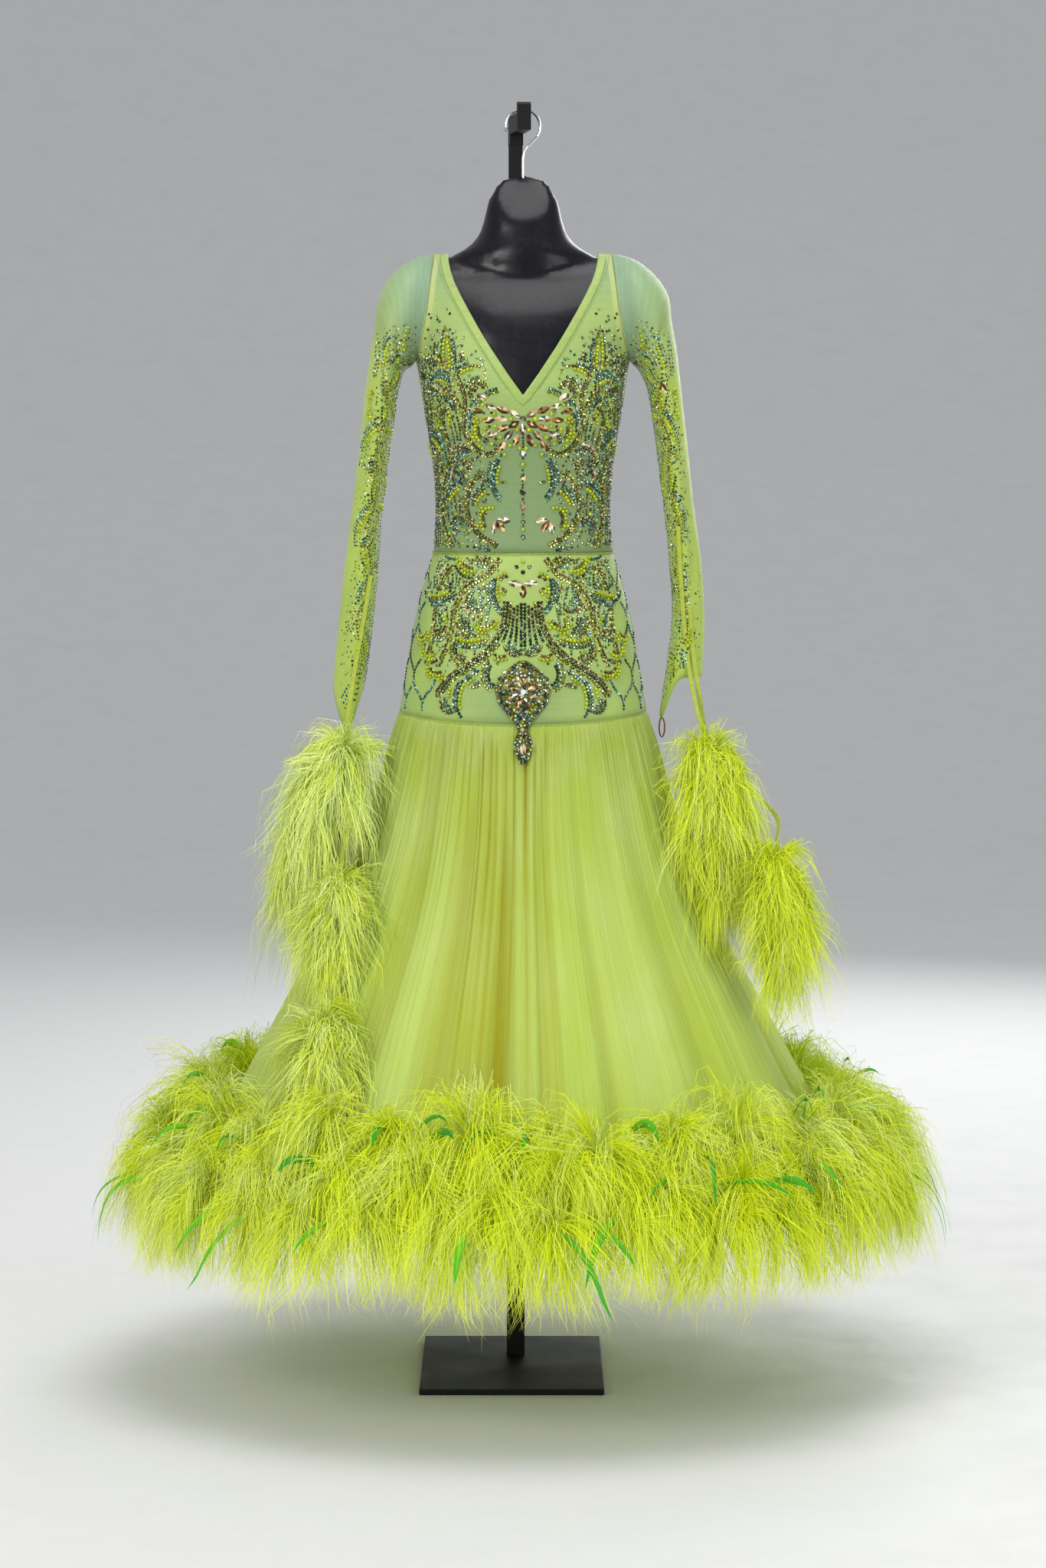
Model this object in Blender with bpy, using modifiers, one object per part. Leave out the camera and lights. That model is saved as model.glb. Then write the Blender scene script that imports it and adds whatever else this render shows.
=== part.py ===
"""A long-sleeved ballroom gown with a feathered hem, on a hanging dress form and its stand.

Metres, +Z up, the floor at z = 0.  The gown's front faces -Y and its centre line is x = 0.
"left" and "right" are the wearer's: the right sleeve is at -X.  A turn is an angle about Z,
0 at the centre front and growing towards the wearer's left (+X); pi is the centre back.
Every cloth panel is a grid of points on one of two surfaces, the body or the skirt, with a
second grid inside it for its wall.  Trims are made from the panels' points, moved out.
"""

import math

import bmesh
import bpy
from mathutils import Matrix, Vector
from mathutils.bvhtree import BVHTree

# ---------------------------------------------------------------- driving dimensions
CLOTH = 0.0016  # wall of every cloth panel
SEAM_GAP = 0.0003  # between two pieces that are sewn to or rest on each other
TRIM_LIFT = 0.0004  # from a panel's face to the underside of what lies on it
WAIST_HEIGHT = 1.1145
HIP_SEAM_HEIGHT = 0.899
HIP_SEAM_DIP = 0.010  # how far the hip seam drops at the centre front
BINDING_WIDTH, BINDING_THICKNESS = 0.011, 0.0012
BINDING_AHEAD, BINDING_BEHIND = 0.012, 0.002  # heights above and below, between which its lean is read
BINDING_LEVEL_TOP, BINDING_LEVEL_RUN = 1.495, 0.060  # where it turns square to the shoulder seam
CORD_HALF_HEIGHT, CORD_THICKNESS = 0.0019, 0.0030
FORM_CLEARANCE, FORM_SHOULDER_CLEARANCE = 0.0034, 0.0007  # from the cloth's inner face
FORM_BACK = 0.045  # the form's flat back, with the post behind it

# Horizontal sections of the body of the gown, from the hip seam to the shoulder line, outer face.
#   height, half_width, front_depth, back_depth
BODY_SECTIONS = (
    (0.8790, 0.1690, 0.1215, 0.1230),
    (0.9300, 0.1605, 0.1175, 0.1180),
    (0.9800, 0.1525, 0.1130, 0.1120),
    (1.0300, 0.1435, 0.1070, 0.1050),
    (1.0750, 0.1320, 0.1000, 0.0980),
    (1.1145, 0.1205, 0.0950, 0.0930),
    (1.1600, 0.1160, 0.0940, 0.0910),
    (1.2050, 0.1172, 0.0990, 0.0915),
    (1.2500, 0.1222, 0.1075, 0.0930),
    (1.2880, 0.1288, 0.1165, 0.0950),
    (1.3220, 0.1345, 0.1210, 0.0970),
    (1.3500, 0.1385, 0.1190, 0.0980),
    (1.3720, 0.1425, 0.1140, 0.0985),
    (1.3850, 0.1475, 0.1100, 0.0980),
    (1.4100, 0.1590, 0.1000, 0.0950),
    (1.4350, 0.1700, 0.0870, 0.0870),
    (1.4550, 0.1760, 0.0740, 0.0770),
    (1.4730, 0.1750, 0.0600, 0.0640),
    (1.4880, 0.1660, 0.0450, 0.0490),
    (1.5000, 0.1500, 0.0290, 0.0320),
    (1.5080, 0.1310, 0.0150, 0.0160),
    (1.5120, 0.1180, 0.0003, 0.0003),
)
BODY_SQUARENESS = 2.2
WAIST_ROW, V_ROW, ARMPIT_ROW, TOP_ROW = 5, 10, 12, 21
PANEL_COLUMNS = 8  # along half a body panel

# Half-width of the neck opening, the same in front and at the back:  height, half_width
NECKLINE = (
    (1.322, 0.0000),
    (1.350, 0.0200),
    (1.372, 0.0345),
    (1.385, 0.0430),
    (1.410, 0.0580),
    (1.435, 0.0720),
    (1.455, 0.0825),
    (1.473, 0.0910),
    (1.488, 0.0960),
    (1.500, 0.0985),
    (1.512, 0.1000),
)
# The seam between bodice and sleeve, seen from the front:  height, distance from the centre line
ARMHOLE = (
    (1.372, 0.1425),
    (1.385, 0.1375),
    (1.410, 0.1315),
    (1.440, 0.1265),
    (1.480, 0.1220),
    (1.512, 0.1180),
)
ARMHOLE_CLEARANCE = 0.00066  # level, from the bodice's armhole to the sleeve's first ring

# Sections of the skirt's cone, from the hip seam to the hem, before its folds.
#   height, half_width, front_depth, back_depth, gather_depth, fold_share, squareness
SKIRT_SECTIONS = (
    (0.8990, 0.1672, 0.1208, 0.1222, 0.0006, 0.00, 2.20),
    (0.8650, 0.1785, 0.1325, 0.1345, 0.0014, 0.05, 2.12),
    (0.8100, 0.1930, 0.1530, 0.1540, 0.0020, 0.14, 2.05),
    (0.7300, 0.2160, 0.1860, 0.1860, 0.0026, 0.28, 2.00),
    (0.6300, 0.2535, 0.2290, 0.2290, 0.0032, 0.46, 2.00),
    (0.5200, 0.3100, 0.2880, 0.2880, 0.0036, 0.66, 2.00),
    (0.4050, 0.3700, 0.3500, 0.3500, 0.0040, 0.86, 2.00),
    (0.2900, 0.4330, 0.4250, 0.4250, 0.0044, 1.00, 2.00),
)
GATHERS = 64  # fine gathers round the whole skirt, each a crest and a valley
SKIRT_COLUMNS = 2 * GATHERS
# The large folds at the hem.  A negative depth is a valley, a positive one a flute standing out.
#   turn_deg, half_width_deg, depth
SKIRT_FOLDS = (
    (-5.8, 3.6, -0.030),
    (-13.5, 2.6, -0.010),
    (-20.3, 3.0, -0.018),
    (-29.0, 5.0, 0.012),
    (-38.0, 4.0, -0.018),
    (-52.0, 7.0, 0.014),
    (-66.0, 4.5, -0.018),
    (-84.0, 8.0, 0.012),
    (0.5, 3.0, 0.008),
    (5.6, 3.0, -0.014),
    (14.0, 3.5, 0.014),
    (20.0, 3.2, -0.016),
    (34.0, 6.0, 0.010),
    (45.0, 4.5, -0.014),
    (62.0, 8.0, 0.014),
    (80.0, 4.5, -0.018),
    (98.0, 7.0, 0.014),
    (114.0, 4.5, -0.018),
    (130.0, 6.5, 0.014),
    (146.0, 4.5, -0.020),
    (160.0, 5.5, 0.014),
    (173.0, 4.0, -0.018),
    (187.0, 5.5, 0.014),
    (202.0, 4.5, -0.020),
    (218.0, 6.5, 0.014),
    (234.0, 4.5, -0.018),
    (252.0, 7.0, 0.014),
)

# Rings of each sleeve, from the shoulder to the cuff, as distances from the centre line.
#   outer_x, outer_z, inner_x, inner_z, half_depth, crease_depth
SLEEVE_RINGS = {
    "sleeve_right": (
        (0.1490, 1.5035, 0.1475, 1.3660, 0.0680, 0.000),
        (0.1765, 1.4820, 0.1515, 1.3625, 0.0730, 0.002),
        (0.1930, 1.4500, 0.1580, 1.3580, 0.0730, 0.004),
        (0.1980, 1.4180, 0.1625, 1.3500, 0.0710, 0.006),
        (0.2045, 1.3720, 0.1675, 1.3290, 0.0680, 0.007),
        (0.2125, 1.3120, 0.1740, 1.2900, 0.0640, 0.007),
        (0.2190, 1.2500, 0.1800, 1.2420, 0.0590, 0.007),
        (0.2290, 1.1700, 0.1905, 1.1680, 0.0530, 0.006),
        (0.2395, 1.0880, 0.1960, 1.0880, 0.0470, 0.006),
        (0.2490, 1.0020, 0.2045, 1.0020, 0.0410, 0.005),
        (0.2550, 0.9350, 0.2150, 0.9300, 0.0350, 0.003),
    ),
    "sleeve_left": (
        (0.1490, 1.5035, 0.1475, 1.3660, 0.0680, 0.000),
        (0.1765, 1.4820, 0.1515, 1.3625, 0.0730, 0.002),
        (0.1935, 1.4550, 0.1560, 1.3570, 0.0730, 0.004),
        (0.1975, 1.4230, 0.1610, 1.3470, 0.0710, 0.006),
        (0.2050, 1.3800, 0.1680, 1.3300, 0.0680, 0.007),
        (0.2120, 1.3200, 0.1735, 1.2980, 0.0640, 0.007),
        (0.2205, 1.2450, 0.1805, 1.2450, 0.0590, 0.007),
        (0.2290, 1.1700, 0.1905, 1.1690, 0.0530, 0.006),
        (0.2390, 1.0950, 0.1980, 1.0950, 0.0470, 0.006),
        (0.2430, 1.0200, 0.2010, 1.0200, 0.0420, 0.005),
        (0.2405, 0.9480, 0.1850, 0.9480, 0.0370, 0.002),
    ),
}
# The cuff's point: how far it drops, and its turn round the ring (0 is the outer edge, 90 the front)
CUFF_POINTS = {"sleeve_right": (0.052, 85.0), "sleeve_left": (0.056, 170.0)}
CUFF_SHARPNESS = 2.5
CREASE_TURN, CREASE_SPREAD = math.radians(62), 0.42  # the soft trough down the front of each sleeve
LOOP_LENGTH, LOOP_WIDTH, LOOP_GAUGE, LOOP_POINTS = 0.026, 0.0075, 0.0020, 12  # the finger loop

# Sections of the form's neck, sloped towards the top so that its cap faces forward.
#   height, half_width, front_depth, back_depth, centre_y, slope
NECK_SECTIONS = (
    (1.4450, 0.0560, 0.0480, 0.0340, 0.0000, 0.00),
    (1.4800, 0.0700, 0.0500, 0.0380, 0.0000, 0.00),
    (1.5000, 0.0840, 0.0520, 0.0400, 0.0000, 0.00),
    (1.5130, 0.0900, 0.0530, 0.0410, 0.0000, 0.05),
    (1.5200, 0.0765, 0.0530, 0.0410, 0.0000, 0.12),
    (1.5300, 0.0635, 0.0520, 0.0410, 0.0000, 0.25),
    (1.5440, 0.0560, 0.0500, 0.0400, 0.0000, 0.45),
    (1.5600, 0.0530, 0.0440, 0.0370, -0.0030, 0.75),
    (1.5760, 0.0480, 0.0340, 0.0310, -0.0100, 1.10),
    (1.5880, 0.0415, 0.0235, 0.0235, -0.0165, 1.45),
)
NECK_COLUMNS, FORM_COLUMNS = 20, 24
FORM_ROWS = (1, 3, 5, 6, 7, 9, 10, 12, 13, 14, 15, 16, 17, 18, 19, 20)
# The form draws in where the armhole seam cuts across the panel
ARMPIT_HEIGHT, ARMPIT_SPREAD, ARMPIT_EXTRA = 1.385, 0.026, 0.0045
FORM_RISE_START, FORM_RISE = 1.460, 0.035  # the heights over which the form comes up to the shoulders
# The form below the hip seam:  height, half_width, front_depth, back_depth
FORM_LOWER_SECTIONS = ((0.8000, 0.1480, 0.1020, 0.1000), (0.8120, 0.1570, 0.1110, 0.1100))

HOOK_Y, HOOK_LOOP_HEIGHT, HOOK_LOOP_RADIUS, HOOK_WIRE = 0.002, 1.6805, 0.0232, 0.0036
HOOK_LOOP_START, HOOK_LOOP_END, HOOK_LOOP_STEP = 188, -51, -17  # degrees, 0 towards +X and 90 upwards
# The wire's bend from the loop down to the neck cap:  x, height
HOOK_BEND = ((0.0070, 1.6545), (0.0015, 1.6465), (0.0, 1.6380), (0.0, 1.6250), (0.0, 1.6180))
HOOK_BALL_RADIUS = 0.0030
BASE_SIZE, BASE_CENTRE, BASE_EDGE = (0.246, 0.330, 0.008), (-0.015, 0.016), 0.0015
POST_AXIS = (-0.010, 0.068)
LOWER_POST_SIDE, UPPER_POST_SIDE, POST_JOINT, POST_TOP = 0.0245, 0.0190, 0.620, 1.662
ARM_WIDTH = 0.0180
SADDLE_DROP = 0.0012  # how far the arm's top lies below the point where its edges would touch the hook
# The arm's outline from the side:  y, height above the saddle
ARM_OUTLINE = (
    (-0.0125, -0.0230),
    (-0.0125, 0.0105),
    (-0.0110, 0.0132),
    (-0.0080, 0.0140),
    (-0.0050, 0.0132),
    (-0.0035, 0.0105),
    (-0.0035, 0.0000),
    (0.0770, 0.0000),
    (0.0770, -0.0380),
    (0.0590, -0.0380),
    (0.0590, -0.0230),
)

HEM_ARCS = 16
STRIP_TOP, STRIP_BOTTOM = 0.86, 0.985  # shares of the skirt's lowest band
STRIP_THICKNESS, STRIP_END_GAP = 0.0032, 0.03  # the gap is a share of a column
ROOT_DEPTH = 0.55  # how deep in the strip a plume starts, as a share of its thickness
ROOT_HALF_WIDTH, ROOT_THICKNESS, ROOT_RISE = 0.0022, 0.0022, 0.007
FOLD_FOLLOW, FOLD_FOLLOW_REACH = 0.75, 0.1  # how much of the skirt's folds the plumes' tips even out
# How each tier of hem plumes leaves the strip:  out, up, half_width, thickness at each ring after the root
PLUME_TIERS = {
    "upper": ((0.038, 0.050, 0.0150, 0.012), (0.080, 0.102, 0.0215, 0.016), (0.116, 0.092, 0.0, 0.0)),
    "middle": ((0.054, 0.020, 0.0150, 0.012), (0.108, 0.020, 0.0220, 0.017), (0.148, -0.022, 0.0, 0.0)),
    "lower": ((0.050, -0.026, 0.0150, 0.012), (0.092, -0.068, 0.0215, 0.016), (0.106, -0.130, 0.0, 0.0)),
}
# Which tier grows from each facet of an arc, and where its root lies in the strip's height
PLUME_ORDER = ("upper", "lower", "middle", "upper", "lower", "middle", "upper", "lower")
ROOT_SHARE = {"upper": 0.25, "middle": 0.50, "lower": 0.75}

# Feather tufts that hang from the sleeves, each on a spindle from its top to its bottom.
#   top x, y, z, bottom x, y, z, facing_deg (0 is -Y, 90 is +X), fan_deg, reach, plumes
FLOATS = {
    "float_right_upper": ((-0.2335, -0.0745, 0.862), (-0.292, -0.072, 0.660), -95.0, 60.0, 0.074, 10),
    "float_right_middle": ((-0.242, -0.150, 0.684), (-0.2445, -0.170, 0.590), -48.0, 62.0, 0.057, 5),
    "float_right_lower": ((-0.250, -0.222, 0.512), (-0.260, -0.256, 0.440), -44.0, 62.0, 0.058, 5),
    "float_left_upper": ((0.245, -0.075, 0.862), (0.262, -0.085, 0.655), 20.0, 52.0, 0.066, 10),
    "float_left_lower": ((0.334, -0.130, 0.715), (0.338, -0.150, 0.575), 64.0, 62.0, 0.060, 7),
}
# How far round its fan each plume of a float turns, from the top one down
FLOAT_SIDES = (0.0, -0.80, 0.80, -0.42, 0.42, 0.0, -1.0, 1.0, -0.50, 0.50)
# How each plume of a float leaves its spindle:  out and up as shares of the reach, half_width, thickness
FLOAT_PLUME = ((0.50, -0.02, 0.0115, 0.010), (0.92, -0.62, 0.0130, 0.011), (1.10, -1.45, 0.0, 0.0))
FLOAT_FIRST, FLOAT_SPAN = 0.08, 0.86  # where its plumes start and end, as shares of the spindle
FLOAT_ROOT_SHIFT, FLOAT_ROOT_HALF_WIDTH, FLOAT_ROOT_THICKNESS = 0.0015, 0.0026, 0.0030
SPINDLE_RADIUS, SPINDLE_SIDES = 0.0070, 6
# The spindle's shape:  share of its length, share of its radius
SPINDLE_SHAPE = ((0.0, 0.50), (0.06, 0.60), (0.18, 1.0), (0.84, 1.0), (1.0, 0.6))

# Ribbons that carry the floats
RIBBON_WIDTH, RIBBON_THICKNESS, RIBBON_SPREAD = 0.0060, 0.0012, 0.0035
STRAP_CARRIERS = {"strap_right": "sleeve_right", "strap_left_a": "sleeve_left", "strap_left_b": "sleeve_left"}
# Points along each ribbon:  x, y, z; y None is just in front of the sleeve
STRAPS = {
    "strap_right": (
        (-0.2030, None, 1.0850),
        (-0.2120, None, 1.0300),
        (-0.2220, None, 0.9750),
        (-0.2320, -0.0620, 0.9050),
        (-0.2335, -0.0698, 0.8640),
        (-0.2270, -0.0698, 0.8480),
        (-0.2285, -0.0880, 0.8000),
        (-0.2420, -0.1456, 0.6850),
        (-0.2425, -0.1438, 0.6650),
        (-0.2445, -0.1560, 0.6000),
        (-0.2470, -0.1800, 0.5450),
        (-0.2490, -0.2120, 0.5200),
        (-0.2500, -0.2176, 0.5115),
    ),
    "strap_left_a": (
        (0.2060, None, 1.1500),
        (0.2100, None, 1.0850),
        (0.2150, None, 1.0200),
        (0.2210, None, 0.9650),
        (0.2330, -0.0655, 0.9000),
        (0.2440, -0.0700, 0.8750),
        (0.2445, -0.0706, 0.8600),
    ),
    "strap_left_b": (
        (0.2220, None, 1.0450),
        (0.2270, None, 0.9850),
        (0.2360, -0.0460, 0.9200),
        (0.2500, -0.0340, 0.8600),
        (0.2960, -0.0300, 0.8050),
        (0.3380, -0.0600, 0.7650),
        (0.3370, -0.1050, 0.7380),
        (0.3360, -0.1190, 0.7270),
        (0.3345, -0.1258, 0.7153),
    ),
}

# The pendant at the centre front:  height, half_width, rise
PENDANT_OUTLINE = (
    (0.9740, 0.0050, 0.0025),
    (0.9640, 0.0190, 0.0045),
    (0.9500, 0.0330, 0.0055),
    (0.9350, 0.0375, 0.0065),
    (0.9180, 0.0330, 0.0070),
    (0.9040, 0.0220, 0.0065),
    (0.8920, 0.0105, 0.0050),
    (0.8820, 0.0070, 0.0040),
    (0.8700, 0.0110, 0.0050),
    (0.8600, 0.0125, 0.0055),
    (0.8500, 0.0090, 0.0045),
    (0.8410, 0.0030, 0.0030),
)
PENDANT_COLUMNS, PENDANT_RIM, PENDANT_SPREAD = 4, 0.0012, 0.003
WELD = 1e-5
SHARP_ANGLE = math.radians(40)
PARTS_COLLECTION, CUTTERS_COLLECTION = "ballroom_gown", "cutters"

# Name: colour, roughness, metallic
FINISHES = {
    "skirt_chiffon": ((0.72, 0.80, 0.10, 1.0), 0.75, 0.0),
    "bodice_mesh": ((0.55, 0.72, 0.12, 1.0), 0.70, 0.0),
    "binding_satin": ((0.80, 0.78, 0.20, 1.0), 0.50, 0.0),
    "cord_gold": ((0.70, 0.58, 0.15, 1.0), 0.35, 0.0),
    "stone_setting": ((0.45, 0.55, 0.30, 1.0), 0.25, 0.0),
    "ostrich_feather": ((0.74, 0.82, 0.18, 1.0), 0.80, 0.0),
    "form_gloss": ((0.02, 0.02, 0.025, 1.0), 0.15, 0.0),
    "hook_chrome": ((0.82, 0.82, 0.84, 1.0), 0.12, 1.0),
    "stand_black": ((0.03, 0.03, 0.03, 1.0), 0.45, 0.0),
}


# ---------------------------------------------------------------- scene and meshes
def build_finishes():
    """Plain Principled materials, by name."""
    made = {}
    for name, (colour, roughness, metallic) in FINISHES.items():
        finish = bpy.data.materials.new(name)
        finish.use_nodes = True
        shader = finish.node_tree.nodes["Principled BSDF"]
        shader.inputs["Base Color"].default_value = colour
        shader.inputs["Roughness"].default_value = roughness
        shader.inputs["Metallic"].default_value = metallic
        made[name] = finish
    return made


def put_in(made, collection_name):
    """Moves an object to a collection, made where it is missing."""
    group = bpy.data.collections.get(collection_name)
    if group is None:
        group = bpy.data.collections.new(collection_name)
        bpy.context.scene.collection.children.link(group)
    for other in list(made.users_collection):
        other.objects.unlink(made)
    group.objects.link(made)


def dressed(made, name, finish):
    """Names a mesh object, gives it its finish and shading, and puts it among the parts."""
    made.name = name
    made.data.name = name
    made.data.materials.append(finish)
    made.data.shade_smooth()
    made.data.set_sharp_from_angle(angle=SHARP_ANGLE)
    put_in(made, PARTS_COLLECTION)
    return made


def box(name, low, high, finish):
    """A box between two corners."""
    low, high = Vector(low), Vector(high)
    bpy.ops.mesh.primitive_cube_add(size=1.0, location=(low + high) / 2)
    made = bpy.context.active_object
    made.scale = high - low
    bpy.ops.object.transform_apply(location=True, rotation=False, scale=True)
    return dressed(made, name, finish)


def ball(name, centre, radius, finish):
    """A small ball."""
    bpy.ops.mesh.primitive_uv_sphere_add(segments=8, ring_count=6, radius=radius, location=centre)
    made = bpy.context.active_object
    bpy.ops.object.transform_apply(location=True, rotation=False, scale=False)
    return dressed(made, name, finish)


def mesh_of(curve, name, finish, place=None):
    """A curve as a closed mesh object with its caps welded, turned to its place; the curve is removed."""
    holder = bpy.data.objects.new(name + "_curve", curve)
    bpy.context.scene.collection.objects.link(holder)
    bpy.context.view_layer.update()
    seen = holder.evaluated_get(bpy.context.evaluated_depsgraph_get())
    mesh = bpy.data.meshes.new_from_object(seen)
    bpy.data.objects.remove(holder)
    if place:
        mesh.transform(place)
    shape = bmesh.new()
    shape.from_mesh(mesh)
    bmesh.ops.remove_doubles(shape, verts=shape.verts, dist=WELD)
    bmesh.ops.recalc_face_normals(shape, faces=shape.faces)
    shape.to_mesh(mesh)
    shape.free()
    return dressed(bpy.data.objects.new(name, mesh), name, finish)


def wire(name, path, radius, finish, resolution=2, closed=False):
    """A round wire along a path, capped where it is open."""
    curve = bpy.data.curves.new(name, "CURVE")
    curve.dimensions = "3D"
    curve.bevel_depth = radius
    curve.bevel_resolution = resolution
    curve.use_fill_caps = not closed
    spline = curve.splines.new("POLY")
    spline.points.add(len(path) - 1)
    for point, place in zip(spline.points, path):
        point.co = (*place, 1.0)
    spline.use_cyclic_u = closed
    return mesh_of(curve, name, finish)


def cut_plate(name, outline, width, place, finish):
    """A flat outline given a width, half to each side of its plane, and turned to its place."""
    curve = bpy.data.curves.new(name, "CURVE")
    curve.dimensions = "2D"
    curve.fill_mode = "BOTH"
    curve.extrude = width / 2
    spline = curve.splines.new("POLY")
    spline.points.add(len(outline) - 1)
    for point, (across, up) in zip(spline.points, outline):
        point.co = (across, up, 0.0, 1.0)
    spline.use_cyclic_u = True
    return mesh_of(curve, name, finish, place)


def solid(name, points, faces, finish, weld=0.0):
    """A closed object from points and faces, its faces turned outwards."""
    mesh = bpy.data.meshes.new(name)
    shape = bmesh.new()
    corners = [shape.verts.new(p) for p in points]
    for face in faces:
        shape.faces.new([corners[i] for i in face])
    if weld:
        bmesh.ops.remove_doubles(shape, verts=shape.verts, dist=weld)
        bmesh.ops.dissolve_degenerate(shape, edges=shape.edges, dist=weld)
    bmesh.ops.recalc_face_normals(shape, faces=shape.faces)
    shape.to_mesh(mesh)
    shape.free()
    return dressed(bpy.data.objects.new(name, mesh), name, finish)


def join_to(made, other):
    """Unites another object with this one and keeps it as a hidden cutter."""
    union = made.modifiers.new("Join " + other.name, "BOOLEAN")
    union.operation = "UNION"
    union.solver = "EXACT"
    union.use_self = True
    union.object = other
    other.hide_render = True
    other.display_type = "WIRE"
    put_in(other, CUTTERS_COLLECTION)


def grid_faces(rows, columns, closed=False):
    """Quads between rows of points; a closed grid joins its last column to its first."""
    faces = []
    for r in range(rows - 1):
        for c in range(columns if closed else columns - 1):
            d = (c + 1) % columns
            this, following = r * columns, (r + 1) * columns
            faces.append((this + c, this + d, following + d, following + c))
    return faces


def split(a, b, c, d, points, like=None):
    """A quad as two triangles across its shorter diagonal, measured on it or on another quad."""
    p, q, r, t = (points[i] for i in (like or (a, b, c, d)))
    if (p - r).length <= (q - t).length:
        return [(a, b, c), (a, c, d)]
    return [(a, b, d), (b, c, d)]


def wall(outer, inner, closed=False, open_side=()):
    """Points and faces of a cloth wall between two grids, both split across the same diagonals.

    A closed grid runs round; open_side lists the rows whose first column has no rim, for a mirror.
    """
    rows, columns = len(outer), len(outer[0])
    size = rows * columns
    points = [p for row in outer for p in row] + [p for row in inner for p in row]
    faces = []
    for quad in grid_faces(rows, columns, closed):
        faces += split(*quad, points)
        faces += [tuple(reversed(f)) for f in split(*(i + size for i in quad), points, like=quad)]
    for r in (0, rows - 1):
        for c in range(columns if closed else columns - 1):
            a, b = r * columns + c, r * columns + (c + 1) % columns
            faces.append((b, a, a + size, b + size) if r == 0 else (a, b, b + size, a + size))
    if not closed:
        for r in range(rows - 1):
            for c in (0, columns - 1):
                if c == 0 and r in open_side:
                    continue
                a, b = r * columns + c, (r + 1) * columns + c
                faces.append((a, b, b + size, a + size) if c == 0 else (b, a, a + size, b + size))
    return points, faces


def mirrored(made):
    """The other half of an object, across the centre line."""
    mirror = made.modifiers.new("Mirror", "MIRROR")
    mirror.use_clip = True
    mirror.merge_threshold = 0.0001


def tube(rings, tip=None):
    """Points and faces of a closed solid through rings of equal length, with an optional point at its end."""
    count = len(rings[0])
    points = [p for ring in rings for p in ring]
    faces = grid_faces(len(rings), count, closed=True)
    faces.append(tuple(reversed(range(count))))
    last = (len(rings) - 1) * count
    if tip is None:
        faces.append(tuple(range(last, last + count)))
    else:
        points.append(tip)
        faces += [(last + c, last + (c + 1) % count, len(points) - 1) for c in range(count)]
    return points, faces


def merged(parts):
    """Several lists of points and faces as one."""
    points, faces = [], []
    for part_points, part_faces in parts:
        start = len(points)
        points += part_points
        faces += [tuple(start + i for i in face) for face in part_faces]
    return points, faces


def interpolate(table, at, column=1):
    """A column of a table against its first column, in straight runs."""
    for low, high in zip(table, table[1:]):
        if at <= high[0]:
            share = max(0.0, (at - low[0]) / (high[0] - low[0]))
            return low[column] + (high[column] - low[column]) * share
    return table[-1][column]


def row_at(table, v):
    """All columns of a table at a row number that need not be whole, by Catmull-Rom."""
    i = min(max(int(v), 0), len(table) - 2)
    u = v - i
    rows = [table[min(max(k, 0), len(table) - 1)] for k in (i - 1, i, i + 1, i + 2)]
    return [
        0.5 * (2 * b + (c - a) * u + (2 * a - 5 * b + 4 * c - d) * u * u + (3 * b - a - 3 * c + d) * u**3)
        for a, b, c, d in zip(*rows)
    ]


def oval(turn, half_width, front, back, squareness):
    """x and y of a squared oval at a turn."""
    across, along = math.sin(turn), math.cos(turn)
    power = 2 / squareness
    depth = front if along >= 0 else back
    x = half_width * math.copysign(abs(across) ** power, across)
    return x, -depth * math.copysign(abs(along) ** power, along)


# ---------------------------------------------------------------- the body surface
def body_point(v, turn):
    """A point of the gown's body at section v, on its outer face."""
    z, half_width, front, back = row_at(BODY_SECTIONS, v)
    x, y = oval(turn, half_width, front, back, BODY_SQUARENESS)
    return Vector((x, y, z))


def body_normal(v, turn):
    """The outward normal of the body's surface."""
    step = 1e-3
    across = body_point(v, turn + step) - body_point(v, turn - step)
    up = body_point(v + step, turn) - body_point(v - step, turn)
    return across.cross(up).normalized()


def body_row(height):
    """The section number of the body at a height."""
    low, high = 0.0, float(TOP_ROW)
    for _ in range(48):
        middle = (low + high) / 2
        if row_at(BODY_SECTIONS, middle)[0] < height:
            low = middle
        else:
            high = middle
    return (low + high) / 2


def turn_at(v, distance):
    """The turn at which a section of the body is that far from the centre line."""
    half_width = row_at(BODY_SECTIONS, v)[1]
    return math.asin(min(1.0, (distance / half_width) ** (BODY_SQUARENESS / 2)))


def hip_dip(turn):
    """How far the hip seam lies below its height at the sides."""
    return HIP_SEAM_DIP * max(0.0, math.cos(turn)) ** 2


def binding_reach(z):
    """How far the binding's outer edge lies from the neckline, measured level."""
    ahead = interpolate(NECKLINE, z + BINDING_AHEAD)
    behind = interpolate(NECKLINE, max(z - BINDING_BEHIND, NECKLINE[0][0]))
    lean = math.atan2(ahead - behind, BINDING_AHEAD + BINDING_BEHIND)
    fade = min(1.0, max(0.0, (BINDING_LEVEL_TOP - z) / BINDING_LEVEL_RUN))
    return BINDING_WIDTH / math.cos(lean * fade)


def panel_turns(v):
    """The turns of half a body panel's columns: neckline, edge of the binding, then on to the side."""
    z = row_at(BODY_SECTIONS, v)[0]
    neck = interpolate(NECKLINE, z) if z > NECKLINE[0][0] else 0.0
    edge = turn_at(v, neck + binding_reach(max(z, NECKLINE[0][0])))
    side = turn_at(v, interpolate(ARMHOLE, z)) if z > ARMHOLE[0][0] + 1e-6 else math.pi / 2
    steps = PANEL_COLUMNS - 2
    return [turn_at(v, neck)] + [edge + (side - edge) * c / steps for c in range(steps + 1)]


def beside_seam(p, back):
    """Keeps a point on its own side of the side and shoulder seams."""
    limit = SEAM_GAP / 2
    return Vector((p.x, max(p.y, limit) if back else min(p.y, -limit), p.z))


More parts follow.
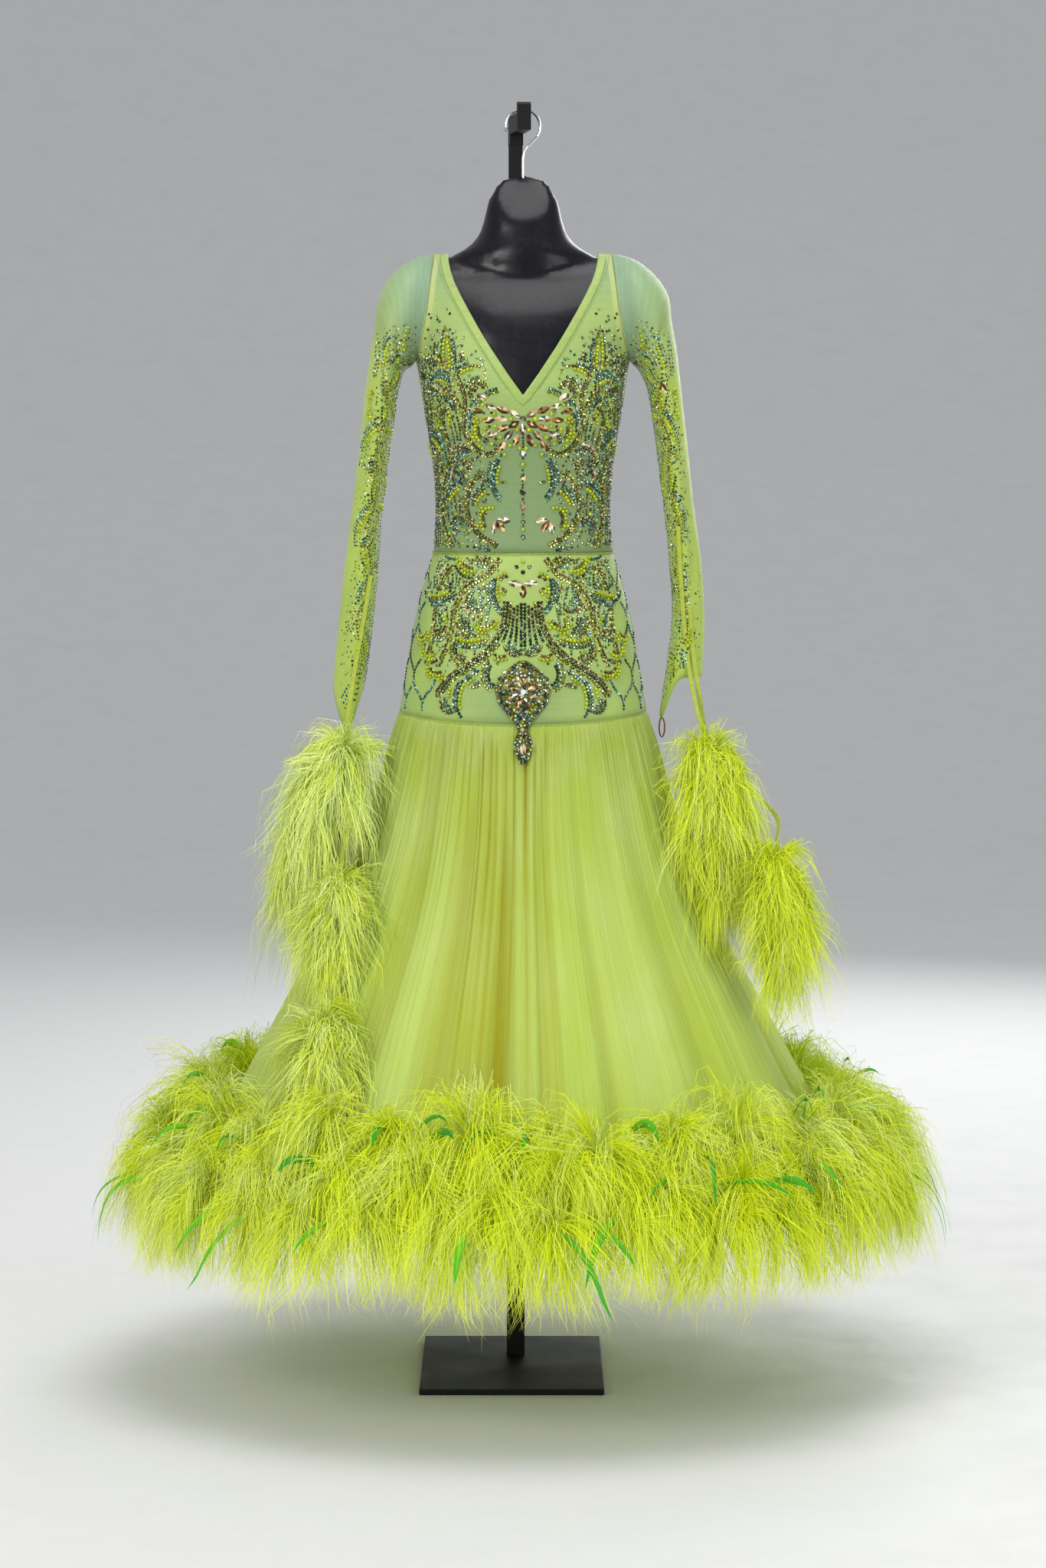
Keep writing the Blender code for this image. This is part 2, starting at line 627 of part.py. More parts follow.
def panel_point(v, turn, back, out=0.0):
    """A point of a body panel, moved out from its outer face (negative is inwards)."""
    turn = math.pi - turn if back else turn
    return body_point(v, turn) + body_normal(v, turn) * out


def body_panel(name, levels, back, finish):
    """Half a panel of the body from its centre line to its side, mirrored.

    A level is a row number or a function of turn.
    """
    outer, inner = [], []
    for level in levels:
        turns = panel_turns(level(0.0) if callable(level) else level)
        row_out, row_in = [], []
        for turn in turns:
            v = level(math.pi - turn if back else turn) if callable(level) else level
            row_out.append(beside_seam(panel_point(v, turn, back), back))
            row_in.append(beside_seam(panel_point(v, turn, back, -CLOTH), back))
        outer.append(row_out)
        inner.append(row_in)
    for row in outer + inner:
        if row[0].x < 1e-6:
            row[0].x = 0.0
    open_rows = [r for r in range(len(levels) - 1) if outer[r + 1][0].x == 0.0]
    points, faces = wall(outer, inner, open_side=open_rows)
    made = solid(name, points, faces, finish)
    mirrored(made)
    return made


def bodice(finishes):
    """The bodice's front and back, from the waist seam to the shoulders."""
    levels = [float(i) for i in range(WAIST_ROW, TOP_ROW + 1)]
    for name, back in (("bodice_front", False), ("bodice_back", True)):
        body_panel(name, levels, back, finishes["bodice_mesh"])


def hips(finishes):
    """The hip yoke's front and back, from the hip seam to just under the waist seam."""

    def lowest(turn):
        return body_row(HIP_SEAM_HEIGHT + SEAM_GAP - hip_dip(turn))

    levels = [lowest, 1.0, 2.0, 3.0, 4.0, body_row(WAIST_HEIGHT - SEAM_GAP)]
    body_panel("hip_back", levels, True, finishes["bodice_mesh"])
    return body_panel("hip_front", levels, False, finishes["bodice_mesh"])


# ---------------------------------------------------------------- skirt
def fold_at(turn):
    """Depth of the large folds at the hem."""
    total = 0.0
    for centre, half_width, depth in SKIRT_FOLDS:
        away = (math.degrees(turn) - centre + 180) % 360 - 180
        total += depth * math.exp(-((away / half_width) ** 2))
    return total


def skirt_point(row, column):
    """A point of the skirt's outer face at a row and a column."""
    z, half_width, front, back, gather, fold_share, squareness = SKIRT_SECTIONS[row]
    turn = 2 * math.pi * column / SKIRT_COLUMNS
    x, y = oval(turn, half_width, front, back, squareness)
    out = gather * (1 if column % 2 else -1) + fold_share * fold_at(turn)
    fade = max(0.0, 1 - row / 2)
    return Vector((x + out * math.sin(turn), y - out * math.cos(turn), z - hip_dip(turn) * fade))


def skirt_normal(row, column):
    """The outward normal of the skirt's mesh at one of its points."""
    last = len(SKIRT_SECTIONS) - 1
    across = skirt_point(row, column + 1) - skirt_point(row, column - 1)
    up = skirt_point(max(row - 1, 0), column) - skirt_point(min(row + 1, last), column)
    return across.cross(up).normalized()


def skirt_half(name, first, last, finish):
    """The skirt's panel between two columns."""
    outer, inner = [], []
    for row in range(len(SKIRT_SECTIONS)):
        row_out, row_in = [], []
        for column in range(first, last + 1):
            p, n = skirt_point(row, column), skirt_normal(row, column)
            inwards = Vector((n.x, n.y, 0.0)) if row == 0 else n
            row_out.append(p)
            row_in.append(p - inwards.normalized() * CLOTH)
        for line in (row_out, row_in):
            limit = SEAM_GAP / 2
            for end in (0, -1):
                line[end].y = -limit if name == "skirt_front" else limit
        outer.append(row_out)
        inner.append(row_in)
    return solid(name, *wall(outer, inner), finish)


def skirt(finishes):
    """The skirt's front and back, joined at the side seams."""
    quarter = SKIRT_COLUMNS // 4
    skirt_half("skirt_back", quarter, 3 * quarter, finishes["skirt_chiffon"])
    return skirt_half("skirt_front", -quarter, quarter, finishes["skirt_chiffon"])


# ---------------------------------------------------------------- sleeves
def armhole_ring(side):
    """A sleeve's first ring, just outside the bodice's armhole, from its top round the front."""
    front, back = [], []
    for row in range(TOP_ROW - 1, ARMPIT_ROW, -1):
        turn = turn_at(row, interpolate(ARMHOLE, BODY_SECTIONS[row][0]))
        front.append(body_point(row, turn))
        back.append(body_point(row, math.pi - turn))
    ring = [body_point(TOP_ROW, math.pi / 2), *front, body_point(ARMPIT_ROW, math.pi / 2), *reversed(back)]
    return [Vector((side * (p.x + ARMHOLE_CLEARANCE), p.y, p.z)) for p in ring]


def sleeve_ring(row, side, count, cuff=None):
    """A ring of a sleeve: from its outer edge round the front to its inner edge and the back."""
    outer_x, outer_z, inner_x, inner_z, half_depth, crease = row
    centre = Vector(((outer_x + inner_x) / 2, 0, (outer_z + inner_z) / 2))
    reach = Vector(((outer_x - inner_x) / 2, 0, (outer_z - inner_z) / 2))
    ring = []
    for j in range(count):
        around = 2 * math.pi * j / count
        away = (around - CREASE_TURN + math.pi) % (2 * math.pi) - math.pi
        dent = crease * math.exp(-((away / CREASE_SPREAD) ** 2))
        p = centre + reach * math.cos(around) + Vector((0, -half_depth * math.sin(around) + dent, 0))
        if cuff:
            drop, tip_turn = cuff
            p.z -= drop * max(0.0, math.cos(around - math.radians(tip_turn))) ** CUFF_SHARPNESS
        ring.append(Vector((side * p.x, p.y, p.z)))
    return ring


def ring_normals(rings, side):
    """Outward normals of a run of closed rings."""
    count, last = len(rings[0]), len(rings) - 1
    normals = []
    for r, ring in enumerate(rings):
        row = []
        for c in range(count):
            across = ring[(c + 1) % count] - ring[c - 1]
            along = rings[min(r + 1, last)][c] - rings[max(r - 1, 0)][c]
            row.append(across.cross(along).normalized() * side)
        normals.append(row)
    return normals


def sleeve(name, finishes):
    """A limp sleeve from the armhole to its pointed cuff, open at both ends, and its cuff's tip."""
    side = 1 if name == "sleeve_left" else -1
    rings = [armhole_ring(side)]
    count = len(rings[0])
    *rows, cuff_row = SLEEVE_RINGS[name]
    rings += [sleeve_ring(row, side, count) for row in rows]
    rings.append(sleeve_ring(cuff_row, side, count, CUFF_POINTS[name]))
    normals = ring_normals(rings, side)
    inner = [[p - n * CLOTH for p, n in zip(ring, row)] for ring, row in zip(rings, normals)]
    for p, q in zip(rings[0], inner[0]):
        q.x = p.x
    tip = min(rings[-1], key=lambda p: p.z)
    return solid(name, *wall(rings, inner, closed=True), finishes["bodice_mesh"]), tip


def finger_loop(name, tip, finishes):
    """The elastic loop for a finger, hanging from the cuff's point."""
    centre = tip - Vector((0.0, 0.0, SEAM_GAP + (LOOP_GAUGE + LOOP_LENGTH) / 2))
    path = []
    for i in range(LOOP_POINTS):
        around = 2 * math.pi * i / LOOP_POINTS
        path.append(centre + Vector((LOOP_WIDTH * math.sin(around), 0.0, LOOP_LENGTH * math.cos(around))) / 2)
    return wire(name, path, LOOP_GAUGE / 2, finishes["cord_gold"], resolution=0, closed=True)


# ---------------------------------------------------------------- trims
def band(name, stations, finish, weld=0.0):
    """A closed band through stations of four points: inner low, inner high, outer high, outer low."""
    count = len(stations)
    points = [p for station in stations for p in station]
    faces = []
    for i in range(count):
        j = (i + 1) % count
        for k in range(4):
            m = (k + 1) % 4
            faces += split(i * 4 + k, i * 4 + m, j * 4 + m, j * 4 + k, points)
    return solid(name, points, faces, finish, weld)


def binding_station(v, back):
    """The binding's section on a row of the bodice."""
    neck, edge = panel_turns(v)[:2]
    low, high = TRIM_LIFT, TRIM_LIFT + BINDING_THICKNESS
    section = [panel_point(v, neck, back, low), panel_point(v, neck, back, high)]
    section += [panel_point(v, edge, back, high), panel_point(v, edge, back, low)]
    if v == TOP_ROW:
        section = [Vector((p.x, 0.0, p.z)) for p in section]
    return section


def binding_tip(back):
    """The binding's section below the point of the V, on the centre line."""
    section = binding_station(float(V_ROW), back)
    slope = (NECKLINE[1][0] - NECKLINE[0][0]) / NECKLINE[1][1]
    drop = binding_reach(NECKLINE[0][0]) * slope
    share = drop / (BODY_SECTIONS[V_ROW][0] - BODY_SECTIONS[V_ROW - 1][0])
    for i, lift in ((2, TRIM_LIFT + BINDING_THICKNESS), (3, TRIM_LIFT)):
        point_of_v = panel_point(float(V_ROW), 0.0, back, lift)
        section[i] = point_of_v.lerp(panel_point(V_ROW - 1.0, 0.0, back, lift), share)
    return section


def neck_binding(finishes):
    """A flat band round the whole neckline, lying on the bodice."""
    rows = [float(v) for v in range(V_ROW, TOP_ROW)]
    half = [binding_station(v, False) for v in rows] + [binding_station(float(TOP_ROW), False)]
    half += [binding_station(v, True) for v in reversed(rows)]
    other = [[Vector((-p.x, p.y, p.z)) for p in station] for station in reversed(half)]
    stations = [binding_tip(False), *half, binding_tip(True), *other]
    for station in stations:
        for p in station:
            if abs(p.x) < 1e-6:
                p.x = 0.0
    return band("neck_binding", stations, finishes["binding_satin"], weld=1e-6)


def waist_cord(finishes):
    """A cord over the waist seam, on the points of the panels it covers."""
    above, below = WAIST_ROW + 1.0, WAIST_ROW - 1.0
    high = CORD_HALF_HEIGHT / (BODY_SECTIONS[WAIST_ROW + 1][0] - WAIST_HEIGHT)
    low = CORD_HALF_HEIGHT / (WAIST_HEIGHT - BODY_SECTIONS[WAIST_ROW - 1][0])
    quarters = ([], [])
    for back in (False, True):
        columns = zip(panel_turns(float(WAIST_ROW)), panel_turns(above), panel_turns(below))
        for at, up, down in columns:
            section = []
            for share, v, turn in ((high, above, up), (low, below, down)):
                for lift in (TRIM_LIFT, CORD_THICKNESS) if v == above else (CORD_THICKNESS, TRIM_LIFT):
                    seam = panel_point(float(WAIST_ROW), at, back, lift)
                    section.append(seam.lerp(panel_point(v, turn, back, lift), share))
            quarters[back].append(section)
    half = quarters[0] + list(reversed(quarters[1]))[1:]
    other = [[Vector((-p.x, p.y, p.z)) for p in station] for station in reversed(half[1:-1])]
    for station in (half[0], half[-1]):
        for p in station:
            p.x = 0.0
    return band("waist_cord", half + other, finishes["cord_gold"])


class FrontFace:
    """Finds how far forward the gown's panels reach at a place seen from the front."""

    def __init__(self, *objects):
        self.trees = []
        for made in objects:
            corners = [v.co.copy() for v in made.data.vertices]
            self.trees.append(BVHTree.FromPolygons(corners, [tuple(p.vertices) for p in made.data.polygons]))

    def y(self, x, z, spread=0.0):
        """The most forward y within a small square about a place, or None where nothing is met."""
        found = []
        for dx in (-spread, 0.0, spread):
            for dz in (-spread, 0.0, spread):
                for tree in self.trees:
                    hit = tree.ray_cast(Vector((x + dx, -1.0, z + dz)), Vector((0.0, 1.0, 0.0)))[0]
                    if hit is not None:
                        found.append(hit.y)
        return min(found) if found else None


def pendant(hip, skirt_front, finishes):
    """A domed medallion with a drop, lying on the centre of the hip yoke."""
    face = FrontFace(hip, skirt_front)
    low, high = [], []
    for z, half_width, rise in PENDANT_OUTLINE:
        row_low, row_high = [], []
        for c in range(PENDANT_COLUMNS + 1):
            share = 2 * c / PENDANT_COLUMNS - 1
            places = (face.y(half_width * side * share, z, PENDANT_SPREAD) for side in (-1, 1))
            y = min(found for found in places if found is not None) - TRIM_LIFT
            row_low.append(Vector((half_width * share, y, z)))
            crown = PENDANT_RIM + rise * (1 - share * share)
            row_high.append(Vector((half_width * share, y - crown, z)))
        low.append(row_low)
        high.append(row_high)
    return solid("pendant_applique", *wall(high, low), finishes["stone_setting"])


def strap(name, carrier, finishes):
    """A ribbon from a sleeve down to the floats it carries."""
    face = FrontFace(carrier)
    path = []
    for x, y, z in STRAPS[name]:
        if y is None:
            y = face.y(x, z, RIBBON_SPREAD) - SEAM_GAP - RIBBON_THICKNESS
        path.append(Vector((x, y, z)))
    rings, facing = [], (path[1] - path[0]).cross(Vector((0, 1, 0))).normalized()
    for i, p in enumerate(path):
        along = (path[min(i + 1, len(path) - 1)] - path[max(i - 1, 0)]).normalized()
        facing = (facing - along * facing.dot(along)).normalized()
        across = facing * RIBBON_WIDTH / 2
        depth = facing.cross(along).normalized() * RIBBON_THICKNESS / 2
        rings.append([p - across - depth, p + across - depth, p + across + depth, p - across + depth])
    return solid(name, *tube(rings), finishes["binding_satin"])


# ---------------------------------------------------------------- feathers
def plume(root, out, path, root_size, first=None):
    """Points and faces of a three-sided drooping lock.

    path gives out, up, half_width and thickness for each ring after the root; first is a place
    just off the strip that the lock passes at its root's size.
    """
    sideways = Vector((-out.y, out.x, 0.0)).normalized()
    start = [root, first] if first else [root]
    centres = start + [root + out * o + Vector((0, 0, u)) for o, u, _, _ in path]
    sizes = [root_size] * len(start) + [(w, t) for _, _, w, t in path]
    rings = []
    for i in range(len(centres) - 1):
        along = (centres[i + 1] - centres[max(i - 1, 0)]).normalized()
        top = sideways.cross(along).normalized()
        if top.z < 0:
            top = -top
        half_width, thickness = sizes[i]
        base = centres[i] - top * thickness / 3
        rings.append([base - sideways * half_width, base + sideways * half_width, base + top * thickness])
    return tube(rings, centres[-1])


def hem_plumes(arc, finishes):
    """One arc of the hem's feathers: a narrow strip on the skirt's folds, with plumes growing from it."""
    step = SKIRT_COLUMNS // HEM_ARCS
    first = arc * step
    last_row = len(SKIRT_SECTIONS) - 1

    def place(column, share, lift):
        """A point on the skirt's lowest band, moved out."""
        whole = min(int(math.floor(column)), first + step - 1)
        ends = []
        for c in (whole, whole + 1):
            high = skirt_point(last_row - 1, c) + skirt_normal(last_row - 1, c) * lift
            low = skirt_point(last_row, c) + skirt_normal(last_row, c) * lift
            ends.append(high.lerp(low, share))
        return ends[0].lerp(ends[1], column - whole)

    columns = [first + STRIP_END_GAP, *range(first + 1, first + step), first + step - STRIP_END_GAP]
    low, high = TRIM_LIFT, TRIM_LIFT + STRIP_THICKNESS
    section = ((STRIP_TOP, low), (STRIP_TOP, high), (STRIP_BOTTOM, high), (STRIP_BOTTOM, low))
    rings = [[place(column, share, lift) for share, lift in section] for column in columns]
    name = f"hem_plumes_{arc + 1:02d}"
    strip = solid(name, *tube(rings), finishes["ostrich_feather"])
    locks = []
    for facet, tier in enumerate(PLUME_ORDER):
        column = first + facet + 0.5
        share = STRIP_TOP + (STRIP_BOTTOM - STRIP_TOP) * ROOT_SHARE[tier]
        root = place(column, share, low + STRIP_THICKNESS * ROOT_DEPTH)
        surface = place(column, share, high + ROOT_RISE)
        turn = 2 * math.pi * column / SKIRT_COLUMNS
        out = Vector((math.sin(turn), -math.cos(turn), 0.0))
        pull = fold_at(turn) * FOLD_FOLLOW / FOLD_FOLLOW_REACH
        path = [(o - pull * o, u, w, t) for o, u, w, t in PLUME_TIERS[tier]]
        locks.append(plume(root, out, path, (ROOT_HALF_WIDTH, ROOT_THICKNESS), first=surface))
    join_to(strip, solid(name + "_locks", *merged(locks), finishes["ostrich_feather"]))
    return strip


def hanging_float(name, finishes):
    """A tuft of plumes drooping from a slender spindle."""
    top, bottom, facing, fan, reach, count = FLOATS[name]
    top, bottom = Vector(top), Vector(bottom)
    sides = [2 * math.pi * k / SPINDLE_SIDES for k in range(SPINDLE_SIDES)]
    rings = []
    for share, scale in SPINDLE_SHAPE:
        centre = top.lerp(bottom, share)
        rings.append([centre + Vector((math.cos(a), math.sin(a), 0)) * SPINDLE_RADIUS * scale for a in sides])
    core = solid(name, *tube(rings), finishes["ostrich_feather"])
    locks = []
    for k, side in enumerate(FLOAT_SIDES[:count]):
        place = FLOAT_FIRST + FLOAT_SPAN * k / (count - 1)
        azimuth = math.radians(facing + fan * side)
        out = Vector((math.sin(azimuth), -math.cos(azimuth), 0.0))
        path = [(reach * o, reach * u, w, t) for o, u, w, t in FLOAT_PLUME]
        root = top.lerp(bottom, place) + out * FLOAT_ROOT_SHIFT
        locks.append(plume(root, out, path, (FLOAT_ROOT_HALF_WIDTH, FLOAT_ROOT_THICKNESS)))
    join_to(core, solid(name + "_locks", *merged(locks), finishes["ostrich_feather"]))
    return core


# ---------------------------------------------------------------- dress form, hook and stand
def dress_form(finishes):
    """A closed torso inside the gown, flat at its back, with a neck rising through its shoulders."""
    turns = [2 * math.pi * c / FORM_COLUMNS for c in range(FORM_COLUMNS)]
    rings = []
    for z, half_width, front, back in FORM_LOWER_SECTIONS:
        rings.append([Vector((*oval(t, half_width, front, back, BODY_SQUARENESS), z)) for t in turns])
    for v in FORM_ROWS:
        z = BODY_SECTIONS[v][0]
        share = min(1.0, max(0.0, (z - FORM_RISE_START) / FORM_RISE))
        inset = CLOTH + FORM_CLEARANCE + (FORM_SHOULDER_CLEARANCE - FORM_CLEARANCE) * share
        inset += ARMPIT_EXTRA * math.exp(-(((z - ARMPIT_HEIGHT) / ARMPIT_SPREAD) ** 2))
        rings.append([body_point(v, t) - body_normal(v, t) * inset for t in turns])
    flat_top = max(p.z for p in rings[-1])
    for p in rings[-1]:
        p.z = flat_top
    for ring in rings:
        for p in ring:
            p.y = min(p.y, FORM_BACK)
    torso = solid("dress_form", *tube(rings), finishes["form_gloss"], weld=WELD)
    neck_rings = []
    for z, half_width, front, back, centre_y, slope in NECK_SECTIONS:
        ring = []
        for c in range(NECK_COLUMNS):
            x, y = oval(2 * math.pi * c / NECK_COLUMNS, half_width, front, back, 2.0)
            ring.append(Vector((x, y + centre_y, z + slope * y)))
        neck_rings.append(ring)
    join_to(torso, solid("form_neck", *tube(neck_rings), finishes["form_gloss"]))
    return torso


def cap_height(y):
    """Height of the neck cap's slanted plane at a y."""
    z, _, _, _, centre_y, slope = NECK_SECTIONS[-1]
    return z + slope * (y - centre_y)


def hanger_hook(finishes):
    """A wire hook: a ball at its tip, the loop over the top, and a bend down to the slanted neck cap."""
    centre = Vector((0.0, HOOK_Y, HOOK_LOOP_HEIGHT))
    path = []
    for degrees in range(HOOK_LOOP_START, HOOK_LOOP_END, HOOK_LOOP_STEP):
        a = math.radians(degrees)
        path.append(centre + Vector((math.cos(a), 0, math.sin(a))) * HOOK_LOOP_RADIUS)
    path += [Vector((x, HOOK_Y, z)) for x, z in HOOK_BEND]
    hook = wire("hanger_hook", path, HOOK_WIRE / 2, finishes["hook_chrome"])
    foot = path[-1].z
    for corner in hook.data.vertices:
        if abs(corner.co.z - foot) < WELD:
            corner.co.z = cap_height(corner.co.y) + SEAM_GAP
    join_to(hook, ball("hook_ball", path[0], HOOK_BALL_RADIUS, finishes["hook_chrome"]))
    return hook


def stand(finishes):
    """The base plate with its lower post, and the upper post with the notched arm the hook hangs on."""
    finish = finishes["stand_black"]
    centre = Vector((*BASE_CENTRE, BASE_SIZE[2] / 2))
    plate = box("stand_base", centre - Vector(BASE_SIZE) / 2, centre + Vector(BASE_SIZE) / 2, finish)
    edges = plate.modifiers.new("Rounded edges", "BEVEL")
    edges.width = BASE_EDGE
    edges.segments = 2
    px, py = POST_AXIS
    half = LOWER_POST_SIDE / 2
    low, high = (px - half, py - half, BASE_SIZE[2] / 2), (px + half, py + half, POST_JOINT)
    join_to(plate, box("lower_post", low, high, finish))
    half = UPPER_POST_SIDE / 2
    low, high = (px - half, py - half, POST_JOINT + SEAM_GAP), (px + half, py + half, POST_TOP)
    pole = box("stand_pole", low, high, finish)
    inner = HOOK_LOOP_RADIUS - HOOK_WIRE / 2
    saddle = HOOK_LOOP_HEIGHT + math.sqrt(inner**2 - (ARM_WIDTH / 2) ** 2) - SADDLE_DROP
    outline = [(y, saddle + up) for y, up in ARM_OUTLINE]
    upright = Matrix(((0, 0, 1, 0), (1, 0, 0, 0), (0, 1, 0, 0), (0, 0, 0, 1)))
    to_post = Matrix.Rotation(math.atan2(-px, py), 4, "Z")
    join_to(pole, cut_plate("hooking_arm", outline, ARM_WIDTH, to_post @ upright, finish))


# ---------------------------------------------------------------- assembly
def main():
    """Builds every piece of the gown, its form and its stand."""
    for startup in list(bpy.data.objects):
        bpy.data.objects.remove(startup)
    finishes = build_finishes()
    bodice(finishes)
    hip_front = hips(finishes)
    skirt_front = skirt(finishes)
    sleeves = {}
    for name in SLEEVE_RINGS:
        sleeves[name], tip = sleeve(name, finishes)
        if name == "sleeve_left":
            finger_loop("finger_loop_left", tip, finishes)
    neck_binding(finishes)
    waist_cord(finishes)
    pendant(hip_front, skirt_front, finishes)
    for arc in range(HEM_ARCS):
        hem_plumes(arc, finishes)
    for name in FLOATS:
        hanging_float(name, finishes)
    for name, carrier in STRAP_CARRIERS.items():
        strap(name, sleeves[carrier], finishes)
    dress_form(finishes)
    hanger_hook(finishes)
    stand(finishes)


main()
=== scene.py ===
"""The looks of a long-sleeved ballroom gown with a feathered hem, on its dress form and stand.

Metres, +Z up, the floor at z = 0.  The gown's front faces -Y and its centre line is x = 0.
A turn is an angle about Z, 0 at the centre front and growing towards +X; pi is the centre back.
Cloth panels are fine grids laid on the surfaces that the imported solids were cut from, and every
stone, cord, seam and feather is placed on those same surfaces.
"""

from __future__ import annotations

import logging
import math
from collections.abc import Callable
from dataclasses import dataclass, field, fields
from enum import Enum
from typing import Union

import bpy
import numpy as np
from bpy.types import Material, Node, NodeSocket, Object
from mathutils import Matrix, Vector

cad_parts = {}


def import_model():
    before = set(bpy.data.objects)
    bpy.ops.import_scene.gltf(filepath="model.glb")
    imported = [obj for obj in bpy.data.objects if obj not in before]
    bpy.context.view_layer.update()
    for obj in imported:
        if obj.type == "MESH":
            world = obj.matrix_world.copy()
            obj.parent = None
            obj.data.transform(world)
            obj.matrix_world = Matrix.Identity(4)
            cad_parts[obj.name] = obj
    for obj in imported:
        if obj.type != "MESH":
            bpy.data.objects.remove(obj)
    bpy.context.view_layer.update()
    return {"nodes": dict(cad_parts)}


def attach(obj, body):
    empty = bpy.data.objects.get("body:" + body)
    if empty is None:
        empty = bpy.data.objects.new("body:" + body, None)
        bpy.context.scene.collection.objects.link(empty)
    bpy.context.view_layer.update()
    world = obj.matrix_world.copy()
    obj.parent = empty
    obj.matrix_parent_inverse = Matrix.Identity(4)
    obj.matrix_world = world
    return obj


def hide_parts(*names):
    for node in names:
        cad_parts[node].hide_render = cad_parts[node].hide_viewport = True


log = logging.getLogger("ballroom_gown")

Array = np.ndarray
Colour = tuple[float, ...]
Source = Union[NodeSocket, float, Colour]
Rule = Callable[[float, float], bool]
ROOT = "root"

# Horizontal sections of the body of the gown, outer face:  height, half_width, front_depth, back_depth
BODY_SECTIONS = (
    (0.8790, 0.1690, 0.1215, 0.1230), (0.9300, 0.1605, 0.1175, 0.1180),
    (0.9800, 0.1525, 0.1130, 0.1120), (1.0300, 0.1435, 0.1070, 0.1050),
    (1.0750, 0.1320, 0.1000, 0.0980), (1.1145, 0.1205, 0.0950, 0.0930),
    (1.1600, 0.1160, 0.0940, 0.0910), (1.2050, 0.1172, 0.0990, 0.0915),
    (1.2500, 0.1222, 0.1075, 0.0930), (1.2880, 0.1288, 0.1165, 0.0950),
    (1.3220, 0.1345, 0.1210, 0.0970), (1.3500, 0.1385, 0.1190, 0.0980),
    (1.3720, 0.1425, 0.1140, 0.0985), (1.3850, 0.1475, 0.1100, 0.0980),
    (1.4100, 0.1590, 0.1000, 0.0950), (1.4350, 0.1700, 0.0870, 0.0870),
    (1.4550, 0.1760, 0.0740, 0.0770), (1.4730, 0.1750, 0.0600, 0.0640),
    (1.4880, 0.1660, 0.0450, 0.0490), (1.5000, 0.1500, 0.0290, 0.0320),
    (1.5080, 0.1310, 0.0150, 0.0160), (1.5120, 0.1180, 0.0003, 0.0003),
)
BODY_SQUARENESS = 2.2
WAIST_ROW, V_ROW, ARMPIT_ROW, TOP_ROW = 5, 10, 12, 21
HIP_SEAM_HEIGHT, HIP_SEAM_DIP = 0.899, 0.010
SEAM_GAP = 0.0003
CLOTH = 0.0010  # thickness of a cloth shell
# Half-width of the neck opening, the same in front and at the back:  height, half_width
NECKLINE = (
    (1.322, 0.0000), (1.350, 0.0200), (1.372, 0.0345), (1.385, 0.0430), (1.410, 0.0580),
    (1.435, 0.0720), (1.455, 0.0825), (1.473, 0.0910), (1.488, 0.0960), (1.500, 0.0985),
    (1.512, 0.1000),
)
# The seam between bodice and sleeve:  height, distance from the centre line
ARMHOLE = (
    (1.372, 0.1425), (1.385, 0.1375), (1.410, 0.1315), (1.440, 0.1265), (1.480, 0.1220),
    (1.512, 0.1180),
)

# Sections of the skirt:  height, half_width, front_depth, back_depth, fold_share, squareness
SKIRT_SECTIONS = (
    (0.8990, 0.1672, 0.1208, 0.1222, 0.00, 2.20), (0.8650, 0.1785, 0.1325, 0.1345, 0.05, 2.12),
    (0.8100, 0.1930, 0.1530, 0.1540, 0.14, 2.05), (0.7300, 0.2160, 0.1860, 0.1860, 0.28, 2.00),
    (0.6300, 0.2535, 0.2290, 0.2290, 0.46, 2.00), (0.5200, 0.3100, 0.2880, 0.2880, 0.66, 2.00),
    (0.4050, 0.3700, 0.3500, 0.3500, 0.86, 2.00), (0.2900, 0.4330, 0.4250, 0.4250, 1.00, 2.00),
)
# The large folds at the hem, a negative depth being a valley:  turn_deg, half_width_deg, depth
SKIRT_FOLDS = (
    (-5.8, 3.6, -0.030), (-13.5, 2.6, -0.010), (-20.3, 3.0, -0.018), (-29.0, 5.0, 0.012),
    (-38.0, 4.0, -0.018), (-52.0, 7.0, 0.014), (-66.0, 4.5, -0.018), (-84.0, 8.0, 0.012),
    (0.5, 3.0, 0.008), (5.6, 3.0, -0.014), (14.0, 3.5, 0.014), (20.0, 3.2, -0.016),
    (34.0, 6.0, 0.010), (45.0, 4.5, -0.014), (62.0, 8.0, 0.014), (80.0, 4.5, -0.018),
    (98.0, 7.0, 0.014), (114.0, 4.5, -0.018), (130.0, 6.5, 0.014), (146.0, 4.5, -0.020),
    (160.0, 5.5, 0.014), (173.0, 4.0, -0.018), (187.0, 5.5, 0.014), (202.0, 4.5, -0.020),
    (218.0, 6.5, 0.014), (234.0, 4.5, -0.018), (252.0, 7.0, 0.014),
)

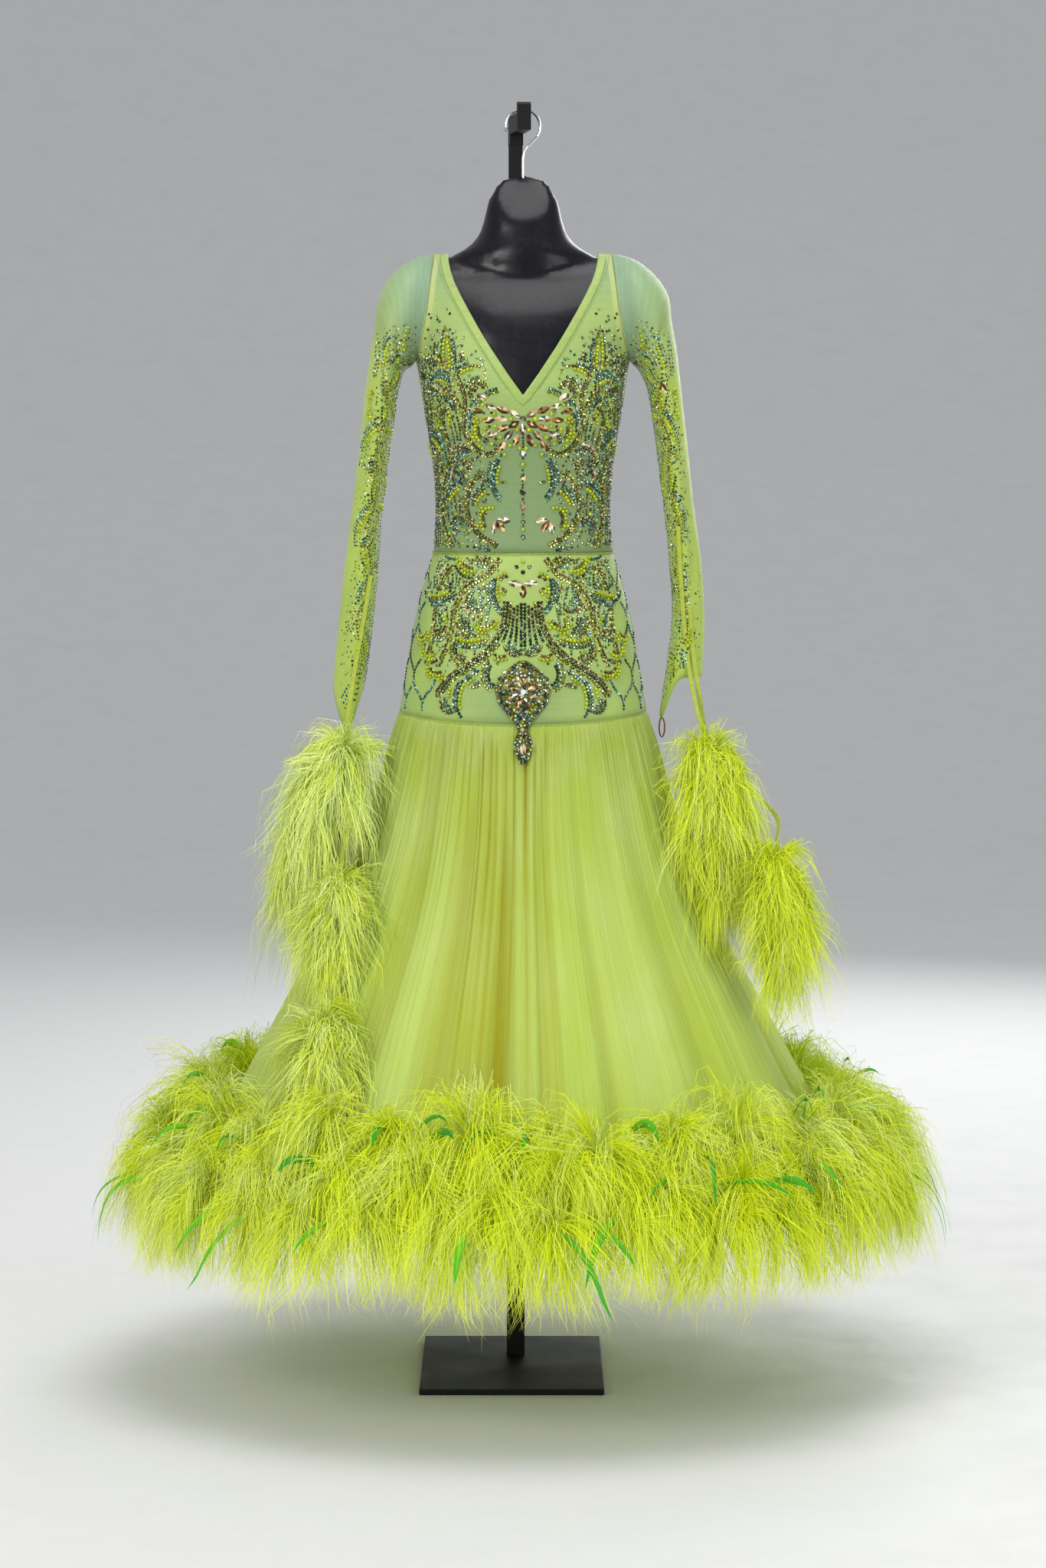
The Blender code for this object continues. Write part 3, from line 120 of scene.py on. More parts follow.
# Rings of each sleeve:  outer_x, outer_z, inner_x, inner_z, half_depth, crease_depth
SLEEVE_RINGS = {
    "sleeve_right": (
        (0.1490, 1.5035, 0.1475, 1.3660, 0.0680, 0.000),
        (0.1765, 1.4820, 0.1515, 1.3625, 0.0730, 0.002),
        (0.1930, 1.4500, 0.1580, 1.3580, 0.0730, 0.004),
        (0.1980, 1.4180, 0.1625, 1.3500, 0.0710, 0.006),
        (0.2045, 1.3720, 0.1675, 1.3290, 0.0680, 0.007),
        (0.2125, 1.3120, 0.1740, 1.2900, 0.0640, 0.007),
        (0.2190, 1.2500, 0.1800, 1.2420, 0.0590, 0.007),
        (0.2290, 1.1700, 0.1905, 1.1680, 0.0530, 0.006),
        (0.2395, 1.0880, 0.1960, 1.0880, 0.0470, 0.006),
        (0.2490, 1.0020, 0.2045, 1.0020, 0.0410, 0.005),
        (0.2550, 0.9350, 0.2150, 0.9300, 0.0350, 0.003),
    ),
    "sleeve_left": (
        (0.1490, 1.5035, 0.1475, 1.3660, 0.0680, 0.000),
        (0.1765, 1.4820, 0.1515, 1.3625, 0.0730, 0.002),
        (0.1935, 1.4550, 0.1560, 1.3570, 0.0730, 0.004),
        (0.1975, 1.4230, 0.1610, 1.3470, 0.0710, 0.006),
        (0.2050, 1.3800, 0.1680, 1.3300, 0.0680, 0.007),
        (0.2120, 1.3200, 0.1735, 1.2980, 0.0640, 0.007),
        (0.2205, 1.2450, 0.1805, 1.2450, 0.0590, 0.007),
        (0.2290, 1.1700, 0.1905, 1.1690, 0.0530, 0.006),
        (0.2390, 1.0950, 0.1980, 1.0950, 0.0470, 0.006),
        (0.2430, 1.0200, 0.2010, 1.0200, 0.0420, 0.005),
        (0.2405, 0.9480, 0.1850, 0.9480, 0.0370, 0.002),
    ),
}
CUFF_POINTS = {"sleeve_right": (0.052, 85.0), "sleeve_left": (0.056, 170.0)}
CUFF_SHARPNESS = 2.5
CREASE_TURN, CREASE_SPREAD = math.radians(62), 0.42
ARMHOLE_CLEARANCE = 0.00066

# Feather tufts on the sleeves' ribbons:  top, bottom, facing_deg, fan_deg, reach
FLOATS = {
    "float_right_upper": ((-0.2335, -0.0745, 0.862), (-0.292, -0.072, 0.660), -95.0, 60.0, 0.074),
    "float_right_middle": ((-0.242, -0.150, 0.684), (-0.2445, -0.170, 0.590), -48.0, 62.0, 0.057),
    "float_right_lower": ((-0.250, -0.222, 0.512), (-0.260, -0.256, 0.440), -44.0, 62.0, 0.058),
    "float_left_upper": ((0.245, -0.075, 0.862), (0.262, -0.085, 0.655), 20.0, 52.0, 0.066),
    "float_left_lower": ((0.334, -0.130, 0.715), (0.338, -0.150, 0.575), 64.0, 62.0, 0.060),
}
HEM_ARCS = 16


# ---------------------------------------------------------------- small tools
def catmull(table: Array, at: Array) -> Array:
    """Reads a table between its rows with a smooth curve.

    Args:
        table: Rows of columns.
        at: Row numbers that need not be whole.

    Returns:
        One row of columns for each number.
    """
    at = np.asarray(at, float)
    last = len(table) - 1
    whole = np.clip(np.floor(at).astype(int), 0, last - 1)
    u = (at - whole)[..., None]
    return between(*(table[np.clip(whole + k, 0, last)] for k in (-1, 0, 1, 2)), u)


def between(a: Array, b: Array, c: Array, d: Array, u: Array) -> Array:
    """A smooth curve through four points, read u of the way from the second to the third."""
    cubic = (2 * a - 5 * b + 4 * c - d) * u**2 + (3 * b - a - 3 * c + d) * u**3
    return 0.5 * (2 * b + (c - a) * u + cubic)


def unit(vectors: Array) -> Array:
    """Vectors made one long."""
    return vectors / np.maximum(np.linalg.norm(vectors, axis=-1, keepdims=True), 1e-12)


def run_of(path: Array) -> Array:
    """The length of a path up to each of its points."""
    return np.concatenate([[0], np.cumsum(np.linalg.norm(np.diff(path, axis=0), axis=1))])


def hill(value: Array, half: float, power: float = 2) -> Array:
    """A smooth hump that is 1 at 0 and falls off over a half-width."""
    return np.exp(-((value / half) ** power))


def oval(
    turn: Array, half_width: Array, front: Array, back: Array, squareness: Array
) -> tuple[Array, Array]:
    """Places on a rounded-square section, x and y.

    Args:
        turn: Angles in radians.
        half_width: Half the section's width.
        front: How far it reaches to the front.
        back: How far it reaches to the back.
        squareness: 2 for an ellipse, more for a squarer one.

    Returns:
        Each place's x and its y.
    """
    across, along = np.sin(turn), np.cos(turn)
    power = 2 / squareness
    depth = np.where(along >= 0, front, back)
    x = half_width * np.sign(across) * np.abs(across) ** power
    return x, -depth * np.sign(along) * np.abs(along) ** power


def lump(turn: Array, seed: int, waves: tuple[int, int], count: int = 9) -> Array:
    """An uneven wave round a circle.

    Args:
        turn: Angles in radians.
        seed: Which wave.
        waves: The fewest and the most crests round the circle.
        count: How many single waves are summed.

    Returns:
        Heights of about -1 to 1.
    """
    rng = np.random.default_rng(seed)
    total = np.zeros_like(turn)
    for _ in range(count):
        total += rng.uniform(0.4, 1.0) * np.sin(rng.integers(*waves) * turn + rng.uniform(0, 2 * math.pi))
    return total / math.sqrt(count) * 1.3


def lone(made: Object) -> Object:
    """Makes an object the only selected one and the active one.

    Args:
        made: The piece.

    Returns:
        The same object.
    """
    deselect()
    made.select_set(True)
    bpy.context.view_layer.objects.active = made
    return made


def joined(pieces: list[Object]) -> Object:
    """Joins pieces into the first of them.

    Args:
        pieces: The pieces.

    Returns:
        The first piece, with the others in it.
    """
    lone(pieces[0])
    for other in pieces[1:]:
        other.select_set(True)
    bpy.ops.object.join()
    return pieces[0]


def linked(name: str, data: bpy.types.ID) -> Object:
    """A new object in the scene.

    Args:
        name: Its name.
        data: Its mesh, curve, light or camera.

    Returns:
        The object.
    """
    made = bpy.data.objects.new(name, data)
    bpy.context.scene.collection.objects.link(made)
    return made


def deselect() -> None:
    """Leaves nothing selected, so that the next operator acts on its own primitive only."""
    for other in bpy.context.selected_objects:
        other.select_set(False)


def finished(made: Object, material: Material) -> Object:
    """Gives a piece its material and slot and lets it ride on the part.

    Args:
        made: The piece.
        material: Its finish.

    Returns:
        The same piece.
    """
    made.data.materials.clear()
    made.data.materials.append(material)
    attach(made, ROOT)
    faces = sum(len(p.vertices) - 2 for p in made.data.polygons)
    log.info("%s: %d triangles", made.name, faces)
    return made


def corners_of(made: Object) -> Array:
    """The places of a mesh's corners.

    Args:
        made: The piece.

    Returns:
        One row of three numbers for each corner.
    """
    mesh = made.data
    places = np.empty(len(mesh.vertices) * 3, np.float32)
    mesh.vertices.foreach_get("co", places)
    return places.reshape(-1, 3).astype(float)


def move_corners(made: Object, places: Array) -> None:
    """Puts a mesh's corners at new places."""
    made.data.vertices.foreach_set("co", places.astype(np.float32).ravel())
    made.data.update()


def mark(made: Object, name: str, values: Array) -> None:
    """Keeps a number at each corner of a mesh for its material."""
    layer = made.data.attributes.new(name, "FLOAT", "POINT")
    layer.data.foreach_set("value", np.asarray(values, np.float32))


def grid(name: str, columns: int, rows: int) -> tuple[Object, Array, Array]:
    """A flat grid ready to be shaped.

    Args:
        name: The piece's name.
        columns: Faces across.
        rows: Faces up.

    Returns:
        The grid, and each corner's share across and up, from 0 to 1.
    """
    deselect()
    bpy.ops.mesh.primitive_grid_add(x_subdivisions=columns, y_subdivisions=rows, size=1.0, calc_uvs=True)
    made = bpy.context.active_object
    made.name = name
    made.data.name = name
    flat = corners_of(made)
    return made, flat[:, 0] + 0.5, flat[:, 1] + 0.5


def set_uv(made: Object, across: Array, up: Array) -> None:
    """Writes a UV map in metres of cloth from values at the mesh's corners.

    Args:
        made: The piece.
        across: Each corner's place across the cloth.
        up: Each corner's place up the cloth.
    """
    mesh = made.data
    layer = mesh.uv_layers.active or mesh.uv_layers.new(name="UVMap")
    index = np.empty(len(mesh.loops), np.int32)
    mesh.loops.foreach_get("vertex_index", index)
    layer.data.foreach_set("uv", np.stack([across[index], up[index]], 1).astype(np.float32).ravel())


def thicken(made: Object, thickness: float = CLOTH) -> Object:
    """Gives an open sheet its thickness, inwards, and shades it smooth.

    Args:
        made: The piece.
        thickness: How thick it becomes.

    Returns:
        The same piece.
    """
    lone(made)
    shell = made.modifiers.new("Cloth", "SOLIDIFY")
    shell.thickness = thickness
    shell.offset = -1.0
    shell.use_even_offset = False
    bpy.ops.object.modifier_apply(modifier=shell.name)
    bpy.ops.object.shade_smooth()
    return made


def welded(made: Object, distance: float = 1e-5) -> Object:
    """Merges the corners of a mesh that lie on each other.

    Args:
        made: The piece.
        distance: How near the corners are to each other.

    Returns:
        The same piece.
    """
    lone(made)
    bpy.ops.object.mode_set(mode="EDIT")
    bpy.ops.mesh.select_all(action="SELECT")
    bpy.ops.mesh.remove_doubles(threshold=distance)
    bpy.ops.object.mode_set(mode="OBJECT")
    return made


@dataclass
class Pattern:
    """A small shape cut once, to be copied: its corners and its faces as lists of corners."""

    corners: Array
    faces: list[tuple[int, ...]]

    @classmethod
    def of(cls, made: Object) -> Pattern:
        """Takes an object's shape, its faces sorted as operators leave them in any order, and removes it.

        Args:
            made: The object.

        Returns:
            Its shape.
        """
        pattern = cls(corners_of(made), sorted(tuple(p.vertices) for p in made.data.polygons))
        bpy.data.objects.remove(made)
        return pattern


def joined_copies(name: str, pattern: Pattern, places: Array, smooth: bool) -> Object:
    """One object from many copies of a pattern.

    Args:
        name: The piece's name.
        pattern: The shape that is copied.
        places: Each copy's corners, copies by corners by 3.
        smooth: Whether its faces are shaded smooth.

    Returns:
        The joined object.
    """
    copies, count = places.shape[:2]
    loop = np.array([i for face in pattern.faces for i in face], np.int64)
    starts = np.cumsum([0] + [len(face) for face in pattern.faces])[:-1]
    index = (loop[None] + np.arange(copies)[:, None] * count).ravel()
    begins = (starts[None] + np.arange(copies)[:, None] * len(loop)).ravel()
    mesh = bpy.data.meshes.new(name)
    mesh.vertices.add(copies * count)
    mesh.vertices.foreach_set("co", places.astype(np.float32).ravel())
    mesh.loops.add(len(index))
    mesh.loops.foreach_set("vertex_index", index.astype(np.int32))
    mesh.polygons.add(len(begins))
    mesh.polygons.foreach_set("loop_start", begins.astype(np.int32))
    mesh.update(calc_edges=True)
    mesh.polygons.foreach_set("use_smooth", np.full(len(begins), smooth))
    return linked(name, mesh)


def tube_along(
    name: str, path: Array, radius: float | Array, sides: int = 6, closed: bool = False
) -> Object:
    """A round cord along a path.

    Args:
        name: The piece's name.
        path: Its points, in order.
        radius: Its radius, or one for each point.
        sides: How many sides it has.
        closed: Whether it runs round to its start.

    Returns:
        The cord, as a mesh.
    """
    curve = bpy.data.curves.new(name, "CURVE")
    curve.dimensions = "3D"
    curve.bevel_depth = 1.0
    curve.bevel_resolution = max(0, (sides - 4) // 2)
    curve.use_fill_caps = not closed
    spline = curve.splines.new("POLY")
    spline.points.add(len(path) - 1)
    radii = np.broadcast_to(radius, len(path))
    for point, place, size in zip(spline.points, path, radii):
        point.co = (*place, 1.0)
        point.radius = size
    spline.use_cyclic_u = closed
    lone(linked(name, curve))
    bpy.ops.object.convert(target="MESH")
    made = welded(bpy.context.active_object, 1e-6)
    bpy.ops.object.shade_smooth()
    return made


# ---------------------------------------------------------------- surfaces
def crease_field(turn: Array, height: Array) -> Array:
    """Soft unevenness of the tight cloth on the body, outwards in metres.

    Args:
        turn: Angles in radians.
        height: Heights.

    Returns:
        How far the cloth stands out.
    """
    drag = np.sin(3.1 * turn + 21 * height + 0.7) * np.sin(47 * height + 2.3 * turn)
    small = np.sin(9.3 * turn - 60 * height) * np.sin(5.2 * turn + 31 * height + 1.1)
    waist = hill(height - 1.13, 0.035)
    pull = np.sin(height * 560 + 2.4 * np.sin(2.2 * turn + 1.3)) * waist * hill(np.abs(np.cos(turn)), 0.75)
    return 0.00025 * drag + 0.00014 * small + 0.00042 * pull


class BodySurface:
    """The outer face of the bodice and the hip yoke."""

    def __init__(self) -> None:
        """Makes the tables that are read backwards."""
        self.table = np.array(BODY_SECTIONS)
        self.rows = np.linspace(0, TOP_ROW, 2101)
        self.heights = catmull(self.table, self.rows)[:, 0]
        self.neck_table, self.arm_table = np.array(NECKLINE), np.array(ARMHOLE)

    def row(self, height: Array) -> Array:
        """The section number at a height."""
        return np.interp(height, self.heights, self.rows)

    def height(self, row: Array) -> Array:
        """The height of a section."""
        return catmull(self.table, row)[..., 0]

    def neck(self, height: Array) -> Array:
        """Half the width of the neck opening at a height."""
        return np.interp(height, self.neck_table[:, 0], self.neck_table[:, 1])

    def armhole(self, height: Array) -> Array:
        """How far the armhole seam lies from the centre line at a height."""
        return np.interp(height, self.arm_table[:, 0], self.arm_table[:, 1])

    def turn_at(self, row: Array, distance: Array) -> Array:
        """The turn at which a section is that far from the centre line."""
        half_width = catmull(self.table, row)[..., 1]
        return np.arcsin(np.minimum(1.0, (distance / half_width) ** (BODY_SQUARENESS / 2)))

    def smooth(self, row: Array, turn: Array) -> Array:
        """Points of the surface before its creases."""
        z, half_width, front, back = np.moveaxis(catmull(self.table, row), -1, 0)
        return np.stack([*oval(turn, half_width, front, back, BODY_SQUARENESS), z], -1)

    def normal(self, row: Array, turn: Array) -> Array:
        """Outward normals.

        Args:
            row: Section numbers.
            turn: Angles in radians.

        Returns:
            A direction for each place.
        """
        step = 2e-3
        across = self.smooth(row, turn + step) - self.smooth(row, turn - step)
        up = self.smooth(np.minimum(row + step, TOP_ROW), turn) - self.smooth(row - step, turn)
        return unit(np.cross(across, up))

    def point(self, row: Array, turn: Array, out: Array | float = 0.0) -> Array:
        """Points of the surface with its creases, moved out.

        Args:
            row: Section numbers.
            turn: Angles in radians.
            out: How far off the surface.

        Returns:
            The points.
        """
        row, turn = np.broadcast_arrays(np.asarray(row, float), np.asarray(turn, float))
        base = self.smooth(row, turn)
        lift = crease_field(turn, base[..., 2]) + out
        return base + self.normal(row, turn) * np.asarray(lift)[..., None]

    def lowest_row(self, turn: Array) -> Array:
        """The section number of the hip seam."""
        return self.row(HIP_SEAM_HEIGHT + SEAM_GAP - HIP_SEAM_DIP * np.maximum(0.0, np.cos(turn)) ** 2)


class BodyGround:
    """The body's front or back laid flat: distance along the cloth from the centre line, and height."""

    def __init__(self, body: BodySurface, back: bool) -> None:
        """Measures the surface round its sections.

        Args:
            body: The surface.
            back: Whether it is the back.
        """
        self.body, self.back = body, back
        self.turns = np.linspace(0, math.pi / 2, 181)
        self.levels = np.linspace(0, TOP_ROW, 106)
        self.arcs = []
        for level in self.levels:
            turns = math.pi - self.turns if back else self.turns
            ring = body.smooth(np.full(181, level), turns)
            self.arcs.append(run_of(ring))
        self.arcs = np.array(self.arcs)

    def turn(self, s: Array, row: Array) -> Array:
        """The turn of a place, from its distance along the cloth.

        Args:
            s: Distance from the centre line along the cloth.
            row: Section numbers.

        Returns:
            Angles from the centre line.
        """
        at = row / TOP_ROW * (len(self.levels) - 1)
        low = np.clip(np.floor(at).astype(int), 0, len(self.levels) - 2)
        share = (at - low)[:, None]
        arcs = self.arcs[low] * (1 - share) + self.arcs[low + 1] * share
        found = np.array([np.interp(abs(a), line, self.turns) for a, line in zip(s, arcs)])
        return np.where(s < 0, -found, found)

    def edge(self, height: float) -> float:
        """How far the side seam or armhole lies from the centre line, along the cloth.

        Args:
            height: The height.

        Returns:
            The distance along the cloth.
        """
        row = float(self.body.row(height))
        line = self.arcs[int(round(row / TOP_ROW * (len(self.levels) - 1)))]
        if height > ARMHOLE[0][0]:
            side = float(self.body.turn_at(np.array(row), self.body.armhole(height)))
            return float(np.interp(side, self.turns, line))
        return float(line[-1])

    def place(self, s: Array, height: Array, out: float = 0.0) -> tuple[Array, Array, Array]:
        """Places on the cloth.

        Args:
            s: Distance from the centre line along the cloth, to +X where positive.
            height: Heights.
            out: How far off the cloth.

        Returns:
            Points, outward normals and the directions of growing s.
        """
        row = self.body.row(height)
        turn = self.turn(s, row)
        turn = math.pi - turn if self.back else turn
        normal = self.body.normal(row, turn)
        across = self.body.smooth(row, turn + 1e-3) - self.body.smooth(row, turn - 1e-3)
        if self.back:
            across = -across
        return self.body.point(row, turn, out), normal, unit(across)


class SkirtSurface:
    """The outer face of the skirt with its gathers and folds."""

    GATHERS = 172

    def __init__(self) -> None:
        """Draws the sharp pleat lines and the middle-sized folds, each with its own size and reach."""
        self.table = np.array(SKIRT_SECTIONS)
        rng = np.random.default_rng(41)
        self.middle, self.lines = [], []
        turn = 0.0
        while turn < 360.0:
            turn += rng.uniform(4.6, 10.5)
            start, end = rng.uniform(0.0, 0.45), rng.uniform(0.55, 1.0)
            self.middle.append(
                (
                    turn, rng.uniform(1.0, 2.2), rng.uniform(-0.0050, 0.0035), start, end,
                    rng.uniform(-1.5, 1.5),
                )
            )
        turn = 0.0
        while turn < 360.0:
            turn += rng.uniform(1.3, 4.2)
            start, end = rng.uniform(0.0, 0.25) ** 1.5, rng.uniform(0.35, 1.1)
            self.lines.append(
                (
                    turn, rng.uniform(0.42, 0.75), -rng.uniform(0.0014, 0.0046), start, end,
                    rng.uniform(-1.2, 1.2),
                )
            )

    @staticmethod
    def away(turn: Array, centre_deg: float) -> Array:
        """Degrees between turns and one centre, the short way round."""
        return (np.degrees(turn) - centre_deg + 180) % 360 - 180

    def large(self, turn: Array) -> Array:
        """The large folds at the hem.

        Args:
            turn: Angles in radians.

        Returns:
            Metres outwards.
        """
        total = np.zeros_like(turn)
        for centre, half_width, depth in SKIRT_FOLDS:
            total += depth * hill(self.away(turn, centre), half_width)
        return total

    def calm(self, turn: Array) -> Array:
        """Where the skirt hangs broad and smooth: near 1 on the front's +X part."""
        return hill(self.away(turn, 38.0), 24.0, 4)

    def offset(self, down: Array, turn: Array) -> tuple[Array, Array]:
        """How far the folds stand out, and how deep in a valley each place lies, which sets how much
        painted valley shade it gets.

        Args:
            down: 0 at the hip seam to 1 at the hem.
            turn: Angles in radians.

        Returns:
            Metres outwards, and 0 to 1.
        """
        calm = self.calm(turn)
        share = catmull(self.table[:, 4:5], down * (len(self.table) - 1))[..., 0]
        large = share * self.large(turn)
        phase = turn + 0.022 * lump(turn, 5, (4, 22)) + 0.004 * np.sin(5 * turn + 7 * down)
        size = 0.55 + 0.45 * lump(turn, 9, (9, 60))
        fade = np.where(down < 0.12, 0.35 + down * 5.4, 1.0) * (1 - 0.55 * down)
        fade = fade * (1 - calm * np.clip(down * 2.2 - 0.35, 0, 0.92))
        fine = 0.0013 * fade * size * (1 - np.abs(np.sin(phase * self.GATHERS / 2)) * 2)
        second = 0.0007 * fade * np.sin(phase * 331 + 3 * lump(turn, 13, (3, 30)))
        middle, lines = np.zeros_like(turn), np.zeros_like(turn)
        for folds, total, power in ((self.middle, middle, 2.0), (self.lines, lines, 1.3)):
            for centre, half_width, depth, start, end, slant in folds:
                away = np.abs(self.away(turn, centre + slant * down))
                near = away < half_width * 5
                reach = np.clip((down[near] - start) / 0.10, 0, 1) * np.clip(
                    (end + 0.2 - down[near]) / 0.2, 0, 1
                )
                total[near] += depth * reach * hill(away[near], half_width, power)
        middle *= 1 - 0.75 * calm
        lines *= (1 - 0.85 * calm) * (1 - 0.35 * down)
        # how much painted valley shade each place gets, from how deep the folds and pleat lines lie
        valley = np.clip(-(large * 0.9 + middle * 1.2) / 0.024 - lines / 0.0048, 0, 1)
        return large + fine + second + middle + lines, valley

    def point(self, down: Array, turn: Array, out: float = 0.0, folded: bool = True) -> Array:
        """Points of the skirt's outer face, moved out.

        Args:
            down: 0 at the top seam to 1 at the hem.
            turn: Angles in radians.
            out: How far off the surface.
            folded: Whether the folds are added.

        Returns:
            The points.
        """
        z, half_width, front, back, _, squareness = np.moveaxis(
            catmull(self.table, down * (len(self.table) - 1)), -1, 0
        )
        across, along = np.sin(turn), np.cos(turn)
        x, y = oval(turn, half_width, front, back, squareness)
        shift = (self.offset(down, turn)[0] if folded else 0.0) + out
        fade = np.maximum(0.0, 1 - down * (len(self.table) - 1) / 2)
        z = z - HIP_SEAM_DIP * np.maximum(0.0, along) ** 2 * fade
        return np.stack([x + shift * across, y - shift * along, z], -1)


class SleeveSurface:
    """A limp sleeve: places run round it from its outer edge by the front to its inner edge and back."""

    AROUND = 96
    # Soft troughs and ridges:  along, around, half length along, half width around, depth, slant
    CREASES = {
        "sleeve_right": (
            (2.6, 0.30, 0.55, 0.045, -0.0032, 0.10), (3.4, 0.42, 0.60, 0.050, -0.0026, -0.08),
            (4.6, 0.20, 0.90, 0.040, -0.0030, 0.06), (5.6, 0.36, 0.40, 0.070, -0.0034, 0.16),
            (6.3, 0.18, 0.55, 0.050, 0.0022, -0.10), (7.4, 0.33, 0.80, 0.045, -0.0028, 0.05),
            (8.6, 0.22, 0.70, 0.045, -0.0026, -0.06), (9.4, 0.40, 0.60, 0.060, -0.0020, 0.10),
            (4.2, 0.74, 0.80, 0.060, -0.0030, 0.08), (6.8, 0.80, 0.90, 0.050, -0.0026, -0.10),
            (8.9, 0.70, 0.80, 0.055, -0.0024, 0.06),
        ),
        "sleeve_left": (
            (2.4, 0.33, 0.50, 0.050, -0.0030, -0.09), (3.7, 0.22, 0.70, 0.045, -0.0028, 0.07),
            (4.9, 0.40, 0.60, 0.055, -0.0030, -0.12), (5.8, 0.26, 0.45, 0.060, -0.0036, 0.12),
            (6.9, 0.16, 0.70, 0.045, 0.0020, 0.06), (7.8, 0.34, 0.75, 0.050, -0.0030, -0.05),
            (9.2, 0.20, 0.80, 0.050, -0.0034, 0.08), (4.4, 0.78, 0.90, 0.050, -0.0028, -0.08),
            (6.6, 0.70, 0.70, 0.060, -0.0028, 0.10), (9.0, 0.76, 0.80, 0.055, -0.0026, -0.05),
        ),
    }

    def __init__(self, name: str, body: BodySurface) -> None:
        """Works out the rings of one sleeve.

        Args:
            name: Which sleeve.
            body: The body that it lies on.
        """
        self.name = name
        self.side = 1.0 if name == "sleeve_left" else -1.0
        around = np.arange(self.AROUND) / self.AROUND
        rings = [self.armhole(body, around)]
        table = SLEEVE_RINGS[name]
        for i, row in enumerate(table):
            rings.append(self.ring(row, around, CUFF_POINTS[name] if i == len(table) - 1 else None))
        self.rings = np.array(rings)
        self.last = len(rings) - 1
        dense = np.linspace(0, self.last, 12 * self.last + 1)
        middle = catmull(
            self.rings.reshape(len(rings), -1), dense
        ).reshape(len(dense), self.AROUND, 3).mean(1)
        self.dense = dense
        self.lengths = run_of(middle)

    def armhole(self, body: BodySurface, around: Array) -> Array:
        """The sleeve's first ring, just outside the bodice's armhole.

        Args:
            body: The body that it lies on.
            around: Shares of the way round.

        Returns:
            The ring's points.
        """
        step = around * 2 * (TOP_ROW - ARMPIT_ROW)
        front = step <= TOP_ROW - ARMPIT_ROW
        row = np.where(front, TOP_ROW - step, step - TOP_ROW + 2 * ARMPIT_ROW)
        turn = body.turn_at(row, body.armhole(body.height(row)))
        ring = body.smooth(row, np.where(front, turn, math.pi - turn))
        ring[:, 0] = self.side * (ring[:, 0] + ARMHOLE_CLEARANCE)
        return ring

    def ring(self, row: tuple[float, ...], around: Array, cuff: tuple[float, float] | None) -> Array:
        """One ring from its row of sizes.

        Args:
            row: The ring's sizes.
            around: Shares of the way round.
            cuff: How far its point hangs and where, in degrees, or none.

        Returns:
            The ring's points.
        """
        outer_x, outer_z, inner_x, inner_z, half_depth, crease = row
        angle = 2 * math.pi * around
        away = (angle - CREASE_TURN + math.pi) % (2 * math.pi) - math.pi
        dent = crease * hill(away, CREASE_SPREAD)
        x = (outer_x + inner_x) / 2 + (outer_x - inner_x) / 2 * np.cos(angle)
        z = (outer_z + inner_z) / 2 + (outer_z - inner_z) / 2 * np.cos(angle)
        if cuff:
            drop, tip_turn = cuff
            z = z - drop * np.maximum(0.0, np.cos(angle - math.radians(tip_turn))) ** CUFF_SHARPNESS
        return np.stack([self.side * x, -half_depth * np.sin(angle) + dent, z], -1)

    def smooth(self, along: Array, around: Array) -> Array:
        """Points before the creases: along is a ring number, around a share of the way round.

        Args:
            along: Ring numbers, which need not be whole.
            around: Shares of the way round.

        Returns:
            The points.
        """
        at = (around % 1.0) * self.AROUND
        low = np.floor(at).astype(int) % self.AROUND
        share = (at - np.floor(at))[:, None]
        whole = np.clip(np.floor(along).astype(int), 0, self.last - 1)
        n = np.arange(len(along))
        picked = []
        for k in (-1, 0, 1, 2):
            ring = self.rings[np.clip(whole + k, 0, self.last)]
            picked.append(ring[n, low] * (1 - share) + ring[n, (low + 1) % self.AROUND] * share)
        return between(*picked, (along - whole)[:, None])

    def normal(self, along: Array, around: Array) -> Array:
        """Outward normals.

        Args:
            along: Ring numbers, which need not be whole.
            around: Shares of the way round.

        Returns:
            A direction for each place.
        """
        across = self.smooth(along, around + 0.012) - self.smooth(along, around - 0.012)
        lower, upper = np.minimum(along + 0.05, self.last), np.maximum(along - 0.05, 0)
        down = self.smooth(lower, around) - self.smooth(upper, around)
        return unit(np.cross(across, down)) * self.side

    def crease(self, along: Array, around: Array) -> Array:
        """How far the creases move the cloth out.

        Args:
            along: Ring numbers, which need not be whole.
            around: Shares of the way round.

        Returns:
            Metres outwards.
        """
        wave = 23 * along + 9 * np.sin(2 * math.pi * around)
        total = 0.00035 * np.sin(wave) * np.sin(4 * math.pi * around + along)
        for place, centre, half_long, half_wide, depth, slant in self.CREASES[self.name]:
            away = (around - centre - slant * (along - place) + 0.5) % 1.0 - 0.5
            total += depth * np.exp(-(((along - place) / half_long) ** 2) - ((away / half_wide) ** 2))
        return total * np.clip((along - 0.4) / 1.2, 0, 1) * np.clip((self.last - along) / 0.8 + 0.3, 0, 1)

    def point(self, along: Array, around: Array, out: float = 0.0) -> Array:
        """Points with the creases, moved out."""
        lift = self.crease(along, around) + out
        return self.smooth(along, around) + self.normal(along, around) * lift[:, None]

    def place(self, s: Array, down: Array, out: float = 0.0) -> tuple[Array, Array, Array]:
        """Places on the sleeve, as flat pattern coordinates.

        Args:
            s: Distance round the sleeve from the middle of its front, to the inner edge where positive.
            down: Distance below the shoulder along the sleeve.
            out: How far off the cloth.

        Returns:
            Points, outward normals and the directions of growing s.
        """
        along = np.interp(down, self.lengths, self.dense)
        girth = np.interp(along, (0, 2, 5, 9, 11), (0.31, 0.27, 0.25, 0.19, 0.165))
        around = 0.25 + s / girth
        across = self.smooth(along, around + 0.01) - self.smooth(along, around - 0.01)
        return self.point(along, around, out), self.normal(along, around), unit(across)


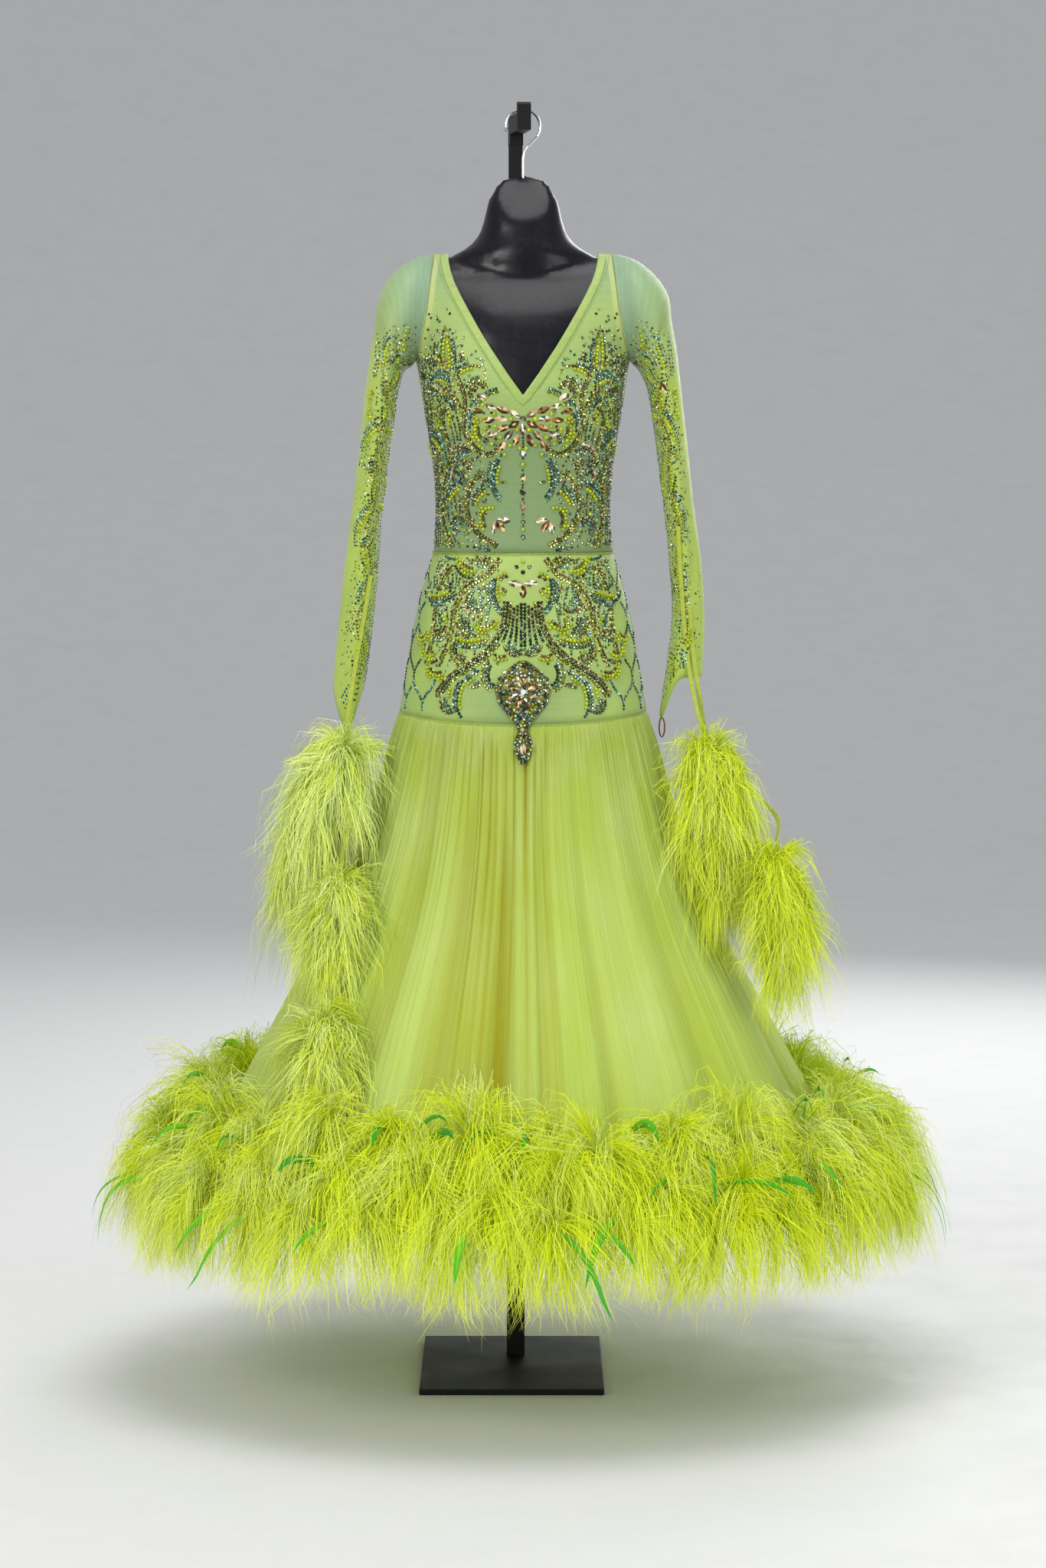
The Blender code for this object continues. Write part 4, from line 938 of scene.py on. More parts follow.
# ---------------------------------------------------------------- finishes
def linear(red: float, green: float, blue: float) -> Colour:
    """A display colour of 0 to 255 as the linear colour that a socket takes.

    Args:
        red: Red, 0 to 255.
        green: Green, 0 to 255.
        blue: Blue, 0 to 255.

    Returns:
        Red, green, blue and 1.
    """

    def channel(value: float) -> float:
        """One channel of the colour."""
        share = value / 255
        return share / 12.92 if share <= 0.04045 else ((share + 0.055) / 1.055) ** 2.4

    return channel(red), channel(green), channel(blue), 1.0


class Wiring:
    """One Principled material, with short ways to wire nodes into it."""

    def __init__(self, name: str, colour: Colour, roughness: float, **sockets: Source) -> None:
        """Makes the material and sets its plain sockets.

        Args:
            name: Its name.
            colour: Its plain colour.
            roughness: Its plain roughness.
            sockets: Other sockets, by name.
        """
        self.material = bpy.data.materials.new(name)
        self.material.use_nodes = True
        self.tree = self.material.node_tree
        self.surface = self.tree.nodes["Principled BSDF"]
        self.surface.inputs["Base Color"].default_value = colour
        self.surface.inputs["Roughness"].default_value = roughness
        for socket, value in sockets.items():
            self.surface.inputs[socket.replace("_", " ")].default_value = value

    def add(self, kind: str, **settings: object) -> Node:
        """Adds a node and sets its fields.

        Args:
            kind: Which kind of node.
            settings: Its fields, by name.

        Returns:
            The node.
        """
        node = self.tree.nodes.new(kind)
        for key, value in settings.items():
            setattr(node, key, value)
        return node

    def feed(self, source: Source, socket: NodeSocket) -> None:
        """Links a socket to a source, or sets it to a number or colour.

        Args:
            source: A socket, a number or a colour.
            socket: The socket that is fed.
        """
        if isinstance(source, NodeSocket):
            self.tree.links.new(source, socket)
        else:
            socket.default_value = source

    def put(self, socket: str, source: NodeSocket) -> None:
        """Links a source to the surface."""
        self.tree.links.new(source, self.surface.inputs[socket])

    def place(self, kind: str = "Object", stretch: tuple[float, ...] = (1, 1, 1)) -> NodeSocket:
        """Texture coordinates, stretched.

        Args:
            kind: Which coordinates.
            stretch: How much finer the pattern is along each axis.

        Returns:
            The coordinates.
        """
        mapping = self.add("ShaderNodeMapping")
        mapping.inputs["Scale"].default_value = stretch
        self.feed(self.add("ShaderNodeTexCoord").outputs[kind], mapping.inputs["Vector"])
        return mapping.outputs["Vector"]

    def kept(self, name: str, output: str = "Fac") -> NodeSocket:
        """A value kept at the mesh's corners."""
        return self.add("ShaderNodeAttribute", attribute_name=name).outputs[output]

    def noise(self, place: NodeSocket, scale: float, detail: float = 2.0) -> NodeSocket:
        """Soft random clouds.

        Args:
            place: Texture coordinates.
            scale: How fine it is.
            detail: How much fine detail it has.

        Returns:
            The clouds, about 0 to 1.
        """
        node = self.add("ShaderNodeTexNoise")
        node.inputs["Scale"].default_value = scale
        node.inputs["Detail"].default_value = detail
        self.feed(place, node.inputs["Vector"])
        return node.outputs["Fac"]

    def cells(self, place: NodeSocket, scale: float, output: str = "Distance") -> NodeSocket:
        """Random cells.

        Args:
            place: Texture coordinates.
            scale: How fine it is.
            output: Which output is used.

        Returns:
            The cells' distance or colour.
        """
        node = self.add("ShaderNodeTexVoronoi")
        node.inputs["Scale"].default_value = scale
        self.feed(place, node.inputs["Vector"])
        return node.outputs[output]

    def waves(self, place: NodeSocket, scale: float, direction: str, distortion: float = 0.0) -> NodeSocket:
        """Even bands, or rippled ones.

        Args:
            place: Texture coordinates.
            scale: How fine it is.
            direction: Which way the bands follow each other.
            distortion: How rippled the bands are.

        Returns:
            The bands, 0 to 1.
        """
        node = self.add("ShaderNodeTexWave", bands_direction=direction)
        node.inputs["Scale"].default_value = scale
        node.inputs["Distortion"].default_value = distortion
        node.inputs["Detail"].default_value = 2.0 if distortion else 0.0
        node.inputs["Detail Scale"].default_value = 0.6
        self.feed(place, node.inputs["Vector"])
        return node.outputs["Fac"]

    def maths(self, operation: str, first: Source, second: Source = 0.0) -> NodeSocket:
        """One sum on two values.

        Args:
            operation: Which sum.
            first: The first value.
            second: The second value.

        Returns:
            The result.
        """
        node = self.add("ShaderNodeMath", operation=operation)
        self.feed(first, node.inputs[0])
        self.feed(second, node.inputs[1])
        return node.outputs[0]

    def ranged(self, value: Source, low: float, high: float, to_low: float, to_high: float) -> NodeSocket:
        """A value moved from one range to another, kept inside it.

        Args:
            value: What is moved.
            low: The lower end.
            high: The upper end.
            to_low: What the lower end becomes.
            to_high: What the upper end becomes.

        Returns:
            The moved value.
        """
        node = self.add("ShaderNodeMapRange")
        for socket, source in zip(node.inputs, (value, low, high, to_low, to_high)):
            self.feed(source, socket)
        return node.outputs[0]

    def mixed(self, share: Source, first: Source, second: Source, blend: str = "MIX") -> NodeSocket:
        """Two colours mixed.

        Args:
            share: How much of the second.
            first: The first value.
            second: The second value.
            blend: How they are mixed.

        Returns:
            The mixed colour.
        """
        node = self.add("ShaderNodeMix", data_type="RGBA", blend_type=blend)
        self.feed(share, node.inputs[0])
        self.feed(first, node.inputs[6])
        self.feed(second, node.inputs[7])
        return node.outputs[2]

    def bump(self, height: NodeSocket, distance: float) -> None:
        """Raises the surface by a height.

        Args:
            height: The height, 0 to 1.
            distance: How high 1 is.
        """
        node = self.add("ShaderNodeBump")
        node.inputs["Strength"].default_value = 1.0
        node.inputs["Distance"].default_value = distance
        self.feed(height, node.inputs["Height"])
        self.put("Normal", node.outputs["Normal"])

    def dressed(
        self, colour: NodeSocket, roughness: NodeSocket, height: NodeSocket, depth: float
    ) -> Material:
        """Wires in the colour, the roughness and the raised pattern.

        Args:
            colour: The surface's colour.
            roughness: Its roughness.
            height: The raised pattern, 0 to 1.
            depth: How high the pattern is.

        Returns:
            The finished material.
        """
        self.put("Base Color", colour)
        self.put("Roughness", roughness)
        self.bump(height, depth)
        return self.material


@dataclass(frozen=True)
class Chiffon:
    """Soft crinkled chiffon, golden and darker in its valleys: partly the layers lying behind each other
    there, partly painted shade in the folds and in the troughs of its crinkles.
    """

    face: Colour = linear(200, 228, 90)
    # the valleys' colour: painted shade, golden as the layered chiffon there is
    valley: Colour = linear(178, 174, 14)
    pale: Colour = linear(220, 241, 146)
    roughness: float = 0.58

    def make(self) -> Material:
        """Builds the material.

        Returns:
            The material.
        """
        w = Wiring(
            "chiffon", self.face, self.roughness, Sheen_Weight=0.35, Sheen_Roughness=0.4,
            Sheen_Tint=linear(235, 245, 160), Specular_IOR_Level=0.35,
        )
        cloth = w.place("UV")
        threads = w.waves(w.place("UV", (620, 1, 1)), 1.0, "X")
        picks = w.waves(w.place("UV", (1, 620, 1)), 1.0, "Y")
        weave = w.maths("MULTIPLY", threads, picks)
        crimp = w.noise(w.place("UV", (300, 9, 1)), 1.0, 3.0)
        pleats = w.ranged(w.noise(w.place("UV", (74, 0.8, 1)), 1.0, 5.0), 0.44, 0.55, 0.0, 1.0)
        clouds = w.noise(cloth, 7.0, 3.0)
        tone = w.mixed(w.ranged(clouds, 0.35, 0.7, 0.0, 0.75), self.face, self.pale)
        # painted shade in the troughs of the pleat and crimp bumps
        tone = w.mixed(w.ranged(pleats, 0.0, 1.0, 0.15, 0.0), tone, self.valley)
        tone = w.mixed(w.ranged(crimp, 0.3, 0.75, 0.18, 0.0), tone, self.valley)
        # painted shade in the fold valleys, scaled by the gold mark
        gold = w.maths("MULTIPLY", w.kept("valley"), w.ranged(w.kept("gold"), 0.0, 1.0, 0.30, 1.0))
        return w.dressed(
            w.mixed(gold, tone, self.valley),
            w.ranged(crimp, 0.0, 1.0, self.roughness + 0.08, self.roughness - 0.08),
            w.maths(
                "ADD", w.maths("ADD", crimp, w.maths("MULTIPLY", weave, 0.35)),
                w.maths("MULTIPLY", pleats, 1.6),
            ),
            0.0007,
        )


@dataclass(frozen=True)
class StretchMesh:
    """Fine power mesh: dim where it is single, lime where it is lined, with moire ripples."""

    name: str = "stretch_mesh"
    lined: Colour = linear(178, 205, 106)
    bare: Colour = linear(132, 159, 106)
    shade: Colour = linear(124, 148, 88)
    tape: Colour = linear(204, 206, 136)

    def make(self) -> Material:
        """Builds the material.

        Returns:
            The material.
        """
        w = Wiring(
            self.name, self.lined, 0.46, Sheen_Weight=0.25, Sheen_Roughness=0.35, Specular_IOR_Level=0.45
        )
        holes = w.cells(w.place("UV"), 900.0)
        ribs = w.waves(w.place("UV", (420, 420, 1)), 1.0, "DIAGONAL")
        ripple = w.waves(w.place("UV", (1.0, 1.35, 1)), 26.0, "Y", 9.0)
        fine = w.waves(w.place("UV", (1.2, 1.0, 1)), 110.0, "X", 14.0)
        moire = w.maths(
            "MULTIPLY", w.kept("sheer"), w.ranged(w.maths("MULTIPLY", ripple, fine), 0.1, 0.9, 0.0, 0.42)
        )
        tone = w.mixed(w.kept("sheer"), self.lined, self.bare)
        tone = w.mixed(w.ranged(w.noise(w.place(), 16.0, 3.0), 0.35, 0.7, 0.28, 0.0), tone, self.shade)
        tone = w.mixed(moire, tone, self.shade)
        return w.dressed(
            w.mixed(w.maths("MULTIPLY", w.kept("strip"), 0.5), tone, self.tape),
            w.ranged(ribs, 0.0, 1.0, 0.40, 0.56),
            w.maths("ADD", w.maths("MULTIPLY", holes, 0.8), w.maths("MULTIPLY", ribs, 0.3)),
            0.0003,
        )


@dataclass(frozen=True)
class Satin:
    """Lime satin for the binding, seams and ribbons."""

    name: str = "satin"
    colour: Colour = linear(180, 208, 108)
    shade: Colour = linear(156, 184, 88)

    def make(self) -> Material:
        """Builds the material.

        Returns:
            The material.
        """
        w = Wiring(self.name, self.colour, 0.34, Sheen_Weight=0.2, Anisotropic=0.4, Specular_IOR_Level=0.6)
        twill = w.waves(w.place(), 700.0, "DIAGONAL", 1.5)
        streaks = w.noise(w.place("Object", (60, 60, 190)), 1.0, 3.0)
        return w.dressed(
            w.mixed(w.ranged(streaks, 0.3, 0.72, 0.55, 0.0), self.colour, self.shade),
            w.ranged(streaks, 0.2, 0.8, 0.28, 0.44),
            w.maths("ADD", twill, streaks),
            0.00022,
        )


@dataclass(frozen=True)
class GoldCord:
    """Twisted metal thread."""

    colour: Colour = linear(216, 212, 110)
    shade: Colour = linear(172, 164, 60)

    def make(self) -> Material:
        """Builds the material.

        Returns:
            The material.
        """
        w = Wiring("gold_cord", self.colour, 0.3, Metallic=0.6)
        strands = w.noise(w.place("Object", (700, 700, 260)), 1.0, 2.0)
        return w.dressed(
            w.mixed(w.ranged(strands, 0.35, 0.62, 0.8, 0.0), self.colour, self.shade),
            w.ranged(strands, 0.0, 1.0, 0.22, 0.42),
            strands,
            0.0004,
        )


@dataclass(frozen=True)
class Crystal:
    """Foil-backed glass stones, each with its own colour and with painted light on its facets: painted
    highlights, painted dark reflections and painted glints.
    """

    def make(self) -> Material:
        """Builds the material.

        Returns:
            The material.
        """
        w = Wiring(
            "crystal", linear(190, 210, 120), 0.12, Metallic=0.3, Coat_Weight=0.3, Coat_Roughness=0.05,
            IOR=1.62,
        )
        # painted glints: random coloured cells overlaid on the stones' colours
        glints = w.cells(w.place(), 520.0, "Color")
        tone = w.mixed(0.15, w.kept("tint", "Color"), glints, "OVERLAY")
        return w.dressed(
            tone,
            w.ranged(w.noise(w.place(), 300.0, 1.0), 0.2, 0.8, 0.06, 0.24),
            w.noise(w.place(), 900.0, 1.0),
            0.00012,
        )


@dataclass(frozen=True)
class Ostrich:
    """Feather barbs, golden at the root and pale at the tip, or the down beneath them, whose streaks stand
    for barbs with painted shade between them.
    """

    name: str = "ostrich"
    streaked: bool = False
    root: Colour = linear(206, 218, 0)
    middle: Colour = linear(226, 244, 4)
    tip: Colour = linear(236, 247, 84)
    cream: Colour = linear(236, 250, 172)

    def make(self) -> Material:
        """Builds the material.

        Returns:
            The material.
        """
        w = Wiring(
            self.name, self.middle, 0.7, Sheen_Weight=0.02, Sheen_Roughness=0.5, Specular_IOR_Level=0.1
        )
        along, tint = w.kept("along"), w.kept("tint")
        tone = w.mixed(w.ranged(along, 0.0, 0.38, 0.0, 1.0), self.root, self.middle)
        tone = w.mixed(w.ranged(along, 0.35, 1.0, 0.0, 1.0), tone, self.tip)
        tone = w.mixed(w.ranged(tint, 0.55, 1.0, 0.0, 0.85), tone, self.cream)
        tone = w.mixed(w.ranged(tint, 0.0, 0.35, 0.7, 0.0), tone, self.root)
        if self.streaked:
            specks = w.noise(w.place("UV", (850, 26, 1)), 1.0, 3.0)
        else:
            specks = w.noise(w.place(), 240.0, 1.0)
        # on the down, long streaks darken towards the root colour: partly the barbs' own root colour,
        # partly painted shade between barbs
        depth, share = (0.0035, 0.75) if self.streaked else (0.0005, 0.18)
        return w.dressed(
            w.mixed(w.ranged(specks, 0.35, 0.6, share, 0.0), tone, self.root),
            w.ranged(specks, 0.0, 1.0, 0.5, 0.75),
            specks,
            depth,
        )


@dataclass(frozen=True)
class Coque:
    """Long dyed cock feathers, green to teal."""

    pale: Colour = linear(150, 226, 20)
    deep: Colour = linear(72, 204, 16)
    teal: Colour = linear(22, 150, 40)

    def make(self) -> Material:
        """Builds the material.

        Returns:
            The material.
        """
        w = Wiring("coque", self.pale, 0.45, Sheen_Weight=0.05, Specular_IOR_Level=0.3)
        along, tint = w.kept("along"), w.kept("tint")
        tone = w.mixed(w.ranged(along, 0.1, 0.9, 0.0, 1.0), self.pale, self.deep)
        tone = w.mixed(w.ranged(tint, 0.5, 1.0, 0.0, 0.7), tone, self.teal)
        barbs = w.waves(w.place("UV", (30, 420, 1)), 1.0, "DIAGONAL", 1.0)
        return w.dressed(
            w.mixed(w.ranged(barbs, 0.0, 1.0, 0.25, 0.0), tone, linear(30, 120, 20)),
            w.ranged(barbs, 0.0, 1.0, 0.32, 0.55),
            barbs,
            0.0004,
        )


@dataclass(frozen=True)
class Hard:
    """A hard finish with slight wear: gloss plastic, chrome or powder coat."""

    name: str
    colour: Colour
    worn: Colour
    roughness: float
    metallic: float
    grain: float
    depth: float
    coat: float = 0.0

    def make(self) -> Material:
        """Builds the material.

        Returns:
            The material.
        """
        w = Wiring(
            self.name, self.colour, self.roughness, Metallic=self.metallic, Coat_Weight=self.coat,
            Coat_Roughness=0.12, Specular_IOR_Level=0.3,
        )
        broad, fine = w.noise(w.place(), 9.0, 4.0), w.noise(w.place(), self.grain, 2.0)
        low, high = self.roughness * 0.8, min(1.0, self.roughness * 1.35)
        return w.dressed(
            w.mixed(w.ranged(broad, 0.45, 0.75, 0.0, 0.6), self.colour, self.worn),
            w.ranged(w.maths("MULTIPLY", broad, fine), 0.1, 0.45, low, high),
            fine,
            self.depth,
        )


class Finishes:
    """All the finishes, each made once."""

    def __init__(self) -> None:
        """Builds every material."""
        self.chiffon = Chiffon().make()
        self.mesh = StretchMesh().make()
        self.sleeve = StretchMesh("sleeve_mesh", linear(186, 212, 80), linear(138, 168, 140)).make()
        self.satin = Satin().make()
        self.ribbon = Satin("ribbon_satin", linear(196, 214, 72), linear(166, 180, 44)).make()
        self.elastic = Satin("loop_elastic", linear(122, 68, 36), linear(86, 46, 24)).make()
        self.seam = Satin("seam_thread", linear(186, 206, 92), linear(166, 184, 70)).make()
        self.gold = GoldCord().make()
        self.setting = Hard(
            "stone_setting_metal", linear(118, 112, 52), linear(70, 74, 40), 0.35, 0.7, 700.0, 0.0002
        ).make()
        self.crystal = Crystal().make()
        self.ostrich = Ostrich().make()
        self.down = Ostrich("ostrich_down", True).make()
        self.coque = Coque().make()
        self.form = Hard(
            "form_gloss", linear(7, 5, 13), linear(14, 12, 22), 0.30, 0.0, 160.0, 0.00006, 0.08
        ).make()
        self.chrome = Hard(
            "chrome", linear(205, 206, 208), linear(150, 150, 152), 0.16, 1.0, 380.0, 0.00003
        ).make()
        self.stand = Hard("powder_coat", linear(4, 4, 5), linear(9, 9, 10), 0.5, 0.0, 900.0, 0.00012).make()
        self.floor = Hard(
            "floor_paper", linear(236, 236, 234), linear(230, 230, 229), 0.7, 0.0, 60.0, 0.0002
        ).make()


# ---------------------------------------------------------------- cloth
class Side(Enum):
    """The gown's two sides, as the sign of x."""

    RIGHT = -1
    LEFT = 1

    def turned(self, turn: Array, back: bool) -> Array:
        """A turn counted from the front's or back's centre line, as a turn on this side."""
        return self.value * (math.pi - turn if back else turn)


@dataclass
class Bodice:
    """The two halves of the bodice: a fine shell from the waist seam to the shoulder line."""

    body: BodySurface
    columns: int = 34
    rows: int = 58
    side_gap: float = 0.0004

    def half(self, side: Side, back: bool) -> Object:
        """One half of the front or back, as an open sheet.

        Args:
            side: Which side.
            back: Whether it is at the back.

        Returns:
            The half.
        """
        flipped = back != (side is Side.RIGHT)
        made, across, up = grid(f"bodice_{side.name}_{back}", self.columns, self.rows)
        low = float(self.body.row(BODY_SECTIONS[WAIST_ROW][0] + SEAM_GAP))
        row = low + (TOP_ROW - 0.0005 - low) * np.where(up < 0.5, up * 1.04, 0.52 + (up - 0.5) * 0.96)
        share = 1 - across if flipped else across
        height = self.body.height(row)
        neck = np.where(row > V_ROW, self.body.neck(height), 0.0)
        inner = self.body.turn_at(row, neck)
        edge = np.where(row > ARMPIT_ROW, self.body.turn_at(row, self.body.armhole(height)), math.pi / 2)
        outer = edge - self.side_gap / 0.12
        turn = inner + (outer - inner) * share
        turn = side.turned(turn, back)
        move_corners(made, self.body.point(row, turn))
        distance = np.abs(np.sin(turn)) * 0.13 * side.value
        set_uv(made, distance, height)
        shoulder = 0.6 * np.clip((height - 1.43) / 0.05, 0, 1)
        midriff = 0.75 * np.clip((1.286 + 0.012 * np.cos(6 * turn) - height) / 0.03, 0, 1)
        mark(made, "sheer", np.clip(0.30 + shoulder + midriff, 0, 1))
        x = self.body.smooth(row, turn)[:, 0]
        beside = self.body.armhole(height) - np.abs(x)
        mark(made, "strip", np.where(height > ARMHOLE[0][0], np.clip((0.009 - beside) / 0.003, 0, 1), 0.0))
        return made

    def build(self, back: bool, material: Material) -> Object:
        """The whole front or back.

        Args:
            back: Whether it is at the back.
            material: Its finish.

        Returns:
            The piece.
        """
        name = "bodice_back" if back else "bodice_front"
        made = thicken(welded(joined([self.half(side, back) for side in Side]), 2e-6))
        made.name = "cloth_" + name
        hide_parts(name)
        return finished(made, material)


@dataclass
class HipYoke:
    """The fitted band between the waist seam and the skirt."""

    body: BodySurface
    columns: int = 76
    rows: int = 22
    side_gap: float = 0.0004

    def build(self, back: bool, material: Material) -> Object:
        """The front or back band.

        Args:
            back: Whether it is at the back.
            material: Its finish.

        Returns:
            The piece.
        """
        name = "hip_back" if back else "hip_front"
        made, across, up = grid("cloth_" + name, self.columns, self.rows)
        reach = math.pi / 2 - self.side_gap / 0.15
        turn = (2 * across - 1) * reach + (math.pi if back else 0.0)
        low = self.body.lowest_row(turn)
        high = float(self.body.row(BODY_SECTIONS[WAIST_ROW][0] - SEAM_GAP))
        row = low + (high - low) * up
        move_corners(made, self.body.point(row, turn))
        height = self.body.height(row)
        set_uv(made, 0.14 * turn, height)
        side = hill(np.cos(turn), 0.5)
        low_centre = hill(np.sin(turn), 0.4) * np.clip((0.98 - height) / 0.05, 0, 1)
        mark(made, "sheer", np.clip(0.75 * low_centre + 0.15 * side, 0, 1))
        thicken(made)
        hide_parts(name)
        return finished(made, material)


@dataclass
class Skirt:
    """The gathered skirt: a front and a back shell with fine gathers, drawn folds and deep valleys."""

    surface: SkirtSurface
    columns: int = 480
    rows: int = 26
    side_gap: float = 0.0006

    def build(self, back: bool, material: Material) -> Object:
        """The front or back panel.

        Args:
            back: Whether it is at the back.
            material: Its finish.

        Returns:
            The piece.
        """
        name = "skirt_back" if back else "skirt_front"
        made, across, up = grid("cloth_" + name, self.columns, self.rows)
        reach = math.pi / 2 - self.side_gap / 0.3
        share = 2 * across - 1
        turn = (0.8 * share + 0.2 * share**3) * reach + (math.pi if back else 0.0)
        down = 0.0009 + (1 - 0.0009) * (1 - up) ** 1.15
        move_corners(made, self.surface.point(down, turn))
        set_uv(made, 0.42 * turn, 0.62 * down)
        # where the chiffon is painted with valley shade, from how deep each place lies in a fold
        mark(made, "valley", self.surface.offset(down, turn)[1])
        # how strongly the valleys take their painted shade: most in front, a little towards -X
        near = hill(self.surface.away(turn, -11.0), 15.0)
        mark(made, "gold", np.clip(near * 1.2 + 0.12, 0, 1))
        thicken(made)
        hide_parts(name)
        return finished(made, material)


@dataclass
class Sleeve:
    """A long limp sleeve from the armhole to its pointed cuff."""

    surface: SleeveSurface
    around: int = 64
    rows: int = 76

    def build(self, material: Material) -> Object:
        """The sleeve as one closed tube with open ends.

        Args:
            material: Its finish.

        Returns:
            The piece.
        """
        name = self.surface.name
        made, across, up = grid("cloth_" + name, self.around, self.rows)
        turned = across if self.surface.side > 0 else 1 - across
        along = np.interp(
            1 - up, np.linspace(0, 1, 5), np.array([0.0, 0.16, 0.42, 0.71, 1.0]) * self.surface.last
        )
        places = self.surface.point(along, turned)
        move_corners(made, places)
        down = np.interp(along, self.surface.dense, self.surface.lengths)
        set_uv(made, 0.26 * across, down)
        mark(made, "sheer", np.clip(0.05 + 0.95 * hill(down, 0.085), 0, 1))
        thicken(welded(made, 2e-6))
        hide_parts(name)
        return finished(made, material)


# ---------------------------------------------------------------- trims
def neck_edge(body: BodySurface) -> tuple[Array, Array]:
    """Distance from the centre line and height along one side of the neckline, from the V's point up.

    Args:
        body: The surface that holds the neckline.

    Returns:
        The distances and the heights.
    """
    low, high = NECKLINE[0][0], NECKLINE[-1][0]
    height = low + (high - low) * np.linspace(0, 1, 70)
    return body.neck(height), height


@dataclass
class NeckBinding:
    """A flat satin band round the neckline, crowned in its middle."""

    body: BodySurface
    width: float = 0.011
    crown: float = 0.0007
    across: int = 6

    def side(self, side: Side, back: bool) -> Array:
        """Stations of points from the V's point to the shoulder.

        Args:
            side: Which side.
            back: Whether it is at the back.

        Returns:
            Points, along the band by across it.
        """
        x, z = neck_edge(self.body)
        slope = unit(np.stack([np.gradient(x), np.gradient(z)], 1))
        for _ in range(3):
            slope[1:-1] = unit(slope[:-2] + 2 * slope[1:-1] + slope[2:])
        outward = np.stack([slope[:, 1], -slope[:, 0]], 1)
        shares = np.linspace(0, 1, self.across + 1)
        drop = self.width / outward[0, 0]
        stations = [[(0.0, z[0] - drop * s) for s in shares]]
        for i in range(len(x)):
            away = outward[i, 0] * self.width, outward[i, 1] * self.width
            stations.append([(x[i] + away[0] * s, z[i] + away[1] * s) for s in shares])
        flat = np.array(stations)
        height = np.minimum(flat[..., 1], NECKLINE[-1][0] - 1e-5)
        row = self.body.row(height)
        turn = self.body.turn_at(row, np.maximum(flat[..., 0], 0.0))
        turn = side.turned(turn, back)
        lift = 0.0005 + self.crown * np.sqrt(np.clip(1 - (2 * shares - 1) ** 4, 0, 1))[None]
        return self.body.point(row, turn, np.broadcast_to(lift, row.shape))

    def build(self, material: Material) -> Object:
        """The four stretches of the band as one piece.

        Args:
            material: Its finish.

        Returns:
            The piece.
        """
        stretches = []
        for side in Side:
            for back in (False, True):
                places = self.side(side, back)
                columns, rows = places.shape[0] - 1, places.shape[1] - 1
                made, across, up = grid("binding", columns, rows)
                flip = (side is Side.LEFT) != back
                i = np.rint(across * columns).astype(int)
                j = np.rint((1 - up if flip else up) * rows).astype(int)
                move_corners(made, places[i, j])
                set_uv(made, across * 0.22, up * self.width)
                stretches.append(made)
        made = thicken(welded(joined(stretches), 2e-6), 0.0005)
        made.name = "trim_neck_binding"
        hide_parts("neck_binding")
        return finished(made, material)


@dataclass
class TwistedCord:
    """Two strands of gold thread twisted round each other over the waist seam."""

    body: BodySurface
    strand: float = 0.0004
    pitch: float = 0.0038
    steps: int = 5

    def build(self, material: Material) -> Object:
        """Both strands as one piece.

        Args:
            material: Its finish.

        Returns:
            The piece.
        """
        row = float(self.body.row(BODY_SECTIONS[WAIST_ROW][0]))
        turns = np.linspace(0, 2 * math.pi, 721)[:-1]
        ring = self.body.point(np.full(720, row), turns, self.strand * 1.7)
        length = np.linalg.norm(np.roll(ring, -1, 0) - ring, axis=1).sum()
        twists = round(length / self.pitch)
        count = twists * self.steps
        fine = np.linspace(0, 2 * math.pi, count + 1)[:-1]
        centre = self.body.point(np.full(count, row), fine, self.strand * 1.75)
        out = self.body.normal(np.full(count, row), fine)
        strands = []
        for start in (0.0, math.pi):
            angle = start + fine * twists
            path = centre + out * (np.cos(angle) * self.strand * 0.95)[:, None]
            path[:, 2] += np.sin(angle) * self.strand * 0.95
            strands.append(tube_along("cord_strand", path, self.strand, 4, closed=True))
        made = joined(strands)
        made.name = "trim_waist_cord"
        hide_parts("waist_cord")
        return finished(made, material)


